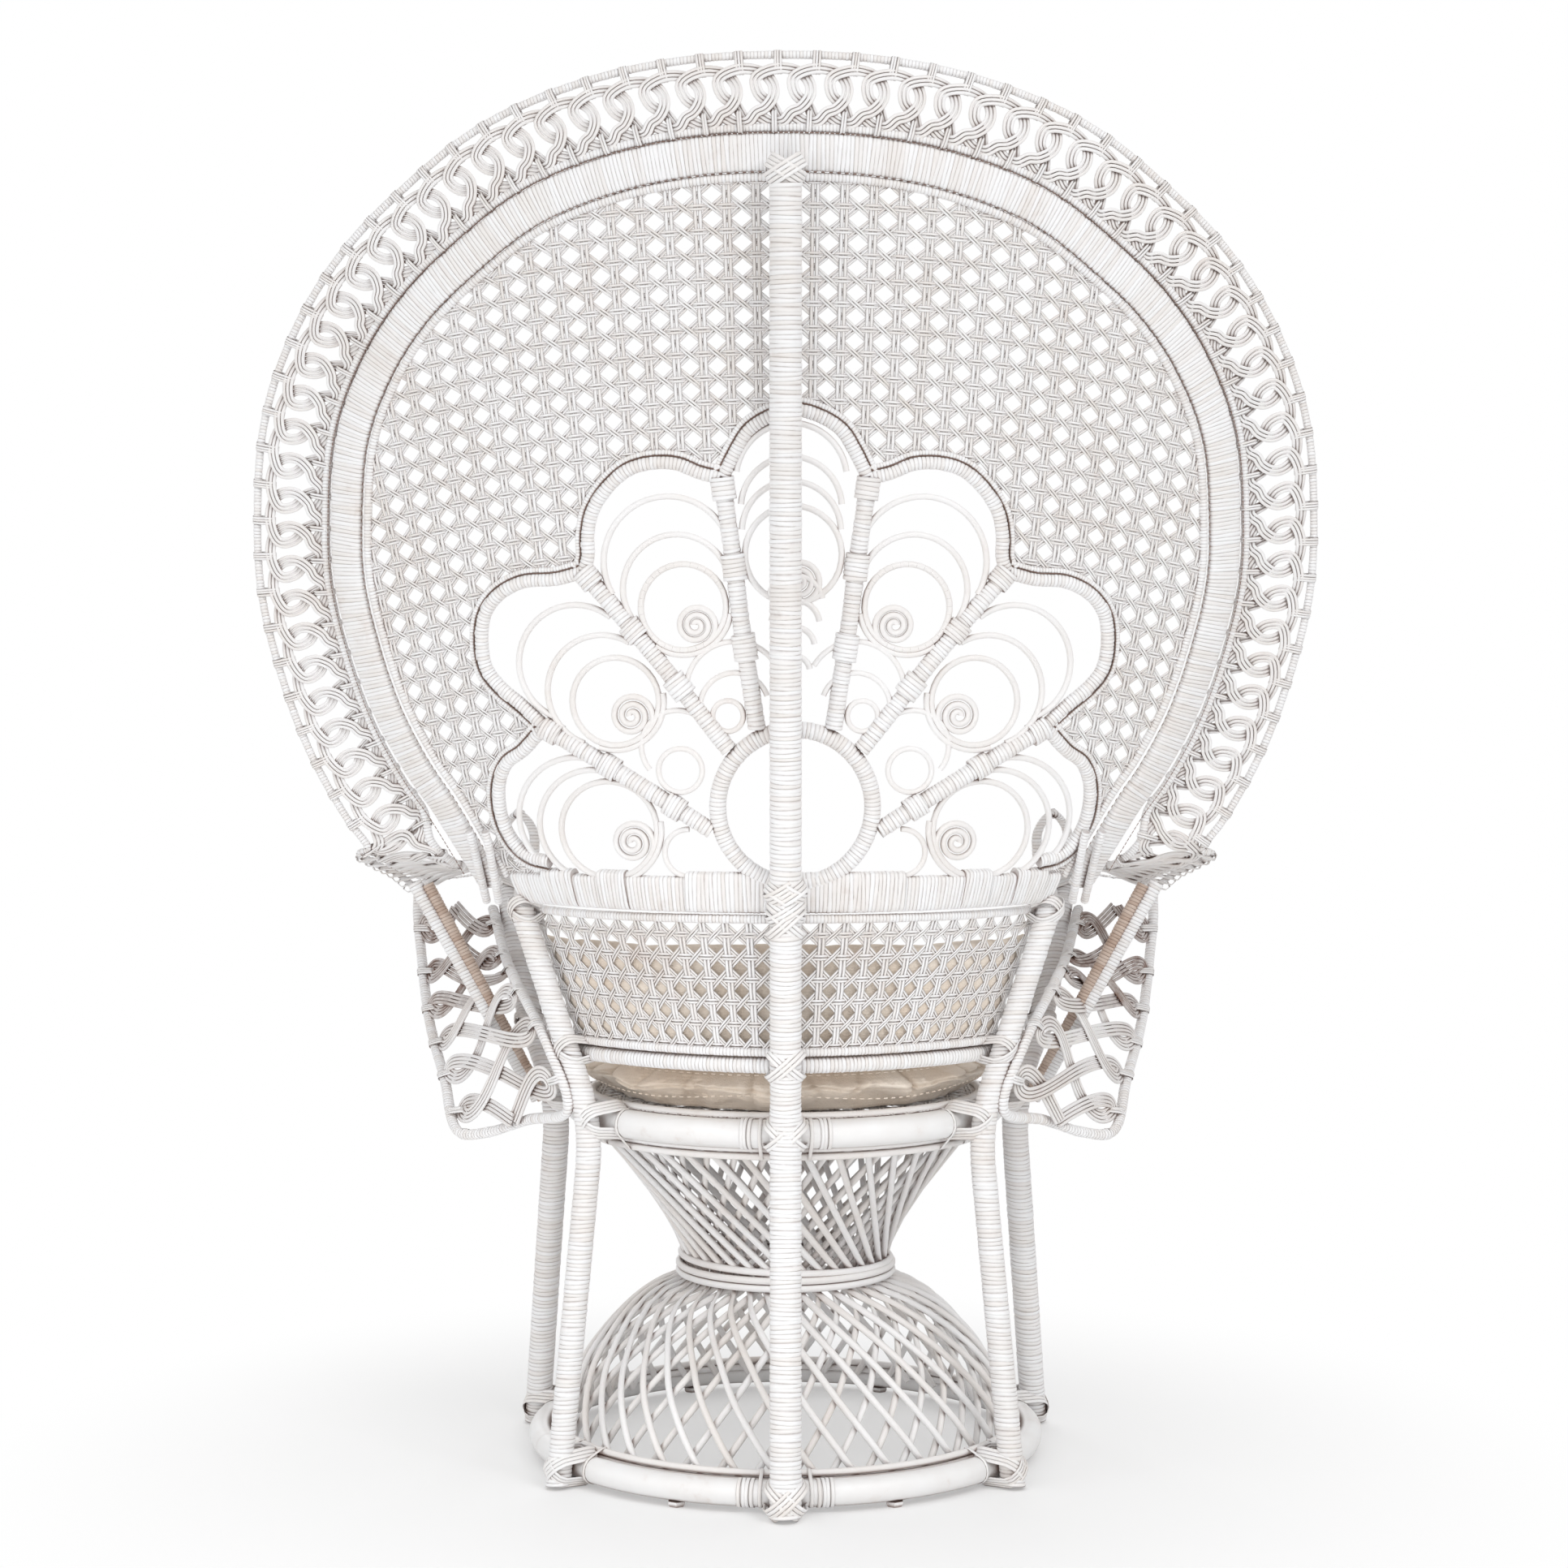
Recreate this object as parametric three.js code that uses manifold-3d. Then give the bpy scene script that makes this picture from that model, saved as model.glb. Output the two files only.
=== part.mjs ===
// Peacock chair of white-washed rattan: a round hourglass base, a barrel seat with two loose
// cushions, side aprons, and a tall fan back with a seven-petalled flower and a looped fringe.
// Millimetres, Z up, the chair faces -Y, and left means the sitter's left hand, at +X.
import * as THREE from 'three';
import { mergeVertices } from 'three/addons/utils/BufferGeometryUtils.js';
import Module from 'manifold-3d';

const wasm = await Module();
wasm.setup();

// Clearances
const fitGap = 0.3;
const chordAllowance = 2.2;
const jointGap = 6;
const facetAllowance = 0.6;
const weldDistance = 0.001;

// Poles, hoops and rods, all radii
const rearPostRadius = 17;
const rearLegRadius = 14;
const frontLegRadius = 15.5;
const basePoleRadius = 14;
const seatPoleRadius = 15.5;
const trimRodRadius = 4;
const thinHoopRadius = 5;
const hemHoopRadius = 9;
const rimRadius = 4.5;
const archRadius = 9;
const spokeRadius = 10.5;
const centreTubeRadius = 9.5;
const scrollRodRadius = 3.4;
const bracePoleRadius = 10;
const strutPoleRadius = 7;
const apronHoopRadius = 7;

// Base
const baseRingRadius = 277;
const glideHeight = 5.7;
const glideRadius = 10;
const glideAngle = 24.5;
const footClearance = 3;
const rearLegAngle = 53;
const frontFootAngle = 109;
const frontSeatAngle = 99;
const latticeRodCount = 24;
const latticeRodHalf = 3.4;
const latticeLayerGap = 2.4;
const latticeGap = 0.8;
const waistRodGap = 1.6;
const waistRadius = 112;
const waistHeight = 205.6;
const baseTrimInset = 15;
const seatTrimInset = 8;

// Seat
const seatHeight = 389;
const seatRingRadius = 234;
const deckThickness = 6.4;
const deckRadius = 224;
const cushionRadius = 226;
const cushionHeight = 52;
const cushionCrown = 20;
const tuftDepth = 13;
const tuftReach = 34;
const pleatDepth = 5;
const pleatCount = 12;
const backCushionDrop = 18;
const backCushionDepth = 62;
const backCushionEdge = 8;
const backCushionSetback = 6.5;

// Barrel round the seat
const hemRise = 75;
const barrelHoopRise = 231;
const barrelFrontRise = 18;
const hoopOverrun = 18;
const webbingThickness = 3;

// Rear legs and front posts above the seat
const rearLegTopDrop = 6;
const rearLegTopSpan = 287;
const rearLegTopDepth = 133;
const frontPostSpan = 334;
const frontPostReach = 190;
const frontPostRise = 20;

// Fan back
const waistPostDepth = 300;
const topPostDepth = 400;
const postRise = 731;
const waistBandHeight = 39.4;
const waistBandSpan = 292;
const bandWidth = 38;
const bandThickness = 14;
const fanHalfWidth = 470;
const fanCentreRise = 414;
const fanRise = 371;
const fanDrop = 367;
const fanBowl = 110;
const lowerBowl = 280;
const bowlFade = 130;
const fringeWidth = 65;
const fringeThickness = 8;
const fringeLean = 0.25;
const fringeLoopCount = 62;

// Flower in the middle of the fan
const flowerOffset = 10;
const flowerHalfWidth = 333;
const flowerRise = 411;
const flowerBaseRise = 73.3;
const centreRingRadius = 81;

// Arms
const armRise = 35;
const armReach = 230;
const armHalfWidth = 441;
const armLoopCount = 9;
const rollClearance = 18;
const apronThickness = 9;
const apronKnotCount = 4;

// Heights that follow from one another: the barrel stands on the seat, and the arms, the posts and
// the fan stand on the barrel
const hemHeight = seatHeight + hemRise;
const barrelHoopHeight = seatHeight + barrelHoopRise;
const barrelFrontHeight = barrelHoopHeight + barrelFrontRise;
const rearLegTopHeight = barrelHoopHeight - rearLegTopDrop;
const frontPostHeight = barrelHoopHeight + frontPostRise;
const armHeight = barrelHoopHeight + armRise;
const postTopHeight = armHeight + postRise;
const fanCentreHeight = barrelHoopHeight + fanCentreRise;
const waistBandTop = barrelHoopHeight + thinHoopRadius + fitGap + waistBandHeight;
const flowerBaseHeight = waistBandTop + flowerBaseRise;
const flowerAxis = -flowerOffset;

// Finishes
const washedRattan = { color: 0xe9e6e3, roughness: 0.62, metalness: 0 };
const bareRattan = { color: 0xe6e2de, roughness: 0.5, metalness: 0 };
const caneStrip = { color: 0xe7e3df, roughness: 0.66, metalness: 0 };
const cottonCover = { color: 0xddd3c4, roughness: 0.92, metalness: 0 };

const chair = new THREE.Group();

function addPiece(name, geometry, finish) {
  const mesh = new THREE.Mesh(geometry, new THREE.MeshStandardMaterial(finish));
  mesh.name = name;
  chair.add(mesh);
}

function radians(degrees) {
  return degrees * Math.PI / 180;
}

function spread(count, from, to) {
  return Array.from({ length: count + 1 }, (unused, index) => from + (to - from) * index / count);
}

// Solids for joining and cutting

function toSolid(geometry) {
  const plain = geometry.clone();
  plain.deleteAttribute('normal');
  plain.deleteAttribute('uv');
  const merged = mergeVertices(plain, weldDistance);
  return new wasm.Manifold(new wasm.Mesh({
    numProp: 3,
    vertProperties: new Float32Array(merged.attributes.position.array),
    triVerts: new Uint32Array(merged.index.array),
  }));
}

function toGeometry(solid) {
  const mesh = solid.getMesh();
  const geometry = new THREE.BufferGeometry();
  geometry.setAttribute('position', new THREE.BufferAttribute(new Float32Array(mesh.vertProperties), 3));
  geometry.setIndex(new THREE.BufferAttribute(new Uint32Array(mesh.triVerts), 1));
  return geometry;
}

function joined(geometries) {
  return toGeometry(geometries.map(toSolid).reduce((whole, piece) => whole.add(piece)));
}

// Takes the cutters away and keeps the largest body that is left
function trimmed(geometry, cutters) {
  const rest = cutters.map(toSolid).reduce((whole, cutter) => whole.subtract(cutter), toSolid(geometry));
  const bodies = rest.decompose();
  bodies.sort((first, second) => second.volume() - first.volume());
  return toGeometry(bodies[0]);
}

// Rods, rings and sheets

// A path through stations that keeps each of them as a ring of the swept rod
class StationPath extends THREE.Curve {
  constructor(stations) {
    super();
    this.stations = stations;
  }

  getPoint(share, target = new THREE.Vector3()) {
    const place = share * (this.stations.length - 1);
    const index = Math.min(Math.floor(place), this.stations.length - 2);
    return target.lerpVectors(this.stations[index], this.stations[index + 1], place - index);
  }

  getUtoTmapping(share) {
    return share;
  }
}

function roundSection(radius, sides) {
  const corners = spread(sides, 0, 2 * Math.PI).slice(0, sides);
  return new THREE.Shape(corners.map((angle) => (
    new THREE.Vector2(radius * Math.cos(angle), radius * Math.sin(angle)))));
}

function rod(stations, radius, sides = 6) {
  return new THREE.ExtrudeGeometry(roundSection(radius, sides), {
    steps: stations.length - 1,
    bevelEnabled: false,
    extrudePath: new StationPath(stations),
  });
}

function smoothPath(points, steps) {
  return new THREE.CatmullRomCurve3(points, false, 'centripetal').getSpacedPoints(steps);
}

// A ring round the Z axis from a closed profile of [radius, height] pairs
function turned(profile, segments) {
  const points = profile.map(([radius, height]) => new THREE.Vector2(radius, height));
  return new THREE.LatheGeometry(points, segments).rotateX(Math.PI / 2);
}

function circleProfile(ringRadius, height, radius, sides) {
  return spread(sides, 0, 2 * Math.PI).map((angle) => (
    [ringRadius + radius * Math.cos(angle), height + radius * Math.sin(angle)]));
}

// A closed sheet on surface(u, v), from lower(u, v) to upper(u, v) along its normal, and with
// one hole in each of its cells where hole, a list of [u, v] shares of a cell, is given
function sheet({ surface, columns, rows, lower, upper, hole = [] }) {
  const positions = [];
  const corner = [[0, 0], [1, 0], [1, 1], [0, 1]];
  const step = 1 / (columns * rows * columns);
  const outline = corner.map(([u, v]) => new THREE.Vector2(u, v));
  const inset = hole.map(([u, v]) => new THREE.Vector2(u, v));
  const faces = THREE.ShapeUtils.triangulateShape(outline, inset.length ? [inset] : []);
  const cellPoints = corner.concat(hole);

  const normalAt = (u, v) => {
    const along = surface(Math.min(u + step, 1), v).sub(surface(Math.max(u - step, 0), v));
    const across = surface(u, Math.min(v + step, 1)).sub(surface(u, Math.max(v - step, 0)));
    return along.cross(across).normalize();
  };
  const place = (u, v, height) => surface(u, v).addScaledVector(normalAt(u, v), height(u, v));
  const push = (...points) => points.forEach((point) => positions.push(point.x, point.y, point.z));
  const wall = (from, to) => {
    const [a, b] = [place(...from, lower), place(...to, lower)];
    const [c, d] = [place(...to, upper), place(...from, upper)];
    push(a, b, c, a, c, d);
  };

  for (let column = 0; column < columns; column += 1) {
    for (let row = 0; row < rows; row += 1) {
      const inCell = ([u, v]) => [(column + u) / columns, (row + v) / rows];
      for (const [first, second, third] of faces) {
        const [a, b, c] = [first, second, third].map((index) => inCell(cellPoints[index]));
        push(place(...a, upper), place(...b, upper), place(...c, upper));
        push(place(...a, lower), place(...c, lower), place(...b, lower));
      }
      hole.forEach((point, index) => {
        wall(inCell(hole[(index + 1) % hole.length]), inCell(point));
      });
      if (row === 0) wall(inCell(corner[0]), inCell(corner[1]));
      if (row === rows - 1) wall(inCell(corner[2]), inCell(corner[3]));
      if (column === 0) wall(inCell(corner[3]), inCell(corner[0]));
      if (column === columns - 1) wall(inCell(corner[1]), inCell(corner[2]));
    }
  }
  const geometry = new THREE.BufferGeometry();
  geometry.setAttribute('position', new THREE.Float32BufferAttribute(positions, 3));
  return mergeVertices(geometry, weldDistance);
}

function evenSheet(surface, columns, rows, thickness, hole = []) {
  return sheet({ surface, columns, rows, lower: () => -thickness / 2, upper: () => thickness / 2, hole });
}

// A surface ruled between two curves that share their parameter
function ruled(firstCurve, secondCurve) {
  return (u, v) => firstCurve.getPoint(u).lerp(secondCurve.getPoint(u), v);
}

const ringSegments = 36;

// Legs, each a list of stations from the floor up

// A point of a leg's middle line where the leg stands against the outside of a ring, which is a
// little flatter between its corners
function against(angle, ringRadius, poleRadius, legRadius, height) {
  const facet = 180 / ringSegments;
  const offMiddle = Math.abs(angle) % (2 * facet) - facet;
  const ringReach = ringRadius * Math.cos(radians(facet)) / Math.cos(radians(offMiddle));
  const reach = ringReach + poleRadius + legRadius + 2 * fitGap;
  return new THREE.Vector3(
    reach * Math.sin(radians(angle)), reach * Math.cos(radians(angle)), height);
}

// Foot and seat stations of a leg that touches both rings from outside
function lowerLeg(footAngle, seatAngle, legRadius) {
  const low = against(footAngle, baseRingRadius, basePoleRadius, legRadius, baseRingHeight);
  const high = against(seatAngle, seatRingRadius, seatPoleRadius, legRadius, seatHeight);
  const foot = low.clone().lerp(high, (footClearance - low.z) / (high.z - low.z));
  return [foot, high];
}

function rearPostStations() {
  return [
    ...lowerLeg(0, 0, rearPostRadius),
    new THREE.Vector3(0, waistPostDepth, armHeight),
    new THREE.Vector3(0, topPostDepth, postTopHeight),
  ];
}

function rearLegStations(side) {
  return [
    ...lowerLeg(side * rearLegAngle, side * rearLegAngle, rearLegRadius),
    new THREE.Vector3(side * rearLegTopSpan, rearLegTopDepth, rearLegTopHeight),
  ];
}

// Shares of the front post's span, reach and height, where it flares out above the seat
const frontPostShares = [[0.905, 0.5, 0.75], [0.976, 0.79, 0.93], [1, 1, 1]];

function frontLegStations(side) {
  const flare = frontPostShares.map(([span, reach, height]) => new THREE.Vector3(
    side * span * frontPostSpan, -reach * frontPostReach, height * frontPostHeight));
  return [...lowerLeg(side * frontFootAngle, side * frontSeatAngle, frontLegRadius), ...flare];
}

// The centre of a leg at a height
function legCentre(stations, height) {
  const above = stations.findIndex((station) => station.z > height);
  const index = Math.max(1, above < 0 ? stations.length - 1 : above);
  const [low, high] = [stations[index - 1], stations[index]];
  return low.clone().lerp(high, (height - low.z) / (high.z - low.z));
}

// Where a hoop of this radius lies against the inner side of a leg
function legContact(stations, legRadius, hoopRadius, height) {
  const centre = legCentre(stations, height);
  const step = legCentre(stations, height + legRadius).sub(centre);
  const tilt = step.length() / step.z;
  const outward = new THREE.Vector3(centre.x, centre.y, 0).normalize();
  return centre.addScaledVector(outward, -((legRadius + hoopRadius) * tilt + fitGap));
}

// The curve of the barrel: against both rear legs and the rear post at one height, and against
// the front posts at the same height or at another
function barrelCurve(height, hoopRadius, frontHeight = height) {
  const left = (stations, radius, level) => legContact(stations, radius, hoopRadius, level);
  const front = left(frontLegStations(1), frontLegRadius, frontHeight);
  const rear = left(rearLegStations(1), rearLegRadius, height);
  const middle = left(rearPostStations(), rearPostRadius, height);
  const end = front.clone().add(new THREE.Vector3(0, -hoopOverrun, 0));
  const mirror = (point) => new THREE.Vector3(-point.x, point.y, point.z);
  return new THREE.CatmullRomCurve3(
    [end, front, rear, middle, mirror(rear), mirror(front), mirror(end)], false, 'centripetal');
}

// Base rings and rods

const baseRingHeight = glideHeight + fitGap + basePoleRadius;

// Outline of two rods bound on one another: shares of a rod's radius outwards and upwards from
// the lower rod's middle, and the share of the way to the upper rod
const rodPairShares = [[0.6, -0.95, 0], [1, 0, 0.5], [0.6, 0.95, 1]];

function stackedRods(ringRadius, height, direction, segments) {
  const spacing = 2 * trimRodRadius + fitGap;
  const foot = height + Math.min(0, direction * spacing);
  const half = (sign) => rodPairShares.map(([out, up, level]) => (
    [ringRadius + sign * out * trimRodRadius, foot + up * trimRodRadius + level * spacing]));
  const outline = [...half(1), ...half(-1).reverse()];
  return turned([...outline, outline[0]], segments);
}

function trimRise(poleRadius, inset) {
  return Math.sqrt((poleRadius + trimRodRadius - facetAllowance) ** 2 - inset ** 2);
}

const baseTrimRadius = baseRingRadius - baseTrimInset;
const baseTrimHeight = baseRingHeight + trimRise(basePoleRadius, baseTrimInset);
const seatTrimRadius = seatRingRadius - seatTrimInset;
const seatTrimHeight = seatHeight - trimRise(seatPoleRadius, seatTrimInset);

const soleShare = 0.8;

function glide() {
  return turned([[0, 0], [soleShare * glideRadius, 0], [glideRadius, glideHeight / 2],
    [glideRadius, glideHeight], [0, glideHeight]], 6);
}

function poleRing(ringRadius, height, radius) {
  return turned(circleProfile(ringRadius, height, radius, 8), ringSegments);
}

function buildBase() {
  addPiece('base_ring', poleRing(baseRingRadius, baseRingHeight, basePoleRadius), bareRattan);
  addPiece('base_trim_rods', stackedRods(baseTrimRadius, baseTrimHeight, 1, ringSegments), bareRattan);
  addPiece('seat_ring', poleRing(seatRingRadius, seatHeight, seatPoleRadius), bareRattan);
  addPiece('seat_trim_rods', stackedRods(seatTrimRadius, seatTrimHeight, -1, ringSegments), bareRattan);
  const waistRodRadius = waistRadius + latticeRodHalf + waistRodGap + trimRodRadius;
  addPiece('waist_rods', stackedRods(waistRodRadius, waistHeight - trimRodRadius, 1, 24), bareRattan);
  for (const [end, turn] of [['rear', 0], ['front', 180]]) {
    for (const [side, sign] of [['left', 1], ['right', -1]]) {
      const angle = radians(turn + (turn ? -sign : sign) * glideAngle);
      const pad = glide();
      pad.translate(baseRingRadius * Math.sin(angle), baseRingRadius * Math.cos(angle), 0);
      addPiece(`glide_${end}_${side}`, pad, bareRattan);
    }
  }
}

// Hourglass of two layers of bent rods with opposite twists

// Shares between waist and seat trim, or waist and base trim, with the turn in degrees at each
const coneShares = [[1, 1, 0], [0, 0, 46]];
const domeShares = [[0, 0, 50], [0.43, 0.19, 63], [0.82, 0.56, 76], [1, 1, 89]];

function latticeStations(radialOffset) {
  const topRadius = seatTrimRadius - trimRodRadius - latticeGap - latticeRodHalf;
  const baseRadius = baseTrimRadius - trimRodRadius - latticeGap - latticeRodHalf;
  const bandHalf = 2 * trimRodRadius + fitGap;
  const [bandTop, bandFoot] = [waistHeight + bandHalf, waistHeight - bandHalf];
  const foot = baseRingHeight + basePoleRadius / 2;
  const cone = coneShares.map(([out, up, turn]) => ({
    radius: waistRadius + out * (topRadius - waistRadius),
    height: bandTop + up * (seatTrimHeight - bandTop),
    turn,
  }));
  const dome = domeShares.map(([out, down, turn]) => ({
    radius: waistRadius + out * (baseRadius - waistRadius),
    height: bandFoot - down * (bandFoot - foot),
    turn,
  }));
  return cone.concat(dome).map((station) => ({ ...station, radius: station.radius - radialOffset }));
}

// The rods of one layer stand side by side and are held together by a strip at the waist
function lattice(radialOffset, twist) {
  const stations = latticeStations(radialOffset);
  const positions = [];
  const push = (...points) => points.forEach((point) => positions.push(point.x, point.y, point.z));
  const quad = (a, b, c, d) => push(a, b, c, a, c, d);

  // The four corners of a rod at a station: outer right, outer left, inner left, inner right
  const corners = (index, station) => {
    const { radius, height, turn } = station;
    const angle = radians(twist * turn) + 2 * Math.PI * index / latticeRodCount;
    const outward = new THREE.Vector3(Math.cos(angle), Math.sin(angle), 0);
    const sideways = new THREE.Vector3(-Math.sin(angle), Math.cos(angle), 0);
    const at = (out, aside) => new THREE.Vector3(0, 0, height)
      .addScaledVector(outward, radius + out * latticeRodHalf)
      .addScaledVector(sideways, aside * latticeRodHalf);
    return [at(1, -1), at(1, 1), at(-1, 1), at(-1, -1)];
  };

  const bridged = coneShares.length - 1;
  for (let index = 0; index < latticeRodCount; index += 1) {
    const rings = stations.map((station) => corners(index, station));
    for (let level = 0; level < stations.length - 1; level += 1) {
      const [upper, lower] = [rings[level], rings[level + 1]];
      quad(lower[0], lower[1], upper[1], upper[0]);
      quad(lower[2], lower[3], upper[3], upper[2]);
      if (level === bridged) {
        const next = (index + 1) % latticeRodCount;
        const [nextUpper, nextLower] = [stations[level], stations[level + 1]]
          .map((station) => corners(next, station));
        quad(lower[1], nextLower[0], nextUpper[0], upper[1]);
        quad(nextLower[3], lower[2], upper[2], nextUpper[3]);
        quad(upper[1], nextUpper[0], nextUpper[3], upper[2]);
        quad(lower[2], nextLower[3], nextLower[0], lower[1]);
      } else {
        quad(lower[1], lower[2], upper[2], upper[1]);
        quad(lower[3], lower[0], upper[0], upper[3]);
      }
    }
    const [first, last] = [rings[0], rings[rings.length - 1]];
    quad(first[0], first[1], first[2], first[3]);
    quad(last[3], last[2], last[1], last[0]);
  }
  const geometry = new THREE.BufferGeometry();
  geometry.setAttribute('position', new THREE.Float32BufferAttribute(positions, 3));
  return mergeVertices(geometry, weldDistance);
}

function buildHourglass() {
  const layerStep = 2 * latticeRodHalf + latticeLayerGap;
  addPiece('hourglass_rods_outer', lattice(0, 1), bareRattan);
  addPiece('hourglass_rods_inner', lattice(layerStep, -1), bareRattan);
}

function buildLegs() {
  addPiece('rear_post', rod(rearPostStations(), rearPostRadius, 12), washedRattan);
  for (const [side, sign] of [['left', 1], ['right', -1]]) {
    addPiece(`rear_leg_${side}`, rod(rearLegStations(sign), rearLegRadius, 12), washedRattan);
    addPiece(`front_leg_${side}`, rod(frontLegStations(sign), frontLegRadius, 12), washedRattan);
  }
}

// Seat deck and cushions

const deckTop = seatHeight + Math.sqrt((seatPoleRadius + fitGap) ** 2 - (seatRingRadius - deckRadius) ** 2)
  + deckThickness;

// Shares of the cushion's radius and height, from the middle of its underside to its crown
const cushionShares = [[0, 0], [0.5, 0], [0.88, 0], [0.975, 0.14], [1, 0.45], [0.975, 0.78],
  [0.88, 1], [0.69, 1], [0.5, 1], [0.25, 1], [0, 1]];

function tuftedCushion(lift) {
  const profile = cushionShares.map(([out, up]) => [out * cushionRadius, up * cushionHeight]);
  const geometry = turned(profile, 24);
  const tufts = [[0, 0]].concat(spread(6, 0, 2 * Math.PI).slice(0, 6).map((angle) => (
    [cushionRadius / 2 * Math.cos(angle), cushionRadius / 2 * Math.sin(angle)])));
  const place = geometry.attributes.position;
  for (let index = 0; index < place.count; index += 1) {
    const [x, y, z] = [place.getX(index), place.getY(index), place.getZ(index)];
    const out = Math.hypot(x, y) / cushionRadius;
    const level = z / cushionHeight;
    const crown = cushionCrown * level * Math.max(0, 1 - out ** 4);
    const dips = tufts.map(([tx, ty]) => Math.exp(-(((x - tx) ** 2 + (y - ty) ** 2) / tuftReach ** 2)));
    const dip = level * tuftDepth * Math.max(...dips);
    const pleat = Math.cos(pleatCount * Math.atan2(y, x)) * pleatDepth * 4 * level * (1 - level) * out ** 4;
    const scale = out > 0 ? 1 - pleat / 2 / (out * cushionRadius) : 1;
    place.setXYZ(index, x * scale, y * scale, z + crown - dip + lift);
  }
  return geometry;
}

// Part of the barrel's curve behind the back cushion, and its tufts: places and reach as shares
const backCushionShare = 0.3;
const backTuftShares = [0.25, 0.5, 0.75];
const backTuftReachShares = [0.1, 0.18];

function backCushion(cutters) {
  const foot = deckTop + cushionHeight + fitGap;
  const { wall, low, high } = barrelWall();
  const height = barrelHoopHeight - backCushionDrop - foot;
  const surface = (u, v) => wall(
    (1 + (2 * u - 1) * backCushionShare) / 2, (foot + v * height - low) / (high - low));
  const swell = (u, v) => Math.sqrt((1 - Math.abs(2 * u - 1) ** 4) * (1 - Math.abs(2 * v - 1) ** 4));
  const [across, upward] = backTuftReachShares;
  const dip = (u, v) => tuftDepth * Math.max(...backTuftShares.map((place) => (
    Math.exp(-(((u - place) / across) ** 2) - (((2 * v - 1) / 2 / upward) ** 2)))));
  const rear = (u, v) => backCushionSetback + backCushionEdge * (1 - swell(u, v));
  const front = (u, v) => backCushionSetback + 2 * backCushionEdge
    + (backCushionDepth - 2 * backCushionEdge) * swell(u, v) - dip(u, v);
  const pillow = sheet({
    surface, columns: 12, rows: 6, lower: (u, v) => -front(u, v), upper: (u, v) => -rear(u, v),
  });
  return trimmed(pillow, cutters);
}

function buildSeat() {
  const deck = turned([[0, deckTop - deckThickness], [deckRadius, deckTop - deckThickness],
    [deckRadius, deckTop], [0, deckTop]], 24);
  const cutters = [
    tuftedCushion(deckTop + 2 * fitGap),
    hemHoop(fitGap),
    barrelHoop(lowerHoopHeight, thinHoopRadius, 5, fitGap),
  ];
  addPiece('seat_deck', deck, caneStrip);
  addPiece('seat_cushion', tuftedCushion(deckTop + fitGap), cottonCover);
  addPiece('back_cushion', backCushion(cutters), cottonCover);
}

// Hoops and webbing of the barrel

const lowerHoopHeight = hemHeight + hemHoopRadius + thinHoopRadius + fitGap;

// The woven wall between the two hoops of the barrel, and the heights it spans at the back
function barrelWall() {
  const margin = thinHoopRadius + fitGap;
  const [low, high] = [lowerHoopHeight + margin, barrelHoopHeight - margin];
  const wall = ruled(barrelCurve(low, thinHoopRadius),
    barrelCurve(high, thinHoopRadius, barrelFrontHeight - margin));
  return { wall, low, high };
}

// The allowance makes a thicker hoop on the same curve, for cutting
function barrelHoop(height, radius, sides, allowance = 0, frontHeight = height) {
  return rod(barrelCurve(height, radius, frontHeight).getPoints(24), radius + allowance, sides);
}

function hemHoop(allowance = 0) {
  const curve = barrelCurve(hemHeight, hemHoopRadius - facetAllowance);
  return rod(curve.getPoints(24), hemHoopRadius + allowance, 6);
}

function buildBarrel() {
  addPiece('seat_hem_hoop', hemHoop(), washedRattan);
  addPiece('barrel_lower_hoop', barrelHoop(lowerHoopHeight, thinHoopRadius, 5), washedRattan);
  addPiece('barrel_upper_hoop',
    barrelHoop(barrelHoopHeight, thinHoopRadius, 5, 0, barrelFrontHeight), washedRattan);
  addPiece('barrel_webbing', evenSheet(barrelWall().wall, 24, 1, webbingThickness), caneStrip);
}

// Surface of the fan back

const lean = (topPostDepth - waistPostDepth) / (postTopHeight - armHeight);
const fanSetback = (rearPostRadius + spokeRadius) * Math.hypot(1, lean) + fitGap;

function fanDepth(x, z) {
  const post = waistPostDepth + (z - armHeight) * lean;
  const fade = Math.exp(-Math.max(0, z - barrelHoopHeight) / bowlFade);
  return post - fanSetback - (fanBowl + lowerBowl * fade) * (x / fanHalfWidth) ** 2;
}

function onFan(x, z) {
  return new THREE.Vector3(x, fanDepth(x, z), z);
}

// Middle line of the wide band: shares of the fan's half width, and of its rise or its drop
const bandShares = [[0.69, -1.06], [0.794, -0.82], [0.847, -0.719], [0.915, -0.55], [0.968, -0.34],
  [0.998, -0.153], [1, 0], [0.977, 0.261], [0.906, 0.464], [0.815, 0.615], [0.702, 0.739],
  [0.557, 0.865], [0.374, 0.949], [0.19, 0.99], [0, 1]];

function bandPoint([out, up], side) {
  return new THREE.Vector3(
    side * out * fanHalfWidth, 0, fanCentreHeight + up * (up > 0 ? fanRise : fanDrop));
}

const bandLine = new THREE.CatmullRomCurve3([
  ...bandShares.map((share) => bandPoint(share, 1)),
  ...bandShares.slice(0, -1).reverse().map((share) => bandPoint(share, -1)),
], false, 'centripetal');

// A line beside the band, outwards where offset is positive, on the fan or on the leaning fringe
function besideBand(offset, share) {
  const middle = bandLine.getPointAt(share);
  const tangent = bandLine.getTangentAt(share);
  const outward = new THREE.Vector3(tangent.z, 0, -tangent.x);
  const kink = bandWidth / 2 + 2 * thinHoopRadius;
  const foot = middle.clone().addScaledVector(outward, Math.min(offset, kink));
  const point = onFan(foot.x, foot.z);
  const beyond = Math.max(0, offset - kink);
  return point.addScaledVector(outward, beyond).add(new THREE.Vector3(0, -beyond * fringeLean, 0));
}

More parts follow.
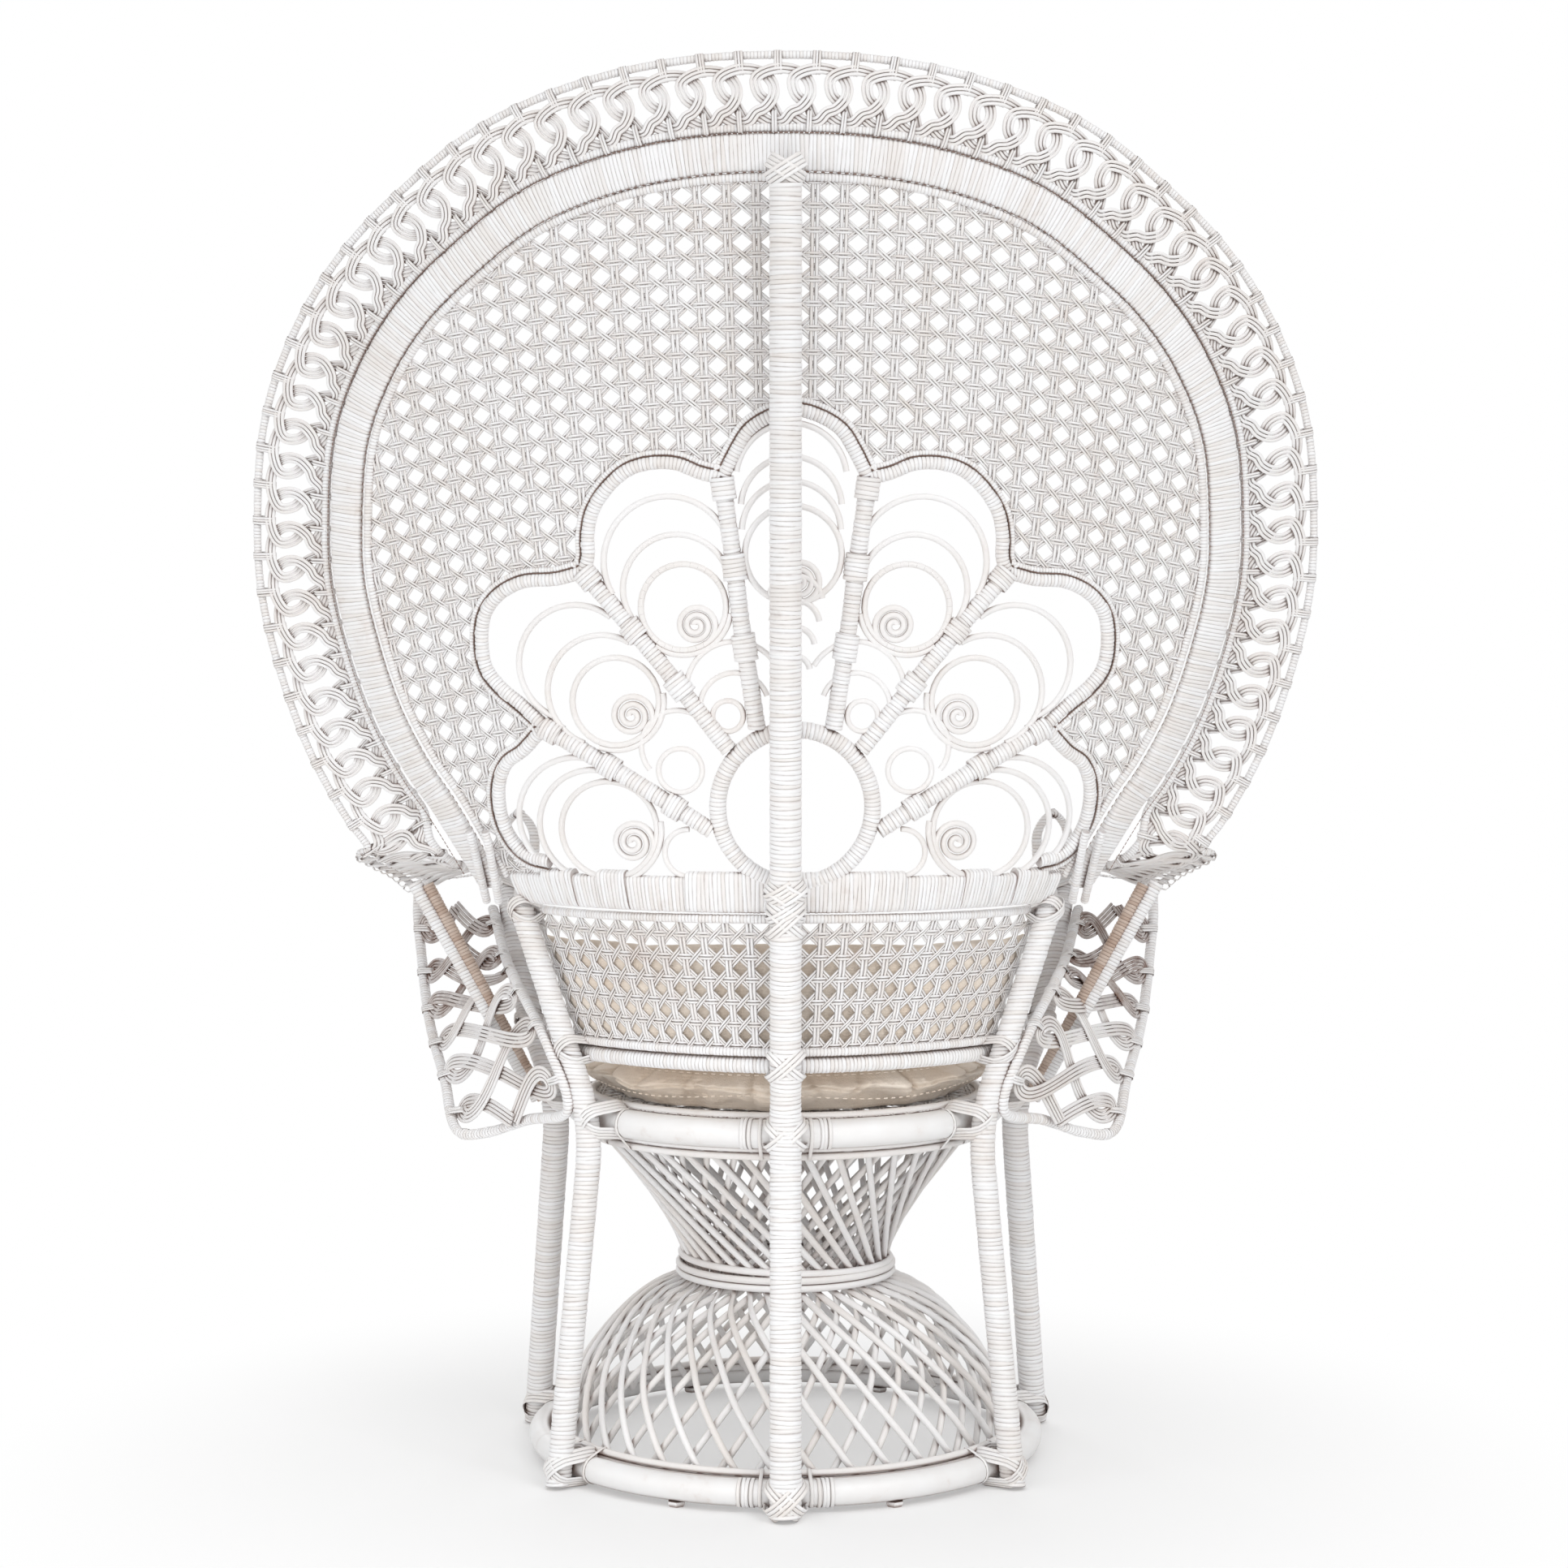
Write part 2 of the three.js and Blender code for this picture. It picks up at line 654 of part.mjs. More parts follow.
const hoopOffset = bandWidth / 2 + fitGap + thinHoopRadius;
const fringeStart = hoopOffset + thinHoopRadius + 2 * fitGap;
const rimOffset = fringeStart + fringeWidth + chordAllowance + rimRadius;

// The band and its hoops share their stations, and the fringe turns forward at the second one
const fanSteps = 40;
const armTurnShare = 2 / fanSteps;

// Arm rails from the fan forward: shares of half width, reach and height
const armInnerShares = [[0.885, -0.52, 1.06], [0.835, -0.38, 1.02], [0.8, -0.12, 1.01],
  [0.775, 0.2, 1.005], [0.755, 0.58, 1.005], [0.742, 0.97, 1.005]];
const armOuterShares = [[1.075, -0.33, 1.035], [1.055, -0.04, 1.01], [1.035, 0.3, 0.99],
  [1.02, 0.65, 0.965], [1.01, 0.95, 0.94]];

function armPoint([out, reach, up], side) {
  return new THREE.Vector3(side * out * armHalfWidth, -reach * armReach, up * armHeight);
}

// From the fan to the front of an arm, starting at a point beside the band
function armRail(start, shares, side) {
  return new THREE.CatmullRomCurve3(
    [start, ...shares.map((share) => armPoint(share, side))], false, 'centripetal');
}

function armStart(offset, side) {
  return besideBand(offset, side > 0 ? armTurnShare : 1 - armTurnShare);
}

// A hoop that runs over both arms and round the fan
function fanAndArmHoop(offset, shares, radius) {
  const arm = (side) => smoothPath(armRail(armStart(offset, side), shares, side).points, 8);
  const fan = spread(fanSteps, 0, 1).slice(3, -3)
    .map((share) => besideBand(offset, share));
  return rod([...arm(1).reverse(), ...fan, ...arm(-1)], radius, 5);
}

function shifted(shares, distance) {
  return shares.map(([out, reach, up]) => [out + distance / armHalfWidth, reach, up]);
}

// One opening of the fringe, in shares of a loop's cell
const loopHoleShares = [[0.22, 0.2], [0.78, 0.2], [0.78, 0.8], [0.22, 0.8]];

function fanFringe() {
  const end = armTurnShare + jointGap / bandLine.getLength();
  const surface = (u, v) => {
    const share = end + u * (1 - 2 * end);
    return besideBand(fringeStart, share).lerp(besideBand(fringeStart + fringeWidth, share), v);
  };
  return evenSheet(surface, fringeLoopCount, 1, fringeThickness, loopHoleShares);
}

function armFringe(side) {
  const inner = armRail(armStart(fringeStart + chordAllowance, side),
    shifted(armInnerShares, thinHoopRadius + chordAllowance), side);
  const outer = armRail(armStart(fringeStart + fringeWidth - chordAllowance, side),
    shifted(armOuterShares, -rimRadius - 2 * chordAllowance), side);
  const [start, end] = [jointGap / inner.getLength(), 1 - rollClearance / inner.getLength()];
  const surface = (u, v) => {
    const share = start + u * (end - start);
    return inner.getPointAt(share).lerp(outer.getPointAt(share), v);
  };
  return evenSheet(surface, armLoopCount, 1, fringeThickness, loopHoleShares);
}

// The wide band, flat on the fan
function fanBand() {
  const surface = (u, v) => besideBand((2 * v - 1) * bandWidth / 2, u);
  return trimmed(evenSheet(surface, fanSteps, 1, bandThickness),
    [fanAndArmHoop(hoopOffset, armInnerShares, thinHoopRadius + fitGap)]);
}

function fanInnerHoop(radius) {
  return rod(spread(fanSteps, 0, 1).map((share) => besideBand(-hoopOffset, share)), radius, 5);
}

function waistBand() {
  const foot = barrelHoopHeight + thinHoopRadius + fitGap;
  const surface = (u, v) => onFan((2 * u - 1) * waistBandSpan, foot + v * waistBandHeight);
  return trimmed(evenSheet(surface, 20, 1, bandThickness), [fanInnerHoop(thinHoopRadius + fitGap)]);
}

// Flower: points are shares of its half width, and of its rise above the middle of its ring

function onFlower([out, up], side) {
  return onFan(flowerAxis + side * out * flowerHalfWidth, flowerBaseHeight + up * flowerRise);
}

const petalShares = {
  upper: [[0.228, 0.832], [0.294, 0.845], [0.366, 0.868], [0.45, 0.87], [0.525, 0.852],
    [0.594, 0.803], [0.637, 0.747], [0.652, 0.686], [0.652, 0.633], [0.666, 0.6]],
  side: [[0.666, 0.6], [0.75, 0.583], [0.856, 0.577], [0.937, 0.545], [0.985, 0.496],
    [1, 0.423], [0.985, 0.35], [0.94, 0.302], [0.87, 0.255], [0.8, 0.204]],
  lower: [[0.8, 0.204], [0.87, 0.144], [0.925, 0.112], [0.955, 0.06], [0.96, 0],
    [0.945, -0.06], [0.905, -0.115], [0.855, -0.145]],
};
const topPetalShares = [[0.228, 0.832], [0.186, 0.9], [0.144, 0.951], [0.07, 0.987], [0, 1]];

const spokeShares = {
  top: [[0.228, 0.832], [0.189, 0.603], [0.171, 0.482], [0.117, 0.195]],
  upper: [[0.666, 0.6], [0.456, 0.4], [0.245, 0.172]],
  side: [[0.8, 0.204], [0.459, 0.039], [0.246, -0.058]],
};
const archLandingShare = 0.79;

function archPath(petal, side) {
  if (petal === 'top') {
    const left = topPetalShares.map((share) => onFlower(share, 1));
    const right = topPetalShares.slice(0, -1).reverse().map((share) => onFlower(share, -1));
    return smoothPath([...left, ...right], 10);
  }
  const path = petalShares[petal].map((share) => onFlower(share, side));
  if (petal === 'lower') {
    const landing = flowerAxis + side * archLandingShare * flowerHalfWidth;
    path.push(onFan(landing, waistBandTop + archRadius + fitGap));
  }
  return smoothPath(path, 8);
}

// The middle line of a spoke starts clear of the ring round the flower's middle
function spokePath(spoke, side) {
  const centre = onFan(flowerAxis, flowerBaseHeight);
  const points = spokeShares[spoke].map((share) => onFlower(share, side));
  const last = points[points.length - 1];
  const direction = last.clone().sub(centre).setY(0).normalize();
  const reach = centreRingRadius + centreTubeRadius + fitGap;
  const start = centre.clone().addScaledVector(direction, reach);
  return [...points.slice(0, -1), onFan(start.x, start.z)];
}

function centreRing(radius) {
  const stations = spread(16, 0, 2 * Math.PI).map((angle) => onFan(
    flowerAxis + centreRingRadius * Math.sin(angle),
    flowerBaseHeight - centreRingRadius * Math.cos(angle)));
  return rod(stations, radius, 6);
}

function waistBandCutter() {
  const foot = barrelHoopHeight + thinHoopRadius;
  const surface = (u, v) => onFan((2 * u - 1) * waistBandSpan, foot + v * (waistBandHeight + 2 * fitGap));
  return evenSheet(surface, 20, 1, bandThickness + 2 * fitGap);
}

const petalNames = [['top', 1, 'top'], ['upper', 1, 'upper_left'], ['upper', -1, 'upper_right'],
  ['side', 1, 'side_left'], ['side', -1, 'side_right'], ['lower', 1, 'lower_left'],
  ['lower', -1, 'lower_right']];

const spokeNames = ['top', 'upper', 'side'].flatMap((spoke) => [
  [spoke, 1, `${spoke}_left`], [spoke, -1, `${spoke}_right`]]);

// Lengthens a path at both ends, so that a rod along it also cuts clear of the rod's ends
function lengthened(path) {
  const beyond = (end, next) => end.clone().add(end.clone().sub(next).setLength(fitGap));
  const last = path.length - 1;
  return [beyond(path[0], path[1]), ...path.slice(1, -1), beyond(path[last], path[last - 1])];
}

function spokeCutters() {
  return spokeNames.map(([spoke, side]) => (
    rod(lengthened(spokePath(spoke, side)), spokeRadius + fitGap, 6)));
}

function archCutter(petal, side) {
  return rod(lengthened(archPath(petal, side)), archRadius + fitGap, 6);
}

function buildFlowerFrame() {
  const ring = centreRing(centreTubeRadius);
  addPiece('centre_ring', trimmed(ring, [waistBandCutter()]), washedRattan);
  const ringCutter = centreRing(centreTubeRadius + fitGap);
  for (const [spoke, side, name] of spokeNames) {
    const pole = rod(spokePath(spoke, side), spokeRadius, 6);
    addPiece(`spoke_${name}`, trimmed(pole, [ringCutter]), washedRattan);
  }
  const cutters = [...spokeCutters(), waistBandCutter(), fanInnerHoop(thinHoopRadius + fitGap)];
  for (const [petal, side, name] of petalNames) {
    const arch = rod(archPath(petal, side), archRadius, 6);
    addPiece(`petal_arch_${name}`, trimmed(arch, cutters), washedRattan);
    cutters.push(archCutter(petal, side));
  }
}

// Bare-rod scrolls in the petals. Circles are [out, up, radius] as shares of the flower's half
// width, rise and half width, arcs run between two angles in degrees, from outward towards up,
// and each scroll is bound along a spoke: its name, the side it lies on, and shares of its length
const scrollShares = {
  upper: {
    arcs: [[0.396, 0.62, 0.2, 136, -20], [0.369, 0.552, 0.168, 142, -16]],
    loop: [0.345, 0.508, 0.128, 205],
    eye: [0.309, 0.463, 0.058],
    bound: ['upper', 1, 0.06, 0.42],
  },
  side: {
    arcs: [[0.69, 0.365, 0.183, 118, -62], [0.607, 0.294, 0.175, 112, -56]],
    loop: [0.565, 0.268, 0.137, 200],
    eye: [0.513, 0.231, 0.058],
    bound: ['side', 1, 0, 0.32],
  },
  lower: {
    arcs: [[0.694, -0.034, 0.19, 96, -40], [0.64, -0.053, 0.172, 100, -50]],
    loop: [0.59, -0.05, 0.148, 225],
    eye: [0.52, -0.088, 0.058],
    bound: ['side', -1, 0.17, 0.52],
  },
  top: {
    arcs: [[0.012, 0.825, 0.165, 180, 0], [0.012, 0.754, 0.155, 180, 0]],
    loop: [0.006, 0.667, 0.146, 170],
    eye: [-0.012, 0.6, 0.055],
    bound: ['top', 1, 0.01, 0.32],
  },
};
const eyeTurns = 1.5;
const eyeCoreShare = 0.25;

function circlePoint([out, up, radius], angle, side) {
  const x = out * flowerHalfWidth + radius * flowerHalfWidth * Math.cos(angle);
  const z = flowerBaseHeight + up * flowerRise + radius * flowerHalfWidth * Math.sin(angle);
  return onFan(flowerAxis + side * x, z);
}

function scrollArc([out, up, radius, from, to], side) {
  return spread(5, radians(from), radians(to))
    .map((angle) => circlePoint([out, up, radius], angle, side));
}

// The loop runs round to where its eye touches it from inside, and winds up in the eye
function scrollLoop({ loop, eye }, side) {
  const [out, up, radius, from] = loop;
  const rise = (eye[1] - up) * flowerRise / flowerHalfWidth;
  const touch = Math.atan2(rise, eye[0] - out);
  const round = spread(7, radians(from), touch)
    .map((angle) => circlePoint([out, up, radius], angle, side));
  const start = radius - Math.hypot(eye[0] - out, rise);
  const winding = spread(6 * eyeTurns, 0, 1).slice(1).map((share) => {
    const tight = start * (1 - share * (1 - eyeCoreShare));
    return circlePoint([eye[0], eye[1], tight], touch - share * eyeTurns * 2 * Math.PI, side);
  });
  return [...round, ...winding];
}

// The end of a scroll lies along a spoke, under its wrapping
function scrollBinding([spoke, above, from, to], side) {
  const path = new THREE.CurvePath();
  const points = spokePath(spoke, side);
  points.slice(1).forEach((point, index) => path.add(new THREE.LineCurve3(points[index], point)));
  const distance = spokeRadius + scrollRodRadius + fitGap;
  return spread(2, from, to).map((share) => {
    const tangent = path.getTangentAt(share);
    const away = new THREE.Vector3(-tangent.z, 0, tangent.x).normalize();
    const place = path.getPointAt(share).addScaledVector(away, -side * above * distance);
    return onFan(place.x, place.z);
  });
}

function buildScrolls() {
  const spokes = spokeCutters();
  for (const [petal, side, name] of petalNames) {
    const shares = scrollShares[petal];
    const rods = shares.arcs.map((arc) => rod(scrollArc(arc, side), scrollRodRadius, 4));
    rods.push(rod(scrollLoop(shares, side), scrollRodRadius, 4));
    rods.push(rod(scrollBinding(shares.bound, side), scrollRodRadius, 4));
    const cutters = [...spokes, archCutter(petal, side), waistBandCutter()];
    addPiece(`petal_scrolls_${name}`, trimmed(joined(rods), cutters), bareRattan);
  }
}

// A prism through the whole depth of the fan, over an outline of points on it
function prismOver(outline) {
  const depthMargin = fanBowl + lowerBowl + topPostDepth;
  const shape = new THREE.Shape(outline.map((point) => new THREE.Vector2(point.x, point.z)));
  const prism = new THREE.ExtrudeGeometry(shape, { depth: 2 * depthMargin, bevelEnabled: false, steps: 1 });
  return prism.rotateX(Math.PI / 2).translate(0, depthMargin, 0);
}

// Outline of the flower along the middles of its arches, closed below the waist band's top
function flowerOutline() {
  const half = (side) => ['lower', 'side', 'upper'].flatMap((petal) => (
    archPath(petal, side).reverse().slice(0, -1)));
  const foot = (side) => onFan(flowerAxis + side * archLandingShare * flowerHalfWidth, barrelHoopHeight);
  return [foot(1), ...half(1), ...archPath('top', 1), ...half(-1).reverse(), foot(-1)];
}

// Webbing of the fan, between the inner hoop and the flower
function fanWebbing() {
  const edge = hoopOffset + thinHoopRadius + fitGap;
  const outline = spread(fanSteps, 0, 1).map((share) => besideBand(-edge, share));
  const low = fanCentreHeight - fanDrop - bandWidth;
  const high = fanCentreHeight + fanRise;
  const surface = (u, v) => onFan((2 * u - 1) * fanHalfWidth, low + v * (high - low));
  const slab = toSolid(evenSheet(surface, 12, 3, webbingThickness));
  const cut = toGeometry(slab.intersect(toSolid(prismOver(outline))));
  const arches = petalNames.map(([petal, side]) => archCutter(petal, side));
  return trimmed(cut, [prismOver(flowerOutline()), ...arches, waistBandCutter()]);
}

function buildFan() {
  addPiece('waist_band', waistBand(), washedRattan);
  addPiece('fan_band', fanBand(), washedRattan);
  addPiece('fan_inner_hoop', fanInnerHoop(thinHoopRadius), washedRattan);
  addPiece('fan_outer_hoop', fanAndArmHoop(hoopOffset, armInnerShares, thinHoopRadius), washedRattan);
  addPiece('rim_hoop', fanAndArmHoop(rimOffset, armOuterShares, rimRadius), washedRattan);
  addPiece('fan_fringe', fanFringe(), bareRattan);
  addPiece('fan_webbing', fanWebbing(), caneStrip);
}

// Arms and their aprons

// The hoop starts at the roll on top of the arm's front, runs down and back to the rear leg, up
// along it, and forward again to the front leg
const rollShares = [[0.69, 0.9, 1.0], [0.692, 0.905, 1.05], [0.73, 0.93, 1.083], [0.77, 0.97, 1.06],
  [0.8, 1.02, 0.985]];
const apronFrontShares = [[1.005, 1.02, 0.945], [1.013, 0.978, 0.912], [0.993, 0.826, 0.82],
  [0.949, 0.478, 0.714], [0.886, 0.087, 0.631], [0.832, -0.217, 0.555]];
const apronFootShares = [[0.754, -0.326, 0.56], [0.646, -0.457, 0.588]];
const apronInnerShares = [[0.737, 0.26, 0.84], [0.68, -0.26, 0.809]];
const apronPostShare = 0.935;

const knotHoleShares = [[0.5, 0.14], [0.86, 0.5], [0.5, 0.86], [0.14, 0.5]];

// The middle of the hoop where it lies against the outer side of a leg
function besideLeg(stations, legRadius, side, height) {
  const outside = legRadius + apronHoopRadius - facetAllowance;
  return legCentre(stations, height).add(new THREE.Vector3(side * outside, 0, 0));
}

// The apron's inner edge, from the front leg back and down to the foot of the rear leg
function apronInnerPoints(side) {
  const rear = (height) => besideLeg(rearLegStations(side), rearLegRadius, side, height);
  return [
    besideLeg(frontLegStations(side), frontLegRadius, side, apronPostShare * frontPostHeight),
    ...apronInnerShares.map((share) => armPoint(share, side)),
    rear(hemHeight + hemHoopRadius),
    rear(seatHeight + seatPoleRadius),
  ];
}

function apronHoopPath(side) {
  const outer = [...rollShares, ...apronFrontShares, ...apronFootShares];
  return smoothPath(outer.map((share) => armPoint(share, side))
    .concat(apronInnerPoints(side).reverse()), 20);
}

function legCutters(side) {
  return [
    rod(rearLegStations(side), rearLegRadius + fitGap, 12),
    rod(frontLegStations(side), frontLegRadius + fitGap, 12),
  ];
}

function apronPanel(side) {
  const front = new THREE.CatmullRomCurve3(
    apronFrontShares.slice(1).map((share) => armPoint(share, side)), false, 'centripetal');
  const rear = new THREE.CatmullRomCurve3(apronInnerPoints(side), false, 'centripetal');
  const panel = evenSheet(ruled(front, rear), apronKnotCount, 1, apronThickness, knotHoleShares);
  return trimmed(panel, [
    rod(lengthened(apronHoopPath(side)), apronHoopRadius + fitGap, 5),
    ...legCutters(side),
    ...armBraceRods(side, fitGap),
  ]);
}

// Direction from the front leg to the foot of the two poles that hold an arm up, outward and to
// the rear, and the poles' heads as places on the arm
const braceFootShares = [0.85, 0.56];
const braceHeadShares = [0.94, -0.3, 0.985];
const strutHeadShares = [0.96, 0.62, 0.94];

function armBraceRods(side, allowance = 0) {
  const reach = frontLegRadius + bracePoleRadius + 2 * fitGap;
  const [outward, rearward] = braceFootShares;
  const foot = legCentre(frontLegStations(side), seatHeight)
    .add(new THREE.Vector3(side * outward * reach, rearward * reach, 0));
  return [
    rod([foot, armPoint(braceHeadShares, side)], bracePoleRadius + allowance, 6),
    rod([foot, armPoint(strutHeadShares, side)], strutPoleRadius + allowance, 6),
  ];
}

function buildArms() {
  for (const [side, sign] of [['left', 1], ['right', -1]]) {
    addPiece(`arm_fringe_${side}`, armFringe(sign), bareRattan);
    const hoop = rod(apronHoopPath(sign), apronHoopRadius, 5);
    addPiece(`apron_hoop_${side}`, trimmed(hoop, legCutters(sign)), washedRattan);
    addPiece(`apron_knots_${side}`, apronPanel(sign), bareRattan);
    addPiece(`arm_brace_${side}`, joined(armBraceRods(sign)), washedRattan);
  }
}

buildBase();
buildHourglass();
buildLegs();
buildSeat();
buildBarrel();
buildFan();
buildFlowerFrame();
buildScrolls();
buildArms();

// The origin is on the floor under the middle of the whole chair
const bounds = new THREE.Box3().setFromObject(chair);
chair.position.y = -(bounds.min.y + bounds.max.y) / 2;
chair.updateMatrixWorld(true);

export default chair;
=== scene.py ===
import logging
import math
from collections.abc import Callable
from dataclasses import dataclass, field
from enum import Enum

import bpy
import numpy as np
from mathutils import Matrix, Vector


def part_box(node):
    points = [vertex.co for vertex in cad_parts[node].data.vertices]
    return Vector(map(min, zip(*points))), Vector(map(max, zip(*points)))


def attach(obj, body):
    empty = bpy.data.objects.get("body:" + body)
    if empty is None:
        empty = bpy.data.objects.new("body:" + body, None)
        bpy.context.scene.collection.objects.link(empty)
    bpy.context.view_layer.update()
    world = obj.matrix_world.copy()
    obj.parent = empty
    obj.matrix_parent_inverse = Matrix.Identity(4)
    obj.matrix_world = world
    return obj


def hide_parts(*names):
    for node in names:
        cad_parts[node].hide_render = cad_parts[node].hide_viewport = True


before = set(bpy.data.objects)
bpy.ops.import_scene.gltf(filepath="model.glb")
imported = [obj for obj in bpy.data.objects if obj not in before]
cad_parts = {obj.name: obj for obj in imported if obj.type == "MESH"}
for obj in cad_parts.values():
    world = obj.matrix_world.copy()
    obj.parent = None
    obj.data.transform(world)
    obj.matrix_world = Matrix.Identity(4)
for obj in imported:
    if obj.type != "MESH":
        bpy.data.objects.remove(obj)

Array = np.ndarray
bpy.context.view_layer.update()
BASE_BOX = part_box("base_ring")
SOURCE_SHIFT = Vector((0.0, (BASE_BOX[0].y + BASE_BOX[1].y) / 2, 0.0))
LOG = logging.getLogger("peacock_chair")


class Slot(Enum):
    """Material slots of the record."""

    WRAPPED = "wrapped_rattan"
    BARE = "bare_rattan"
    WEBBING = "cane_webbing"
    COTTON = "cotton_cover"


class Side(Enum):
    """The two halves of the chair, with the sign of X on each."""

    LEFT = 1
    RIGHT = -1


# Small helpers


def srgb(text: str) -> tuple[float, float, float, float]:
    """Turns a colour written as sRGB hex into linear light.

    Args:
        text: The colour, such as "#e9e8e8".

    Returns:
        Linear red, green, blue and an alpha of one.
    """
    shares = [int(text[place:place + 2], 16) / 255 for place in (1, 3, 5)]
    linear = [share / 12.92 if share <= 0.04045 else ((share + 0.055) / 1.055) ** 2.4 for share in shares]
    return (linear[0], linear[1], linear[2], 1.0)


def add_node(tree: bpy.types.NodeTree, kind: str, links: dict | None = None, **settings: object) -> bpy.types.Node:
    """Adds one node with its settings, its values and its links.

    Args:
        tree: The tree that gets the node.
        kind: The node's type.
        links: For each input, by name or place, a value, a socket, or a node whose first output is used.
        **settings: Attributes of the node, set before its inputs.

    Returns:
        The new node.
    """
    node = tree.nodes.new(kind)
    for name, value in settings.items():
        setattr(node, name, value)
    for name, value in (links or {}).items():
        if isinstance(value, bpy.types.Node):
            value = value.outputs[0]
        if isinstance(value, bpy.types.NodeSocket):
            tree.links.new(value, node.inputs[name])
        else:
            node.inputs[name].default_value = value
    return node


def to_metres(points: Array) -> Array:
    """Turns points of the source frame, in millimetres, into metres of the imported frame."""
    return np.asarray(points, float) / 1000 + np.array(SOURCE_SHIFT)


def unit(vectors: Array) -> Array:
    """Gives each vector a length of one."""
    vectors = np.asarray(vectors, float)
    return vectors / np.maximum(np.linalg.norm(vectors, axis=-1, keepdims=True), 1e-9)


def smooth(points: Array, per_span: int = 16) -> Array:
    """Runs a centripetal spline through points.

    Args:
        points: The points, one row each.
        per_span: Steps between two of them.

    Returns:
        The points of the spline, its ends included.
    """
    points = np.asarray(points, float)
    ends = [2 * points[0] - points[1], *points, 2 * points[-1] - points[-2]]
    share = np.linspace(0, 1, per_span, endpoint=False)[:, None]
    runs = []
    for before, first, second, after in zip(ends[:-3], ends[1:-2], ends[2:-1], ends[3:]):
        middle_gap = max(np.linalg.norm(second - first) ** 0.5, 1e-4)
        gap_before = max(np.linalg.norm(first - before) ** 0.5, 1e-4)
        gap_after = max(np.linalg.norm(after - second) ** 0.5, 1e-4)
        leave = ((first - before) / gap_before - (second - before) / (gap_before + middle_gap)
                 + (second - first) / middle_gap) * middle_gap
        arrive = ((second - first) / middle_gap - (after - first) / (middle_gap + gap_after)
                  + (after - second) / gap_after) * middle_gap
        runs.append(first + leave * share + (-3 * first + 3 * second - 2 * leave - arrive) * share ** 2
                    + (2 * first - 2 * second + leave + arrive) * share ** 3)
    return np.vstack([*runs, points[-1:]])


def rounded(stations: Array, reach: float = 50.0) -> Array:
    """Rounds the corners of a line of straight runs, as a pole bends.

    Args:
        stations: Corners of the line.
        reach: How far from a corner its bend starts.

    Returns:
        Points of the line with a curve in place of each inner corner.
    """
    stations = np.asarray(stations, float)
    points = [stations[:1]]
    for before, corner, after in zip(stations[:-2], stations[1:-1], stations[2:]):
        first = corner + unit(before - corner) * min(reach, np.linalg.norm(before - corner) / 2.1)
        last = corner + unit(after - corner) * min(reach, np.linalg.norm(after - corner) / 2.1)
        share = np.linspace(0, 1, 9)[:, None]
        points.append(first * (1 - share) ** 2 + 2 * corner * share * (1 - share) + last * share ** 2)
    return np.vstack([*points, stations[-1:]])


class Line:
    """A line of points with places and directions by distance along it."""

    def __init__(self, points: Array) -> None:
        """Measures the line through points.

        Args:
            points: The points, one row each.
        """
        self.points = np.asarray(points, float)
        steps = np.linalg.norm(np.diff(self.points, axis=0), axis=1)
        self.marks = np.concatenate([[0.0], np.cumsum(steps)])
        self.length = float(self.marks[-1])

    def at(self, distances: Array) -> Array:
        """Returns the points at distances along the line."""
        distances = np.clip(np.asarray(distances, float), 0, self.length)
        return np.stack([np.interp(distances, self.marks, self.points[:, axis]) for axis in range(3)], axis=-1)

    def along(self, distances: Array) -> Array:
        """Finds the direction of the line.

        Args:
            distances: Places, as distances from its start.

        Returns:
            One unit vector for each place.
        """
        distances = np.asarray(distances, float)
        reach = self.length / 400
        return unit(self.at(distances + reach) - self.at(distances - reach))

    def even(self, step: float) -> Array:
        """Returns points at equal steps of about this length."""
        count = max(2, int(round(self.length / step)) + 1)
        return self.at(np.linspace(0, self.length, count))


@dataclass
class Route:
    """A path that a rod, a strip or a wrapped pole follows, in millimetres of the source frame."""

    points: Array
    up: Array
    closed: bool = False
    tone: float = 0.5
    shade: Array | float = 0.0
    swell: Array | float = 1.0


def random_tones(count: int, seed: int) -> Array:
    """Returns one tone from 0 to 1 for each of several strands, the same in each run."""
    return np.random.default_rng(seed).random(count)


def carrier(name: str, routes: list[Route]) -> bpy.types.Object:
    """Makes one mesh of edges that holds routes for a node tree to build on.

    Args:
        name: Name of the piece.
        routes: The paths.

    Returns:
        An object with the attributes up, tone, shade and swell on its points.
    """
    counts = [len(route.points) for route in routes]
    places = np.vstack([to_metres(route.points) for route in routes])
    ups = np.vstack([np.broadcast_to(route.up, (count, 3)) for route, count in zip(routes, counts)])
    edges, start = [], 0
    for route, count in zip(routes, counts):
        first = np.arange(start, start + count - 1)
        edges.append(np.stack([first, first + 1], axis=1))
        if route.closed:
            edges.append(np.array([[start + count - 1, start]]))
        start += count
    edge_list = np.vstack(edges)
    mesh = bpy.data.meshes.new(name)
    mesh.vertices.add(len(places))
    mesh.vertices.foreach_set("co", places.astype(np.float32).ravel())
    mesh.edges.add(len(edge_list))
    mesh.edges.foreach_set("vertices", edge_list.astype(np.int32).ravel())
    mesh.attributes.new("up", "FLOAT_VECTOR", "POINT").data.foreach_set("vector", ups.astype(np.float32).ravel())
    for key in ("tone", "shade", "swell"):
        values = np.concatenate([np.broadcast_to(getattr(route, key), (count,))
                                 for route, count in zip(routes, counts)])
        mesh.attributes.new(key, "FLOAT", "POINT").data.foreach_set("value", values.astype(np.float32))
    mesh.update()
    piece = bpy.data.objects.new(name, mesh)
    bpy.context.scene.collection.objects.link(piece)
    return piece


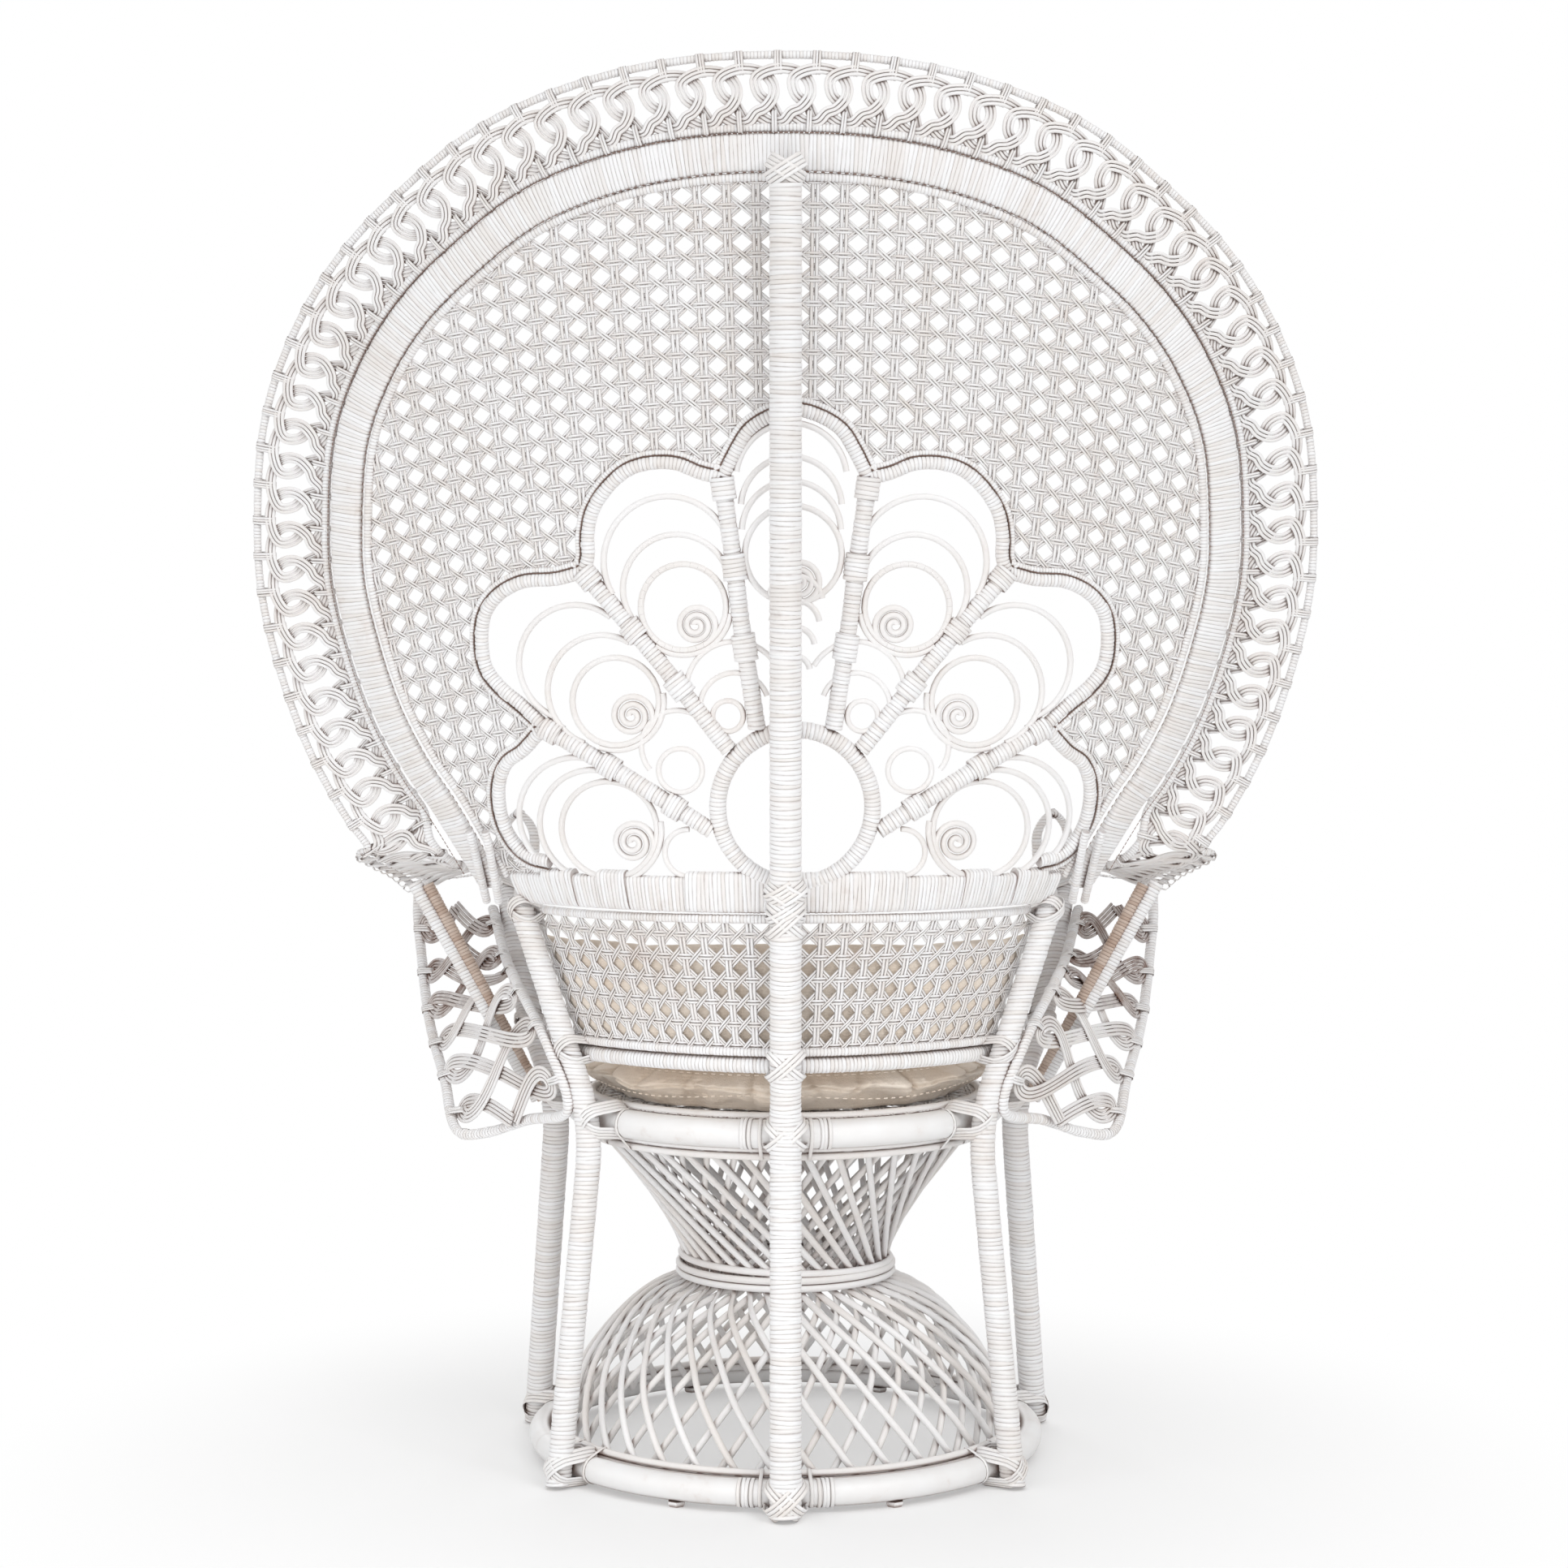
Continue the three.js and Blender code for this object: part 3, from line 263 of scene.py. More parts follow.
def grow(piece: bpy.types.Object, tree: bpy.types.NodeTree, values: dict[str, object]) -> bpy.types.Object:
    """Builds a piece with a node tree and keeps the result as its plain mesh.

    Args:
        piece: The object that holds the routes or points.
        tree: The geometry node tree.
        values: Values of the tree's inputs, by name.

    Returns:
        The same object, without the modifier.
    """
    modifier = piece.modifiers.new("build", "NODES")
    modifier.node_group = tree
    for item in tree.interface.items_tree:
        if item.item_type == "SOCKET" and item.in_out == "INPUT" and item.name in values:
            modifier[item.identifier] = values[item.name]
    piece.update_tag()
    view = bpy.context.evaluated_depsgraph_get()
    built = bpy.data.meshes.new_from_object(piece.evaluated_get(view), depsgraph=view)
    built.name = piece.name
    piece.modifiers.clear()
    carrier_mesh, piece.data = piece.data, built
    bpy.data.meshes.remove(carrier_mesh)
    return piece


def dress(piece: bpy.types.Object, slot: Slot, *nodes: str) -> bpy.types.Object:
    """Fastens a piece to the chair and says which solids it stands for.

    Args:
        piece: The finished piece.
        slot: Material slot of the record that its finish comes from; not used.
        *nodes: Names of the solids that it replaces.

    Returns:
        The piece.
    """
    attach(piece, "root")
    if nodes:
        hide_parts(*nodes)
    LOG.info("%s: %d faces, replaces %s", piece.name, len(piece.data.polygons), ", ".join(nodes) or "nothing")
    return piece


# Node trees that build rods, strips and windings


@dataclass(frozen=True)
class TreeInput:
    """One input of a node tree: its name, its socket type and its value unless a piece sets it."""

    name: str
    kind: str
    value: object = None


def new_tree(name: str, inputs: list[TreeInput]) -> tuple[bpy.types.NodeTree, bpy.types.Node]:
    """Starts a geometry node tree.

    Args:
        name: Name of the tree.
        inputs: Its inputs after the geometry.

    Returns:
        The tree and its input node.
    """
    tree = bpy.data.node_groups.new(name, "GeometryNodeTree")
    tree.interface.new_socket("Geometry", in_out="INPUT", socket_type="NodeSocketGeometry")
    tree.interface.new_socket("Geometry", in_out="OUTPUT", socket_type="NodeSocketGeometry")
    for entry in inputs:
        socket = tree.interface.new_socket(entry.name, in_out="INPUT", socket_type=entry.kind)
        if entry.value is not None:
            socket.default_value = entry.value
    return tree, add_node(tree, "NodeGroupInput")


def finish_tree(tree: bpy.types.NodeTree, group: bpy.types.Node, geometry: bpy.types.Node) -> None:
    """Ends a tree: smooth faces, instances made real, and the material set.

    Args:
        tree: The tree.
        group: Its input node, with Material.
        geometry: The node that gives the mesh.
    """
    shaded = add_node(tree, "GeometryNodeSetShadeSmooth", {"Geometry": geometry})
    real = add_node(tree, "GeometryNodeRealizeInstances", {"Geometry": shaded})
    finished = add_node(tree, "GeometryNodeSetMaterial", {"Geometry": real, "Material": group.outputs["Material"]})
    add_node(tree, "NodeGroupOutput", {"Geometry": finished})


def section_nodes(tree: bpy.types.NodeTree, group: bpy.types.Node) -> bpy.types.Node:
    """Adds the cross-section of a rod: a circle, flattened and squared as the inputs say.

    Args:
        tree: The tree.
        group: Its input node, with Sides, Half Thickness, Half Width and Squareness.

    Returns:
        The node that gives the section.
    """
    circle = add_node(tree, "GeometryNodeCurvePrimitiveCircle", {"Resolution": group.outputs["Sides"], "Radius": 1.0})
    place = add_node(tree, "ShaderNodeSeparateXYZ", {"Vector": add_node(tree, "GeometryNodeInputPosition")})
    sizes = []
    for axis, size in (("X", "Half Thickness"), ("Y", "Half Width")):
        length = add_node(tree, "ShaderNodeMath", {0: place.outputs[axis]}, operation="ABSOLUTE")
        squared = add_node(tree, "ShaderNodeMath", {0: length, 1: group.outputs["Squareness"]}, operation="POWER")
        sign = add_node(tree, "ShaderNodeMath", {0: place.outputs[axis]}, operation="SIGN")
        signed = add_node(tree, "ShaderNodeMath", {0: squared, 1: sign}, operation="MULTIPLY")
        sizes.append(add_node(tree, "ShaderNodeMath", {0: signed, 1: group.outputs[size]}, operation="MULTIPLY"))
    point = add_node(tree, "ShaderNodeCombineXYZ", {"X": sizes[0], "Y": sizes[1]})
    return add_node(tree, "GeometryNodeSetPosition", {"Geometry": circle, "Position": point})


SECTION_INPUTS = [
    TreeInput("Half Thickness", "NodeSocketFloat", 0.004),
    TreeInput("Half Width", "NodeSocketFloat", 0.004),
    TreeInput("Squareness", "NodeSocketFloat", 1.0),
    TreeInput("Sides", "NodeSocketInt", 8),
    TreeInput("Material", "NodeSocketMaterial"),
]


def rod_tree() -> bpy.types.NodeTree:
    """Builds the tree that sweeps a plain rod or a flat strip along each route.

    Returns:
        The tree. It keeps the attribute run, the distance along the route in metres.
    """
    tree, group = new_tree("rods along routes", SECTION_INPUTS)
    curve = add_node(tree, "GeometryNodeMeshToCurve", {"Mesh": group.outputs["Geometry"]})
    up = add_node(tree, "GeometryNodeInputNamedAttribute", {"Name": "up"}, data_type="FLOAT_VECTOR")
    facing = add_node(tree, "GeometryNodeSetCurveNormal", {"Curve": curve, "Normal": up}, mode="FREE")
    swell = add_node(tree, "GeometryNodeInputNamedAttribute", {"Name": "swell"}, data_type="FLOAT")
    sized = add_node(tree, "GeometryNodeSetCurveRadius", {"Curve": facing, "Radius": swell})
    parameter = add_node(tree, "GeometryNodeSplineParameter")
    marked = add_node(tree, "GeometryNodeStoreNamedAttribute", {
        "Geometry": sized, "Name": "run", "Value": parameter.outputs["Length"]}, data_type="FLOAT", domain="POINT")
    swept = add_node(tree, "GeometryNodeCurveToMesh", {
        "Curve": marked, "Profile Curve": section_nodes(tree, group), "Fill Caps": True})
    finish_tree(tree, group, swept)
    return tree


def winding_tree() -> bpy.types.NodeTree:
    """Builds the tree that wraps each route tightly with a flat strip, turn by turn.

    Each turn has four stations: the groove, the two edges of the strip, and its middle. Turns differ a
    little in height, tilt and tone.

    Returns:
        The tree. It keeps the attributes shade, which is one in a groove, and tone.
    """
    tree, group = new_tree("wound strip along routes", [
        TreeInput("Pitch", "NodeSocketFloat", 0.0042), TreeInput("Groove Depth", "NodeSocketFloat", 0.0008),
        TreeInput("Unevenness", "NodeSocketFloat", 0.0003), TreeInput("Tilt", "NodeSocketFloat", 0.05),
        TreeInput("Seed", "NodeSocketInt", 1), *SECTION_INPUTS])
    inputs = group.outputs
    curve = add_node(tree, "GeometryNodeMeshToCurve", {"Mesh": inputs["Geometry"]})
    turns = add_node(tree, "ShaderNodeMath", {
        0: add_node(tree, "GeometryNodeSplineLength"), 1: inputs["Pitch"]}, operation="DIVIDE")
    whole = add_node(tree, "ShaderNodeMath", {
        0: add_node(tree, "ShaderNodeMath", {0: turns}, operation="ROUND"), 1: 2.0}, operation="MAXIMUM")
    open_end = add_node(tree, "ShaderNodeMath", {
        0: 1.0, 1: add_node(tree, "GeometryNodeInputSplineCyclic")}, operation="SUBTRACT")
    count = add_node(tree, "ShaderNodeMath", {0: whole, 1: 4.0, 2: open_end}, operation="MULTIPLY_ADD")
    stations = add_node(tree, "GeometryNodeResampleCurve", {"Curve": curve, "Count": count}, mode="COUNT")
    up = add_node(tree, "GeometryNodeInputNamedAttribute", {"Name": "up"}, data_type="FLOAT_VECTOR")
    facing = add_node(tree, "GeometryNodeSetCurveNormal", {"Curve": stations, "Normal": up}, mode="FREE")

    place = add_node(tree, "GeometryNodeSplineParameter").outputs["Index"]
    phase = add_node(tree, "ShaderNodeMath", {0: place, 1: 4.0}, operation="MODULO")
    from_middle = add_node(tree, "ShaderNodeMath", {0: phase, 1: 2.0}, operation="SUBTRACT")
    distance = add_node(tree, "ShaderNodeMath", {0: from_middle}, operation="ABSOLUTE")
    half = add_node(tree, "ShaderNodeMath", {0: distance, 1: 0.5}, operation="MULTIPLY")
    groove = add_node(tree, "ShaderNodeMath", {0: half, 1: 2.0}, operation="POWER")
    is_edge = add_node(tree, "ShaderNodeMath", {0: distance, 1: 1.0, 2: 0.1}, operation="COMPARE")
    turn = add_node(tree, "ShaderNodeMath", {
        0: add_node(tree, "GeometryNodeInputIndex"), 1: phase}, operation="SUBTRACT")

    swell = add_node(tree, "GeometryNodeInputNamedAttribute", {"Name": "swell"}, data_type="FLOAT")
    sized = add_node(tree, "GeometryNodeSetCurveRadius", {"Curve": facing, "Radius": swell})
    chance = add_node(tree, "FunctionNodeRandomValue", {
        2: 0.0, 3: 1.0, "ID": turn, "Seed": inputs["Seed"]}, data_type="FLOAT")
    lean = add_node(tree, "FunctionNodeRandomValue", {
        0: (-1.0, -1.0, -1.0), 1: (1.0, 1.0, 1.0), "ID": turn, "Seed": inputs["Seed"]}, data_type="FLOAT_VECTOR")
    tangent = add_node(tree, "GeometryNodeInputTangent")
    kept = sized
    for name, kind, value in (
            ("shade", "FLOAT", groove), ("tone", "FLOAT", chance.outputs[1]), ("lean", "FLOAT_VECTOR", lean),
            ("middle", "FLOAT_VECTOR", add_node(tree, "GeometryNodeInputPosition")),
            ("forward", "FLOAT_VECTOR", tangent)):
        kept = add_node(tree, "GeometryNodeStoreNamedAttribute", {
            "Geometry": kept, "Name": name, "Value": value}, data_type=kind, domain="POINT")
    push = add_node(tree, "ShaderNodeMath", {0: from_middle, 1: inputs["Pitch"]}, operation="MULTIPLY")
    edge_push = add_node(tree, "ShaderNodeMath", {
        0: add_node(tree, "ShaderNodeMath", {0: push, 1: 0.15}, operation="MULTIPLY"), 1: is_edge},
        operation="MULTIPLY")
    moved = add_node(tree, "GeometryNodeSetPosition", {
        "Geometry": kept, "Offset": add_node(tree, "ShaderNodeVectorMath", {
            0: tangent, "Scale": edge_push}, operation="SCALE")})
    swept = add_node(tree, "GeometryNodeCurveToMesh", {
        "Curve": moved, "Profile Curve": section_nodes(tree, group), "Fill Caps": True})

    read = {name: add_node(tree, "GeometryNodeInputNamedAttribute", {"Name": name}, data_type=kind)
            for name, kind in (("shade", "FLOAT"), ("tone", "FLOAT"), ("lean", "FLOAT_VECTOR"),
                               ("middle", "FLOAT_VECTOR"), ("forward", "FLOAT_VECTOR"))}
    depth = add_node(tree, "ShaderNodeMath", {0: read["shade"], 1: inputs["Groove Depth"]}, operation="MULTIPLY")
    height = add_node(tree, "ShaderNodeMath", {
        0: read["tone"], 1: inputs["Unevenness"], 2: depth}, operation="MULTIPLY_ADD")
    inward = add_node(tree, "ShaderNodeMath", {0: height, 1: -1.0}, operation="MULTIPLY")
    sunk = add_node(tree, "GeometryNodeSetPosition", {
        "Geometry": swept, "Offset": add_node(tree, "ShaderNodeVectorMath", {
            0: add_node(tree, "GeometryNodeInputNormal"), "Scale": inward}, operation="SCALE")})
    arm = add_node(tree, "ShaderNodeVectorMath", {
        0: add_node(tree, "GeometryNodeInputPosition"), 1: read["middle"]}, operation="SUBTRACT")
    slant = add_node(tree, "ShaderNodeVectorMath", {0: arm, 1: read["lean"]}, operation="DOT_PRODUCT")
    amount = add_node(tree, "ShaderNodeMath", {
        0: slant.outputs["Value"], 1: inputs["Tilt"]}, operation="MULTIPLY")
    tilted = add_node(tree, "GeometryNodeSetPosition", {
        "Geometry": sunk, "Offset": add_node(tree, "ShaderNodeVectorMath", {
            0: read["forward"], "Scale": amount}, operation="SCALE")})
    finish_tree(tree, group, tilted)
    return tree


# Finishes


@dataclass(frozen=True)
class RattanFinish:
    """White-washed rattan: peeled cane brushed with thin white paint that wears off in spots.

    The eye sees a chalky, slightly uneven white with warm brown lines of painted shade in the grooves and where
    strips and rods meet. IOR and roughness are those of matt paint on wood, lower on bare rods, whose skin is smooth.
    """

    name: str
    paint: str = "#f4f4f5"
    thin_paint: str = "#ebe7e4"
    bare: str = "#b99a86"
    groove: str = "#734f3d"
    groove_strength: float = 0.52
    crevice_shade_strength: float = 0.85
    crevice_shade_reach_mm: float = 7.0
    wear: float = 0.16
    roughness: float = 0.6
    # A brush stroke's cover changes over a hand's width, and worn spots are a fingertip wide. The
    # fibres are far finer than a pixel, so they are drawn at a millimetre or more
    sheen_spread_mm: float = 90.0
    spot_mm: float = 16.0
    fibre_mm: float = 1.1
    bump: float = 0.25

    def material(self) -> bpy.types.Material:
        """Builds the node material.

        Returns:
            The material. It reads the attributes tone and shade of the pieces.
        """
        material = bpy.data.materials.new(self.name)
        material.use_nodes = True
        tree = material.node_tree
        tree.nodes.clear()
        coords = add_node(tree, "ShaderNodeTexCoord").outputs["Object"]
        tone = add_node(tree, "ShaderNodeAttribute", attribute_name="tone").outputs["Fac"]
        shade = add_node(tree, "ShaderNodeAttribute", attribute_name="shade").outputs["Fac"]
        # Paint cover drifts over a hand's width, and differs from strip to strip
        drift = add_node(tree, "ShaderNodeTexNoise", {
            "Vector": coords, "Scale": 1000 / self.sheen_spread_mm, "Detail": 3.0, "Roughness": 0.55})
        cover = add_node(tree, "ShaderNodeMath", {0: tone, 1: 0.45, 2: drift.outputs["Fac"]}, operation="MULTIPLY_ADD")
        thin = add_node(tree, "ShaderNodeMapRange", {
            "Value": cover, "From Min": 0.52, "From Max": 1.02, "To Min": 0.0, "To Max": 1.0})
        body = add_node(tree, "ShaderNodeMix", {
            "Factor": thin.outputs["Result"], 6: srgb(self.paint), 7: srgb(self.thin_paint)}, data_type="RGBA")
        # Worn spots of a few millimetres, where the cane's own colour shows through
        spots = add_node(tree, "ShaderNodeTexNoise", {
            "Vector": coords, "Scale": 1000 / self.spot_mm, "Detail": 4.0, "Roughness": 0.65})
        patch = add_node(tree, "ShaderNodeMath", {
            0: spots.outputs["Fac"], 1: drift.outputs["Fac"]}, operation="MULTIPLY")
        worn = add_node(tree, "ShaderNodeMapRange", {
            "Value": patch, "From Min": 0.33, "From Max": 0.47, "To Min": 0.0, "To Max": self.wear})
        rubbed = add_node(tree, "ShaderNodeMix", {
            "Factor": worn.outputs["Result"], 6: body.outputs[2], 7: srgb(self.bare)}, data_type="RGBA")
        # Painted shade in the grooves, a reddish brown broken up along them
        broken = add_node(tree, "ShaderNodeMapRange", {
            "Value": spots.outputs["Fac"], "From Min": 0.35, "From Max": 0.65, "To Min": 0.35, "To Max": 1.0})
        sharp = add_node(tree, "ShaderNodeMath", {0: shade, 1: 1.6}, operation="POWER")
        depth = add_node(tree, "ShaderNodeMath", {0: sharp, 1: broken.outputs["Result"]}, operation="MULTIPLY")
        # The same painted shade wherever two rods or strips touch, found by how little light reaches the spot
        open_sky = add_node(tree, "ShaderNodeAmbientOcclusion", {"Distance": self.crevice_shade_reach_mm / 1000},
                            samples=4)
        hidden = add_node(tree, "ShaderNodeMapRange", {
            "Value": open_sky.outputs["AO"], "From Min": 0.75, "From Max": 0.05, "To Max": self.crevice_shade_strength})
        strength = add_node(tree, "ShaderNodeMath", {
            0: depth, 1: self.groove_strength, 2: hidden.outputs["Result"]}, operation="MULTIPLY_ADD",
            use_clamp=True)
        colour = add_node(tree, "ShaderNodeMix", {
            "Factor": strength, 6: rubbed.outputs[2], 7: srgb(self.groove)}, data_type="RGBA")
        fibre = add_node(tree, "ShaderNodeTexNoise", {
            "Vector": coords, "Scale": 1000 / self.fibre_mm, "Detail": 2.0})
        relief = add_node(tree, "ShaderNodeBump", {
            "Strength": self.bump, "Distance": 0.0004, "Height": fibre.outputs["Fac"]})
        gloss = add_node(tree, "ShaderNodeMapRange", {
            "Value": drift.outputs["Fac"], "To Min": self.roughness - 0.08, "To Max": self.roughness + 0.1})
        shader = add_node(tree, "ShaderNodeBsdfPrincipled", {
            "Base Color": colour.outputs[2], "Roughness": gloss.outputs["Result"], "Normal": relief, "IOR": 1.5})
        add_node(tree, "ShaderNodeOutputMaterial", {"Surface": shader})
        return material


@dataclass(frozen=True)
class CottonFinish:
    """Unbleached cotton canvas: a plain weave of cream yarns with slubs and soft dark flecks.

    The eye sees a dull, warm cloth with no gloss, soft folds, and creases at seams and tufts darkened with painted
    shade.
    """

    name: str
    yarn: str = "#eadfd2"
    warm_yarn: str = "#d9c8b6"
    fleck_and_crease_shade: str = "#b9a794"
    # A real yarn is 0.5 mm; it is drawn at 1.6 mm so that the weave shows in the render
    yarn_mm: float = 1.6
    drift_mm: float = 70.0
    slub_mm: float = 2.4
    wrinkle_mm: float = 26.0
    roughness: float = 0.95

    def material(self) -> bpy.types.Material:
        """Builds the node material.

        Returns:
            The material. It reads the attribute shade, which is one inside seams and tufts.
        """
        material = bpy.data.materials.new(self.name)
        material.use_nodes = True
        tree = material.node_tree
        tree.nodes.clear()
        coords = add_node(tree, "ShaderNodeTexCoord").outputs["Object"]
        shade = add_node(tree, "ShaderNodeAttribute", attribute_name="shade").outputs["Fac"]
        turned = add_node(tree, "ShaderNodeMapping", {"Vector": coords, "Rotation": (0.0, 0.0, 0.6)})
        yarns = [add_node(tree, "ShaderNodeTexWave", {
            "Vector": turned, "Scale": 1000 / self.yarn_mm / 20 * math.pi, "Distortion": 1.2, "Detail": 2.0,
            "Detail Scale": 3.0}, bands_direction=direction) for direction in ("X", "Y")]
        upright = add_node(tree, "ShaderNodeTexWave", {
            "Vector": turned, "Scale": 1000 / self.yarn_mm / 20 * math.pi, "Distortion": 1.2}, bands_direction="Z")
        weave = add_node(tree, "ShaderNodeMath", {
            0: add_node(tree, "ShaderNodeMath", {0: yarns[0], 1: yarns[1]}, operation="MULTIPLY"),
            1: upright}, operation="ADD")
        drift = add_node(tree, "ShaderNodeTexNoise", {
            "Vector": coords, "Scale": 1000 / self.drift_mm, "Detail": 4.0})
        slub = add_node(tree, "ShaderNodeTexNoise", {
            "Vector": turned, "Scale": 1000 / self.slub_mm, "Detail": 3.0})
        mixed = add_node(tree, "ShaderNodeMapRange", {
            "Value": drift.outputs["Fac"], "From Min": 0.35, "From Max": 0.7})
        body = add_node(tree, "ShaderNodeMix", {
            "Factor": mixed.outputs["Result"], 6: srgb(self.yarn), 7: srgb(self.warm_yarn)}, data_type="RGBA")
        flecks = add_node(tree, "ShaderNodeMapRange", {
            "Value": slub.outputs["Fac"], "From Min": 0.6, "From Max": 0.75, "To Max": 0.45})
        flecked = add_node(tree, "ShaderNodeMix", {
            "Factor": flecks.outputs["Result"], 6: body.outputs[2], 7: srgb(self.fleck_and_crease_shade)}, data_type="RGBA")
        # Painted shade in seams, pleats and tufts, in the colour of the flecks
        crease = add_node(tree, "ShaderNodeMath", {0: shade, 1: 0.7}, operation="MULTIPLY", use_clamp=True)
        colour = add_node(tree, "ShaderNodeMix", {
            "Factor": crease, 6: flecked.outputs[2], 7: srgb(self.fleck_and_crease_shade)}, data_type="RGBA")
        relief = add_node(tree, "ShaderNodeBump", {"Strength": 0.35, "Distance": 0.0006, "Height": weave})
        wrinkle = add_node(tree, "ShaderNodeTexNoise", {
            "Vector": coords, "Scale": 1000 / self.wrinkle_mm, "Detail": 3.0})
        soft = add_node(tree, "ShaderNodeBump", {
            "Strength": 0.35, "Distance": 0.004, "Height": wrinkle.outputs["Fac"], "Normal": relief})
        shader = add_node(tree, "ShaderNodeBsdfPrincipled", {
            "Base Color": colour.outputs[2], "Roughness": self.roughness, "Normal": soft,
            "Sheen Weight": 0.15, "Sheen Roughness": 0.6})
        add_node(tree, "ShaderNodeOutputMaterial", {"Surface": shader})
        return material


@dataclass
class Workshop:
    """The trees and materials that every sub-assembly uses, made once."""

    rods: bpy.types.NodeTree = field(default_factory=rod_tree)
    windings: bpy.types.NodeTree = field(default_factory=winding_tree)
    # Chalky white strips, each a little different, with fine brown lines of painted shade between the turns
    wrapped: bpy.types.Material = field(default_factory=lambda: RattanFinish("wrapped cane").material())
    # Thin rods with a faint gloss, a warmer white than the strips, with brown painted shade where they cross
    bare: bpy.types.Material = field(default_factory=lambda: RattanFinish(
        "bare rattan rods", paint="#f1f0f0", thin_paint="#e8e3df", roughness=0.48, groove_strength=0.6,
        crevice_shade_strength=1.0, crevice_shade_reach_mm=10.0, wear=0.12,
        fibre_mm=2.5, bump=0.12).material())
    # Thick poles, the smoothest and whitest surfaces, with soft highlights and faint joints
    pole: bpy.types.Material = field(default_factory=lambda: RattanFinish(
        "bare rattan poles", paint="#f2f2f2", thin_paint="#e9e6e4", roughness=0.42, groove_strength=0.6,
        crevice_shade_strength=1.0, crevice_shade_reach_mm=12.0, wear=0.2,
        sheen_spread_mm=60.0, fibre_mm=5.0, bump=0.1).material())
    # Struts that lie in shade, drawn in a darker tan copy of the painted cane: painted shade
    painted_shade: bpy.types.Material = field(default_factory=lambda: RattanFinish(
        "barely painted cane", paint="#cdbbae", thin_paint="#b39a89", bare="#9c7d69", groove_strength=0.6,
        wear=0.5).material())
    # Flat strips of webbing and lashings, off-white with brown edges of painted shade
    strip: bpy.types.Material = field(default_factory=lambda: RattanFinish(
        "cane strips", paint="#f3f2f2", thin_paint="#e9e4e0", groove_strength=0.5, crevice_shade_reach_mm=4.0, wear=0.2,
        roughness=0.6, fibre_mm=1.4).material())
    # Thin dark strip of painted shade that draws a line in the gaps beside the bands and arches
    thread: bpy.types.Material = field(default_factory=lambda: RattanFinish(
        "brown binding thread", paint="#94796c", thin_paint="#6b5348", bare="#5d463b", groove="#3f2f28",
        roughness=0.8).material())
    # Warm cream cloth without gloss
    cotton: bpy.types.Material = field(default_factory=lambda: CottonFinish("cream cotton canvas").material())

    def wind(self, name: str, routes: list[Route], radius: float, slot: Slot = Slot.WRAPPED,
             nodes: tuple[str, ...] = (), width: float | None = None, pitch: float = 4.2, groove: float = 0.9,
             sides: int = 12, squareness: float = 1.0, tilt: float = 0.06, seed: int = 1,
             uneven: float = 0.35, material: bpy.types.Material | None = None) -> bpy.types.Object:
        """Makes a wrapped pole or band.

        Args:
            name: Name of the piece.
            routes: Its middle lines.
            radius: Half of its thickness, in millimetres.
            slot: Material slot.
            nodes: Solids that it replaces.
            width: Half of its width, where it isn't round.
            pitch: Width of the wound strip.
            groove: Depth between two turns.
            sides: Corners of the section.
            squareness: One for an ellipse, and less for flatter sides.
            tilt: How far turns lean.
            seed: Seed of the differences between turns.
            uneven: Difference in height between turns.
            material: The finish, where it isn't the painted cane.

        Returns:
            The piece.
        """
        piece = grow(carrier(name, routes), self.windings, {
            "Pitch": pitch / 1000, "Groove Depth": groove / 1000, "Unevenness": uneven / 1000, "Tilt": tilt,
            "Seed": seed, "Half Thickness": radius / 1000, "Half Width": (width or radius) / 1000,
            "Squareness": squareness, "Sides": sides, "Material": material or self.wrapped})
        return dress(piece, slot, *nodes)

    def sweep(self, name: str, routes: list[Route], half_thickness: float, material: bpy.types.Material,
              slot: Slot, nodes: tuple[str, ...] = (), half_width: float | None = None, sides: int = 8,
              squareness: float = 1.0) -> bpy.types.Object:
        """Makes plain rods or flat strips.

        Args:
            name: Name of the piece.
            routes: Their middle lines.
            half_thickness: Half of the thickness, in millimetres.
            material: The finish.
            slot: Material slot.
            nodes: Solids that the piece replaces.
            half_width: Half of the width, where it isn't round.
            sides: Corners of the section.
            squareness: One for an ellipse, and less for flatter sides.

        Returns:
            The piece.
        """
        piece = grow(carrier(name, routes), self.rods, {
            "Half Thickness": half_thickness / 1000, "Half Width": (half_width or half_thickness) / 1000,
            "Squareness": squareness, "Sides": sides, "Material": material})
        return dress(piece, slot, *nodes)


# Ties and lashings of flat strip


def hull(points: Array) -> Array:
    """Finds the convex outline round flat points.

    Args:
        points: The points, one row each.

    Returns:
        Its corners, counter-clockwise.
    """
    ordered = sorted(map(tuple, points))
    sides = []
    for run in (ordered, ordered[::-1]):
        chain: list[tuple[float, float]] = []
        for x, y in run:
            while len(chain) > 1:
                (ax, ay), (bx, by) = chain[-2:]
                if (bx - ax) * (y - ay) - (by - ay) * (x - ax) > 1e-9:
                    break
                chain.pop()
            chain.append((x, y))
        sides += chain[:-1]
    return np.array(sides)


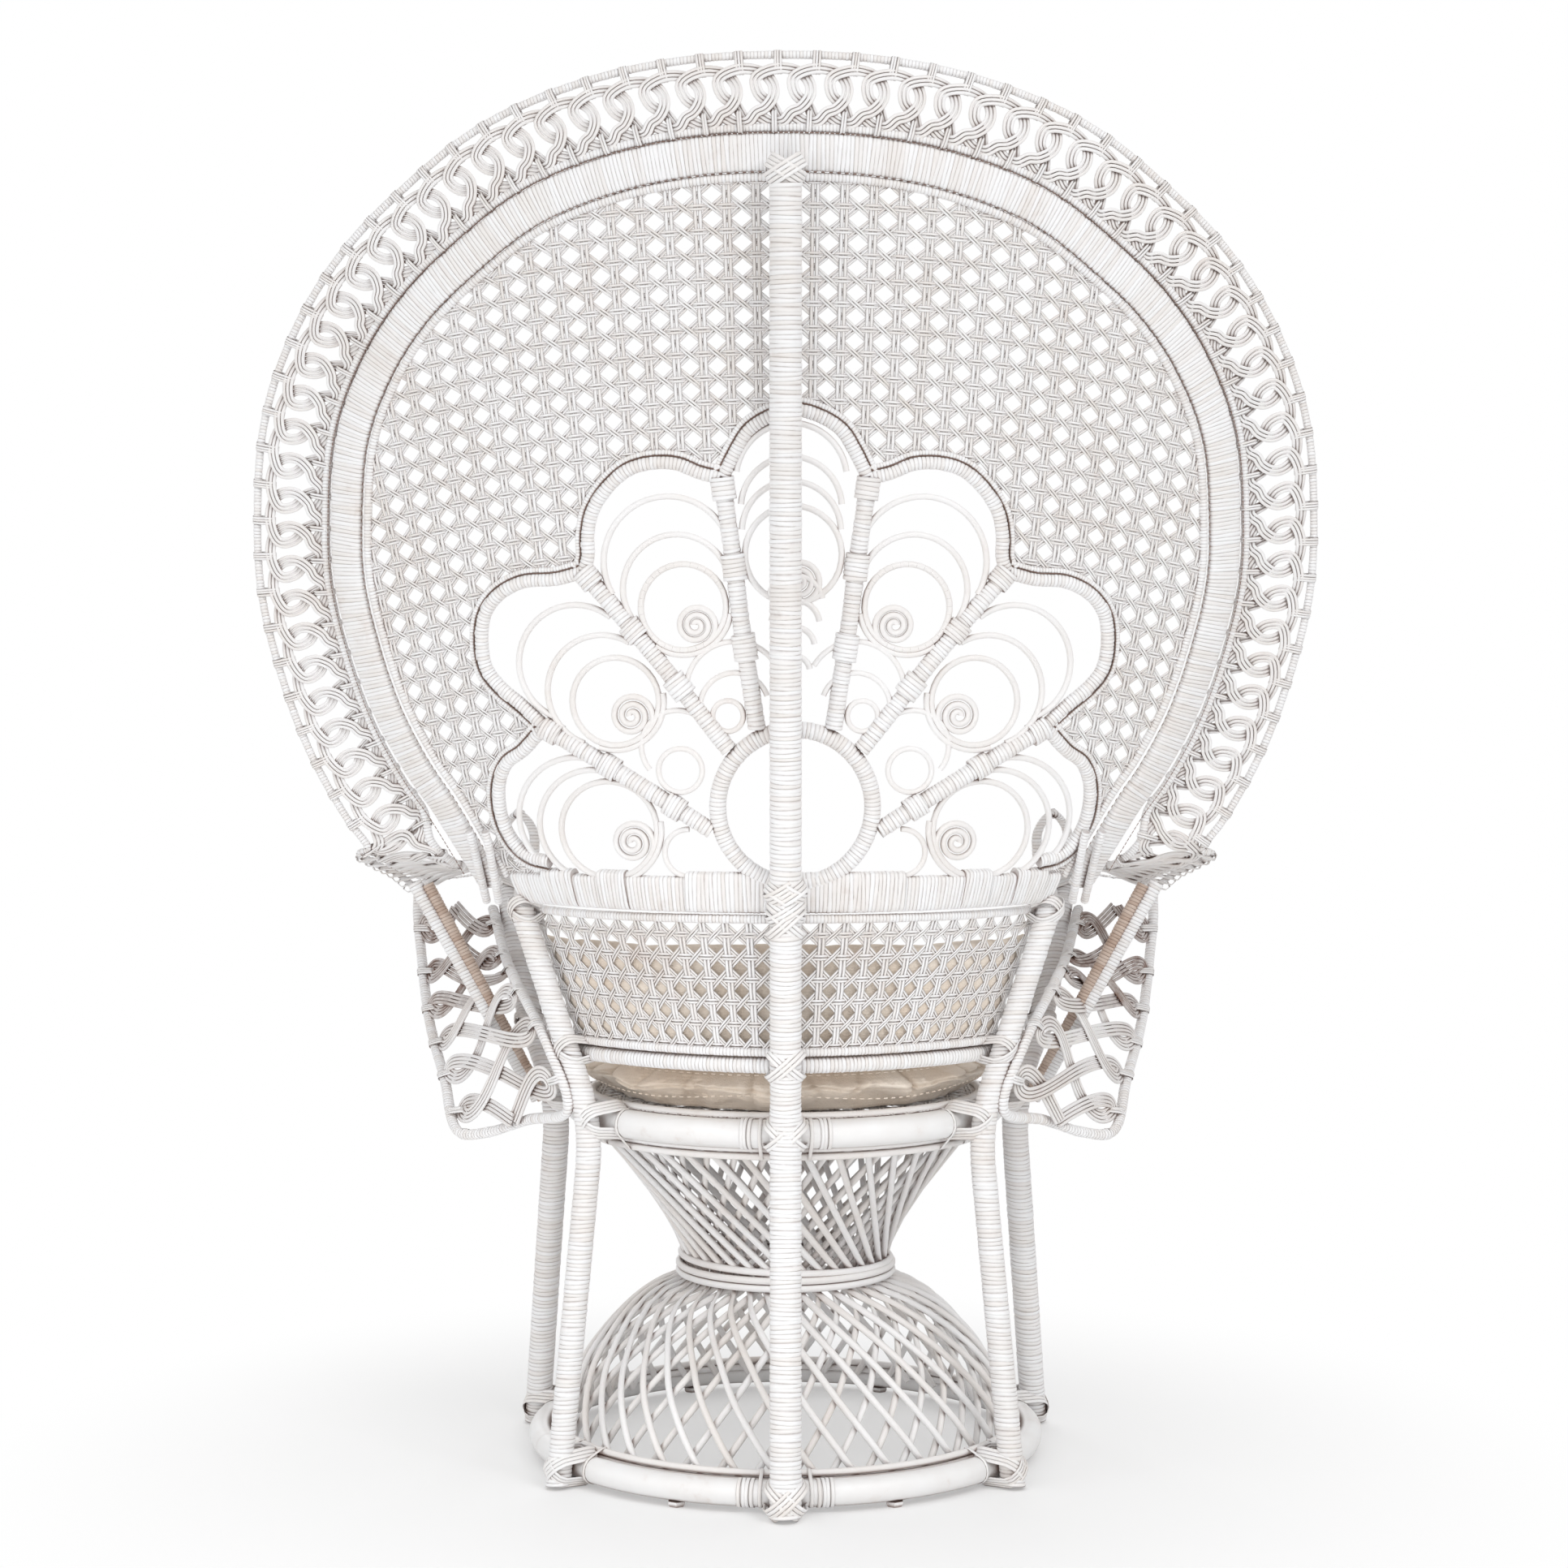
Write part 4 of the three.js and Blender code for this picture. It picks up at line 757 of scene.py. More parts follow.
def bound(centre: Array, first: Array, second: Array, ovals: tuple, tone: float, slack: float = 0.7,
          count: int = 18, shade: float = 0.0) -> Route:
    """Makes a closed loop of strip that lies tightly round one or more poles.

    Args:
        centre: Middle of the plane that the loop lies in.
        first: One direction of that plane.
        second: The other.
        ovals: Sections of the poles in that plane: place and half size along both directions.
        tone: Tone of the strip.
        slack: Distance between the poles and the middle of the strip.
        count: Corners of the loop.
        shade: How dark it is.

    Returns:
        The route, which faces outwards.
    """
    turn = np.linspace(0, 2 * np.pi, 36, endpoint=False)
    cloud = np.vstack([np.stack([across + (wide + slack) * np.cos(turn), up + (high + slack) * np.sin(turn)], axis=1)
                       for across, up, wide, high in ovals])
    corners = hull(cloud)
    edge = Line(np.column_stack([np.vstack([corners, corners[:1]]), np.zeros(len(corners) + 1)]))
    marks = np.linspace(0, edge.length, count, endpoint=False)
    flat, ahead = edge.at(marks), edge.along(marks)
    first, second = np.asarray(first, float), np.asarray(second, float)
    points = np.asarray(centre, float) + flat[:, :1] * first + flat[:, 1:2] * second
    points[:, 2] = np.maximum(points[:, 2], 0.8)
    return Route(points, ahead[:, 1:2] * first - ahead[:, :1] * second, True, tone, shade)


def lashed(contact: Array, upright: Array, level: Array, outward: Array, leg: float, ring: float, strands: int,
           seed: int, spread: float = 4.3, lean: float = 48.0) -> list[Route]:
    """Makes a lashing that crosses over a leg and passes behind the ring or hoop that it stands against.

    Args:
        contact: Where leg and ring touch.
        upright: Direction of the leg.
        level: Direction of the ring.
        outward: Direction from the ring to the leg.
        leg: Radius of the leg.
        ring: Radius of the ring.
        strands: Strands in each direction.
        seed: Seed of their tones.
        spread: Distance between two strands.
        lean: Angle in degrees between a strand and the leg.

    Returns:
        One route for each strand.
    """
    cosine, sine = math.cos(math.radians(lean)), math.sin(math.radians(lean))
    upright, level, outward = unit(upright), unit(level), unit(outward)
    routes = []
    for order, sign in enumerate((1, -1)):
        ahead = unit(upright * cosine + sign * level * sine)
        beside = unit(upright * sine - sign * level * cosine)
        tones = random_tones(strands, seed + order)
        for strand in range(strands):
            offset = beside * (strand - (strands - 1) / 2) * spread
            routes.append(bound(contact + offset, ahead, outward, (
                (0, leg, leg / sine, leg), (0, -ring, ring / cosine, ring)), float(tones[strand]),
                0.8 + 0.7 * order, 22))
    return routes


def coil(centre: Array, axis: Array, first: Array, second: Array, ovals: tuple, turns: int, pitch: float,
         seed: int, count: int = 16) -> list[Route]:
    """Makes several tight loops of strip side by side along an axis.

    Args:
        centre: Middle of the coil.
        axis: Direction along it.
        first: One direction of the loops' plane.
        second: The other.
        ovals: Sections of the poles inside, as for bound().
        turns: Number of loops.
        pitch: Distance between two of them.
        seed: Seed of their tones and small slants.
        count: Corners of a loop.

    Returns:
        One route for each loop.
    """
    chance = np.random.default_rng(seed)
    axis, routes = unit(axis), []
    for turn in range(turns):
        offset = axis * (turn - (turns - 1) / 2) * pitch
        slant = axis * chance.uniform(-0.05, 0.05)
        routes.append(bound(np.asarray(centre) + offset, np.asarray(first) + slant, second, ovals,
                            float(chance.random()), 0.7 + chance.uniform(0, 0.3), count))
    return routes


# Where the poles run


@dataclass(frozen=True)
class Skeleton:
    """Sizes of the poles, and the middle lines that the sub-assemblies share."""

    base_radius: float = 277.0
    base_pole: float = 14.0
    base_height: float = 20.0
    seat_radius: float = 234.0
    seat_pole: float = 15.5
    seat_height: float = 389.0
    foot_clearance: float = 3.0
    rear_post: float = 17.0
    rear_leg: float = 14.0
    front_leg: float = 15.5
    rear_leg_angle: float = 53.0
    front_foot_angle: float = 109.0
    front_seat_angle: float = 99.0
    fit_gap: float = 0.3
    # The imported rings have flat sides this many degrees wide, and legs stand against them
    facet: float = 10.0
    # Where the posts bend or end: to the side, to the rear, and height. The flare gives the front
    # leg's stations above the seat, as shares of its head
    post_kink: tuple[float, float, float] = (0.0, 300.0, 655.0)
    post_head: tuple[float, float, float] = (0.0, 400.0, 1386.0)
    rear_leg_head: tuple[float, float, float] = (287.0, 133.0, 614.0)
    front_leg_head: tuple[float, float, float] = (334.0, -190.0, 640.0)
    front_leg_flare: tuple = ((0.905, 0.5, 0.75), (0.976, 0.79, 0.93), (1, 1, 1))
    # The barrel: radius of its thin hoops, how far hoops run past the front legs, and the heights
    # between which its webbing hangs
    thin_hoop: float = 5.0
    hoop_overrun: float = 18.0
    wall_foot: float = 483.6
    wall_top: float = 614.7
    front_wall_top: float = 632.7

    def against(self, angle: float, ring: float, pole: float, leg: float, height: float) -> Array:
        """Returns the middle of a leg that stands against the outside of a ring.

        Args:
            angle: Place round the ring in degrees, from the rear.
            ring: Radius of the ring.
            pole: Radius of its pole.
            leg: Radius of the leg.
            height: Height of the place.

        Returns:
            The point.
        """
        off_middle = math.radians(abs(angle) % self.facet - self.facet / 2)
        flat_reach = ring * math.cos(math.radians(self.facet / 2)) / math.cos(off_middle)
        reach = flat_reach + pole + leg + 2 * self.fit_gap
        turned = math.radians(angle)
        return np.array([reach * math.sin(turned), reach * math.cos(turned), height])

    def lower_leg(self, foot_angle: float, seat_angle: float, leg: float) -> list[Array]:
        """Finds where a leg stands and where it passes the seat ring.

        Args:
            foot_angle: Place round the base ring in degrees, from the rear.
            seat_angle: Place round the seat ring.
            leg: Radius of the leg.

        Returns:
            Its foot and its seat station.
        """
        low = self.against(foot_angle, self.base_radius, self.base_pole, leg, self.base_height)
        high = self.against(seat_angle, self.seat_radius, self.seat_pole, leg, self.seat_height)
        return [low + (high - low) * (self.foot_clearance - low[2]) / (high[2] - low[2]), high]

    def rear_post_stations(self) -> Array:
        """Returns the stations of the rear post, from the floor to its top."""
        return np.array([*self.lower_leg(0, 0, self.rear_post), self.post_kink, self.post_head])

    def rear_leg_stations(self, side: int) -> Array:
        """Finds the stations of a rear leg.

        Args:
            side: 1 on the left, -1 on the right.

        Returns:
            The stations, from the floor up.
        """
        angle = side * self.rear_leg_angle
        across, back, height = self.rear_leg_head
        return np.array([*self.lower_leg(angle, angle, self.rear_leg), [side * across, back, height]])

    def front_leg_stations(self, side: int) -> Array:
        """Finds the stations of a front leg and of its post above the seat.

        Args:
            side: 1 on the left, -1 on the right.

        Returns:
            The stations, from the floor up.
        """
        across, back, height = self.front_leg_head
        flare = [[side * span * across, reach * back, up * height] for span, reach, up in self.front_leg_flare]
        return np.array([*self.lower_leg(side * self.front_foot_angle, side * self.front_seat_angle,
                                         self.front_leg), *flare])

    def centre(self, stations: Array, height: float) -> Array:
        """Finds the middle of a leg.

        Args:
            stations: Stations of the leg.
            height: Height of the place.

        Returns:
            The point.
        """
        index = int(np.clip(np.searchsorted(stations[:, 2], height, side="right"), 1, len(stations) - 1))
        low, high = stations[index - 1], stations[index]
        return low + (high - low) * (height - low[2]) / (high[2] - low[2])

    def contact(self, stations: Array, leg: float, hoop: float, height: float) -> Array:
        """Returns the middle of a hoop that lies against the inner side of a leg.

        Args:
            stations: Stations of the leg.
            leg: Radius of the leg.
            hoop: Radius of the hoop.
            height: Height of the place.

        Returns:
            The point.
        """
        centre = self.centre(stations, height)
        step = self.centre(stations, height + leg) - centre
        tilt = np.linalg.norm(step) / step[2]
        outward = unit(np.array([centre[0], centre[1], 0.0]))
        return centre - outward * ((leg + hoop) * tilt + self.fit_gap)

    def barrel_curve(self, height: float, hoop: float, front_height: float | None = None) -> Array:
        """Returns a smooth curve inside the legs, from one front leg round the rear to the other.

        Args:
            height: Height of the curve.
            hoop: Radius of the hoop on it.
            front_height: Height at the front legs, where it differs.

        Returns:
            Points of the curve, from the left front leg to the right one.
        """
        front = self.contact(self.front_leg_stations(1), self.front_leg, hoop, front_height or height)
        rear = self.contact(self.rear_leg_stations(1), self.rear_leg, hoop, height)
        middle = self.contact(self.rear_post_stations(), self.rear_post, hoop, height)
        mirror = np.array([-1.0, 1.0, 1.0])
        end = front + np.array([0, -self.hoop_overrun, 0])
        return smooth(np.array([end, front, rear, middle, rear * mirror, front * mirror, end * mirror]), 24)

    def wall(self) -> tuple[Line, Line]:
        """Returns the lower and the upper edge of the barrel's webbing."""
        return (Line(self.barrel_curve(self.wall_foot, self.thin_hoop)),
                Line(self.barrel_curve(self.wall_top, self.thin_hoop, self.front_wall_top)))


@dataclass(frozen=True)
class Fan:
    """Surface of the fan back, the lines on it, and the rails of the arms."""

    half_width: float = 470.0
    centre_height: float = 1034.0
    rise: float = 371.0
    drop: float = 367.0
    lean: float = 100.0 / 731.0
    band_width: float = 38.0
    hoop_offset: float = 24.3
    rim_offset: float = 101.6
    fringe_start: float = 29.9
    fringe_width: float = 65.0
    fringe_lean: float = 0.25
    # The fringe leans forward from here on, measured from the band's edge
    lean_gap: float = 10.0
    # The surface: its distance from the post's middle, the depth of the bowl at half the fan's
    # width, and how much deeper it is at the foot, which fades away upwards
    setback: float = 27.5
    bowl: float = 110.0
    foot_bowl: float = 280.0
    fade_start: float = 620.0
    fade_length: float = 130.0
    # Half width, reach to the front and height that the arms' shares refer to
    arm_size: tuple[float, float, float] = (441.0, 230.0, 655.0)
    hoop_steps: int = 8
    band_shares: tuple = (
        (0.69, -1.06), (0.794, -0.82), (0.847, -0.719), (0.915, -0.55), (0.968, -0.34), (0.998, -0.153), (1, 0),
        (0.977, 0.261), (0.906, 0.464), (0.815, 0.615), (0.702, 0.739), (0.557, 0.865), (0.374, 0.949),
        (0.19, 0.99), (0, 1))
    inner_shares: tuple = (
        (0.885, -0.52, 1.06), (0.835, -0.38, 1.02), (0.8, -0.12, 1.01), (0.775, 0.2, 1.005), (0.755, 0.58, 1.005),
        (0.742, 0.97, 1.005))
    outer_shares: tuple = (
        (1.075, -0.33, 1.035), (1.055, -0.04, 1.01), (1.035, 0.3, 0.99), (1.02, 0.65, 0.965), (1.01, 0.95, 0.94))

    def depth(self, x: Array, z: Array) -> Array:
        """Finds how far back the fan's surface lies.

        Args:
            x: Places across it.
            z: Heights.

        Returns:
            Y at each place.
        """
        x, z = np.asarray(x, float), np.asarray(z, float)
        _, kink_back, kink_height = SKELETON.post_kink
        setback = self.setback * math.hypot(1, self.lean) + SKELETON.fit_gap
        fade = np.exp(-np.maximum(0, z - self.fade_start) / self.fade_length)
        bowl = (self.bowl + self.foot_bowl * fade) * (x / self.half_width) ** 2
        return kink_back + (z - kink_height) * self.lean - setback - bowl

    def on(self, x: Array, z: Array, lift: Array | float = 0.0) -> Array:
        """Lays places on the surface.

        Args:
            x: Places across it.
            z: Heights.
            lift: Distance from it towards the rear, along its normal.

        Returns:
            The points.
        """
        x, z = np.broadcast_arrays(np.asarray(x, float), np.asarray(z, float))
        point = np.stack([x, self.depth(x, z), z], axis=-1)
        return point + self.normal(x, z) * np.asarray(lift, float)[..., None]

    def normal(self, x: Array, z: Array) -> Array:
        """Finds the direction that the surface faces at the rear.

        Args:
            x: Places across it.
            z: Heights.

        Returns:
            One unit vector for each place.
        """
        x, z = np.asarray(x, float), np.asarray(z, float)
        across = (self.depth(x + 1, z) - self.depth(x - 1, z)) / 2
        upward = (self.depth(x, z + 1) - self.depth(x, z - 1)) / 2
        return unit(np.stack([-across, np.ones_like(across), -upward], axis=-1))

    def band_line(self) -> Line:
        """Finds the middle line of the wide band.

        Returns:
            The line, flat in X and Z, from left to right.
        """
        half = [[out * self.half_width, 0, self.centre_height + up * (self.rise if up > 0 else self.drop)]
                for out, up in self.band_shares]
        other = [[-x, y, z] for x, y, z in half[-2::-1]]
        return Line(smooth(np.array(half + other), 20))

    def beside(self, offset: float, shares: Array) -> Array:
        """Returns points beside the band, on the fan or on the fringe that leans forward from it.

        Args:
            offset: Distance outwards from the band's middle, along the surface of the fan.
            shares: Places along the band from 0 at its left foot to 1 at its right.

        Returns:
            The points.
        """
        line = self.band_line()
        shares = np.asarray(shares, float)
        middle = line.at(shares * line.length)
        tangent = line.along(shares * line.length)
        outward = np.stack([tangent[:, 2], np.zeros(len(shares)), -tangent[:, 0]], axis=-1)
        kink = self.band_width / 2 + self.lean_gap
        foot = middle + outward * min(offset, kink)
        beyond = max(0.0, offset - kink)
        return self.on(foot[:, 0], foot[:, 2]) + outward * beyond + np.array([0, -beyond * self.fringe_lean, 0])

    def arm_points(self, shares: tuple, side: int, out_by: float = 0.0) -> Array:
        """Returns places on an arm from shares of its half width, reach and height."""
        width, front, height = self.arm_size
        return np.array([[side * (out * width + out_by), -reach * front, up * height] for out, reach, up in shares])

    def hoop(self, offset: float, shares: tuple, out_by: float = 0.0) -> Line:
        """Returns the line of a hoop that runs along the left arm, round the fan and along the right arm.

        Args:
            offset: Distance outwards from the band's middle.
            shares: Shares of the arm's rail.
            out_by: Distance outwards from that rail.

        Returns:
            The line.
        """
        arms = [self.arm_points(shares, side, out_by) for side in (1, -1)]
        middle = self.beside(offset, np.linspace(0.05, 0.95, 61))
        return Line(smooth(np.vstack([arms[0][::-1], middle, arms[1]]), self.hoop_steps))

    def up_on(self, points: Array) -> Array:
        """Returns the fan's normal at each of several points."""
        return self.normal(points[:, 0], points[:, 2])


SKELETON = Skeleton()
FAN = Fan()


# Sub-assemblies


@dataclass
class Base:
    """The two big bare rings, their trim rods, the waist rods and the twisted hourglass."""

    shop: Workshop
    rods_per_layer: int = 38
    rod_radius: float = 3.9
    base_trim: tuple[float, float, float] = (262.0, 28.8, 37.1)
    seat_trim: tuple[float, float, float] = (226.0, 371.9, 363.6)
    waist: tuple[float, float, float] = (121.0, 201.6, 209.9)
    trim_radius: float = 4.0
    waist_rod: float = 4.2
    # The rod along the seat ring's inner edge: its ring, its height and its own radius
    seat_edge: tuple[float, float, float] = (220.5, 404.6, 5.6)
    # Angles in radians of the joints in both big poles
    joints: tuple = (0.31, 1.42, 2.48, 3.71, 4.66, 5.69)
    # The hourglass from the seat ring down: radius, height, and turn in degrees
    profile: tuple = (
        (217.8, 371.9, 0), (112, 213.9, 46), (112, 205.6, 48), (112, 197.3, 50), (148, 181.5, 56.5),
        (173, 165, 62), (204, 134, 70), (228.3, 101.9, 76), (246, 62, 83), (253.8, 25, 89))
    layer_gap: float = 9.2
    # Height and half height of the zone at the waist where painted shade darkens the rods
    waist_shade: tuple[float, float] = (205.0, 26.0)

    def ring(self, radius: float, height: float, tone: float = 0.5, count: int = 180) -> Route:
        """Lays a round route at one height.

        Args:
            radius: Its radius.
            height: Its height.
            tone: Tone of the rod on it.
            count: Its corners.

        Returns:
            The route.
        """
        angle = np.linspace(0, 2 * np.pi, count, endpoint=False)
        points = np.stack([radius * np.cos(angle), radius * np.sin(angle), np.full(count, height)], axis=1)
        return Route(points, [0.0, 0.0, 1.0], True, tone)

    def pole(self, name: str, radius: float, height: float, pole: float) -> None:
        """Builds a bent pole with the slight swelling of its joints.

        Args:
            name: The solid that it replaces.
            radius: Radius of the ring.
            height: Height of the ring.
            pole: Radius of the pole.
        """
        count = 240
        route = self.ring(radius, height, 0.45, count)
        angle = np.linspace(0, 2 * np.pi, count, endpoint=False)
        near = np.abs((angle[:, None] - np.array(self.joints) + np.pi) % (2 * np.pi) - np.pi).min(axis=1) * radius
        # A joint is a low ring, 14 mm wide, with a shallow dip beside it and a thin dark line on it
        route.swell = 1 + 0.035 * np.exp(-(near / 7) ** 2) - 0.02 * np.exp(-((near - 11) / 4) ** 2)
        route.shade = 0.55 * np.exp(-(near / 2.4) ** 2)
        self.shop.sweep(f"pole_{name}", [route], pole, self.shop.pole, Slot.BARE, (name,), sides=20)

    def lattice(self, inset: float, twist: int) -> list[Route]:
        """Returns the rods of one layer of the hourglass.

        Args:
            inset: How far the layer lies inside the outer one.
            twist: 1 or -1, the direction in which its rods turn.

        Returns:
            One route for each rod.
        """
        radius, height, turn = (np.array(column, float) for column in zip(*self.profile))
        waist, waist_spread = self.waist_shade
        tones = random_tones(self.rods_per_layer, 11 + twist)
        routes = []
        for index in range(self.rods_per_layer):
            angle = np.radians(twist * turn) + 2 * np.pi * index / self.rods_per_layer
            points = np.stack([(radius - inset) * np.cos(angle), (radius - inset) * np.sin(angle), height], axis=1)
            upper = np.linspace(0, 1, 13)[:-1, None]
            cone = points[0] * (1 - upper) + points[1] * upper
            line = Line(np.vstack([cone, smooth(points[1:], 6)]))
            facing = unit(line.points * np.array([1, 1, 0]))
            # Painted shade on the rods, darkest at the waist
            near_waist = np.exp(-((line.points[:, 2] - waist) / waist_spread) ** 2)
            routes.append(Route(line.points, facing, False, float(tones[index]), 0.35 * near_waist))
        return routes

    def lashings(self) -> list[Route]:
        """Lays the strips that bind the legs to both rings.

        Returns:
            One route for each strip.
        """
        routes = []
        legs = [(0.0, 0.0, SKELETON.rear_post, SKELETON.rear_post_stations()),
                *((side * SKELETON.rear_leg_angle, side * SKELETON.rear_leg_angle, SKELETON.rear_leg,
                   SKELETON.rear_leg_stations(side)) for side in (1, -1)),
                *((side * SKELETON.front_foot_angle, side * SKELETON.front_seat_angle, SKELETON.front_leg,
                   SKELETON.front_leg_stations(side)) for side in (1, -1))]
        rings = ((SKELETON.base_radius, SKELETON.base_pole, SKELETON.base_height, self.base_trim, 4),
                 (SKELETON.seat_radius, SKELETON.seat_pole, SKELETON.seat_height, self.seat_trim, 3))
        for order, (foot_angle, seat_angle, leg, stations) in enumerate(legs):
            for angle, (ring, pole, height, (trim, *levels), turns) in zip((foot_angle, seat_angle), rings):
                turned = math.radians(angle)
                outward, tangent = self.directions(turned)
                upward = unit(SKELETON.centre(stations, height + 20) - SKELETON.centre(stations, height))
                contact = SKELETON.centre(stations, height + 2) - outward * (leg + SKELETON.fit_gap)
                routes += lashed(contact, upward, tangent, outward, leg, pole, 4, 40 + 7 * order)
                bare = ((0, 0, pole, pole),)
                rods = tuple((trim - ring, level - height, self.trim_radius, self.trim_radius) for level in levels)
                up = np.array([0, 0, 1.0])
                for sign in (1, -1):
                    away, axis = self.directions(turned + sign * (leg + 9) / ring)
                    routes += coil(away * ring + up * height, axis, away, up, bare + rods, 1, 4.4, 90 + order)
                    if order == 0:
                        away, axis = self.directions(turned + sign * (leg + 24) / ring)
                        routes += coil(away * ring + up * height, axis, away, up, bare, turns, 4.6, 97, 20)
        return routes

    def directions(self, angle: float) -> tuple[Array, Array]:
        """Returns the directions outwards and along a ring at an angle in radians from the rear."""
        return (np.array([math.sin(angle), math.cos(angle), 0.0]),
                np.array([math.cos(angle), -math.sin(angle), 0.0]))

    def build(self) -> None:
        """Builds every piece of the base."""
        shop = self.shop
        self.pole("base_ring", SKELETON.base_radius, SKELETON.base_height, SKELETON.base_pole)
        self.pole("seat_ring", SKELETON.seat_radius, SKELETON.seat_height, SKELETON.seat_pole)
        for name, (radius, low, high) in (("base_trim_rods", self.base_trim), ("seat_trim_rods", self.seat_trim)):
            shop.sweep(f"trim_{name}", [self.ring(radius, low, 0.3), self.ring(radius, high, 0.7)],
                       self.trim_radius, shop.bare, Slot.BARE, (name,), sides=10)
        radius, low, high = self.waist
        # The third rod lies on the two of the source and dips a little to one side
        third = self.ring(radius - 2.5, high + 8.0, 0.4, 96)
        third.points = third.points + third.points[:, :1] * np.array([0.0, 0.0, 0.03])
        shop.sweep("waist_hoops", [self.ring(radius, low, 0.2, 96), self.ring(radius, high, 0.6, 96), third],
                   self.waist_rod, shop.bare, Slot.BARE, ("waist_rods",), sides=10)
        radius, height, thick = self.seat_edge
        shop.sweep("seat_edge_rod", [self.ring(radius, height, 0.5)], thick, shop.bare, Slot.BARE, sides=10)
        for layer, inset, twist in (("outer", 0.0, 1), ("inner", self.layer_gap, -1)):
            shop.sweep(f"twisted_rods_{layer}", self.lattice(inset, twist), self.rod_radius, shop.bare, Slot.BARE,
                       (f"hourglass_rods_{layer}",), sides=8)
        shop.sweep("ring_lashings", self.lashings(), 0.5, shop.strip, Slot.WEBBING, half_width=2.1, sides=6,
                   squareness=0.7)
        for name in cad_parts:
            if name.startswith("glide"):
                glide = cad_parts[name]
                glide.data.materials.clear()
                glide.data.materials.append(shop.pole)


@dataclass
class Legs:
    """The rear post, the two rear legs and the two front legs, all wrapped with cane."""

    shop: Workshop
    pitch: float = 4.6
    # A wrapped leg runs on past its last station and ends in a dome
    overrun: float = 9.0
    dome: float = 11.0
    # Bare length at the post's top, and the radius of the pole there
    bare_top: float = 16.0
    bare_radius: float = 15.0

    def wrap(self, name: str, stations: Array, radius: float, seed: int, top: float = 0.0) -> None:
        """Builds one wrapped leg.

        Args:
            name: The solid that it replaces.
            stations: Its stations from the floor up.
            radius: Its radius with the wrapping.
            seed: Seed of its turns.
            top: Length at the top that stays bare.
        """
        end = stations[-1] + unit(stations[-1] - stations[-2]) * (0 if top else self.overrun)
        line = Line(rounded(np.vstack([stations[:-1], end])))
        marks = np.linspace(0, line.length - top, 120)
        into_dome = np.clip((marks - line.length + self.dome) / self.dome, 0, 0.97)
        swell = np.ones(120) if top else np.sqrt(np.clip(1 - into_dome ** 2, 0.05, 1))
        route = Route(line.at(marks), [1.0, 0.0, 0.0], swell=swell)
        self.shop.wind(f"wrapped_{name}", [route], radius, nodes=(name,),
                       pitch=self.pitch, sides=16, seed=seed, groove=1.0, uneven=0.5, tilt=0.07)

    def build(self) -> None:
        """Builds the legs and the bare end of the post."""
        post = SKELETON.rear_post_stations()
        self.wrap("rear_post", post, SKELETON.rear_post, 5, top=self.bare_top)
        line = Line(rounded(post))
        tip = line.at(np.linspace(line.length - self.bare_top - 4, line.length - 0.5, 8))
        swell = np.array([1, 1, 1, 1, 1, 1, 0.97, 0.9])
        self.shop.sweep("post_end", [Route(tip, [1.0, 0.0, 0.0], swell=swell)], self.bare_radius,
                        self.shop.pole, Slot.BARE, sides=24)
        for side in Side:
            label, sign = side.name.lower(), side.value
            self.wrap(f"rear_leg_{label}", SKELETON.rear_leg_stations(sign), SKELETON.rear_leg, 7 + sign)
            self.wrap(f"front_leg_{label}", SKELETON.front_leg_stations(sign), SKELETON.front_leg, 17 + sign)


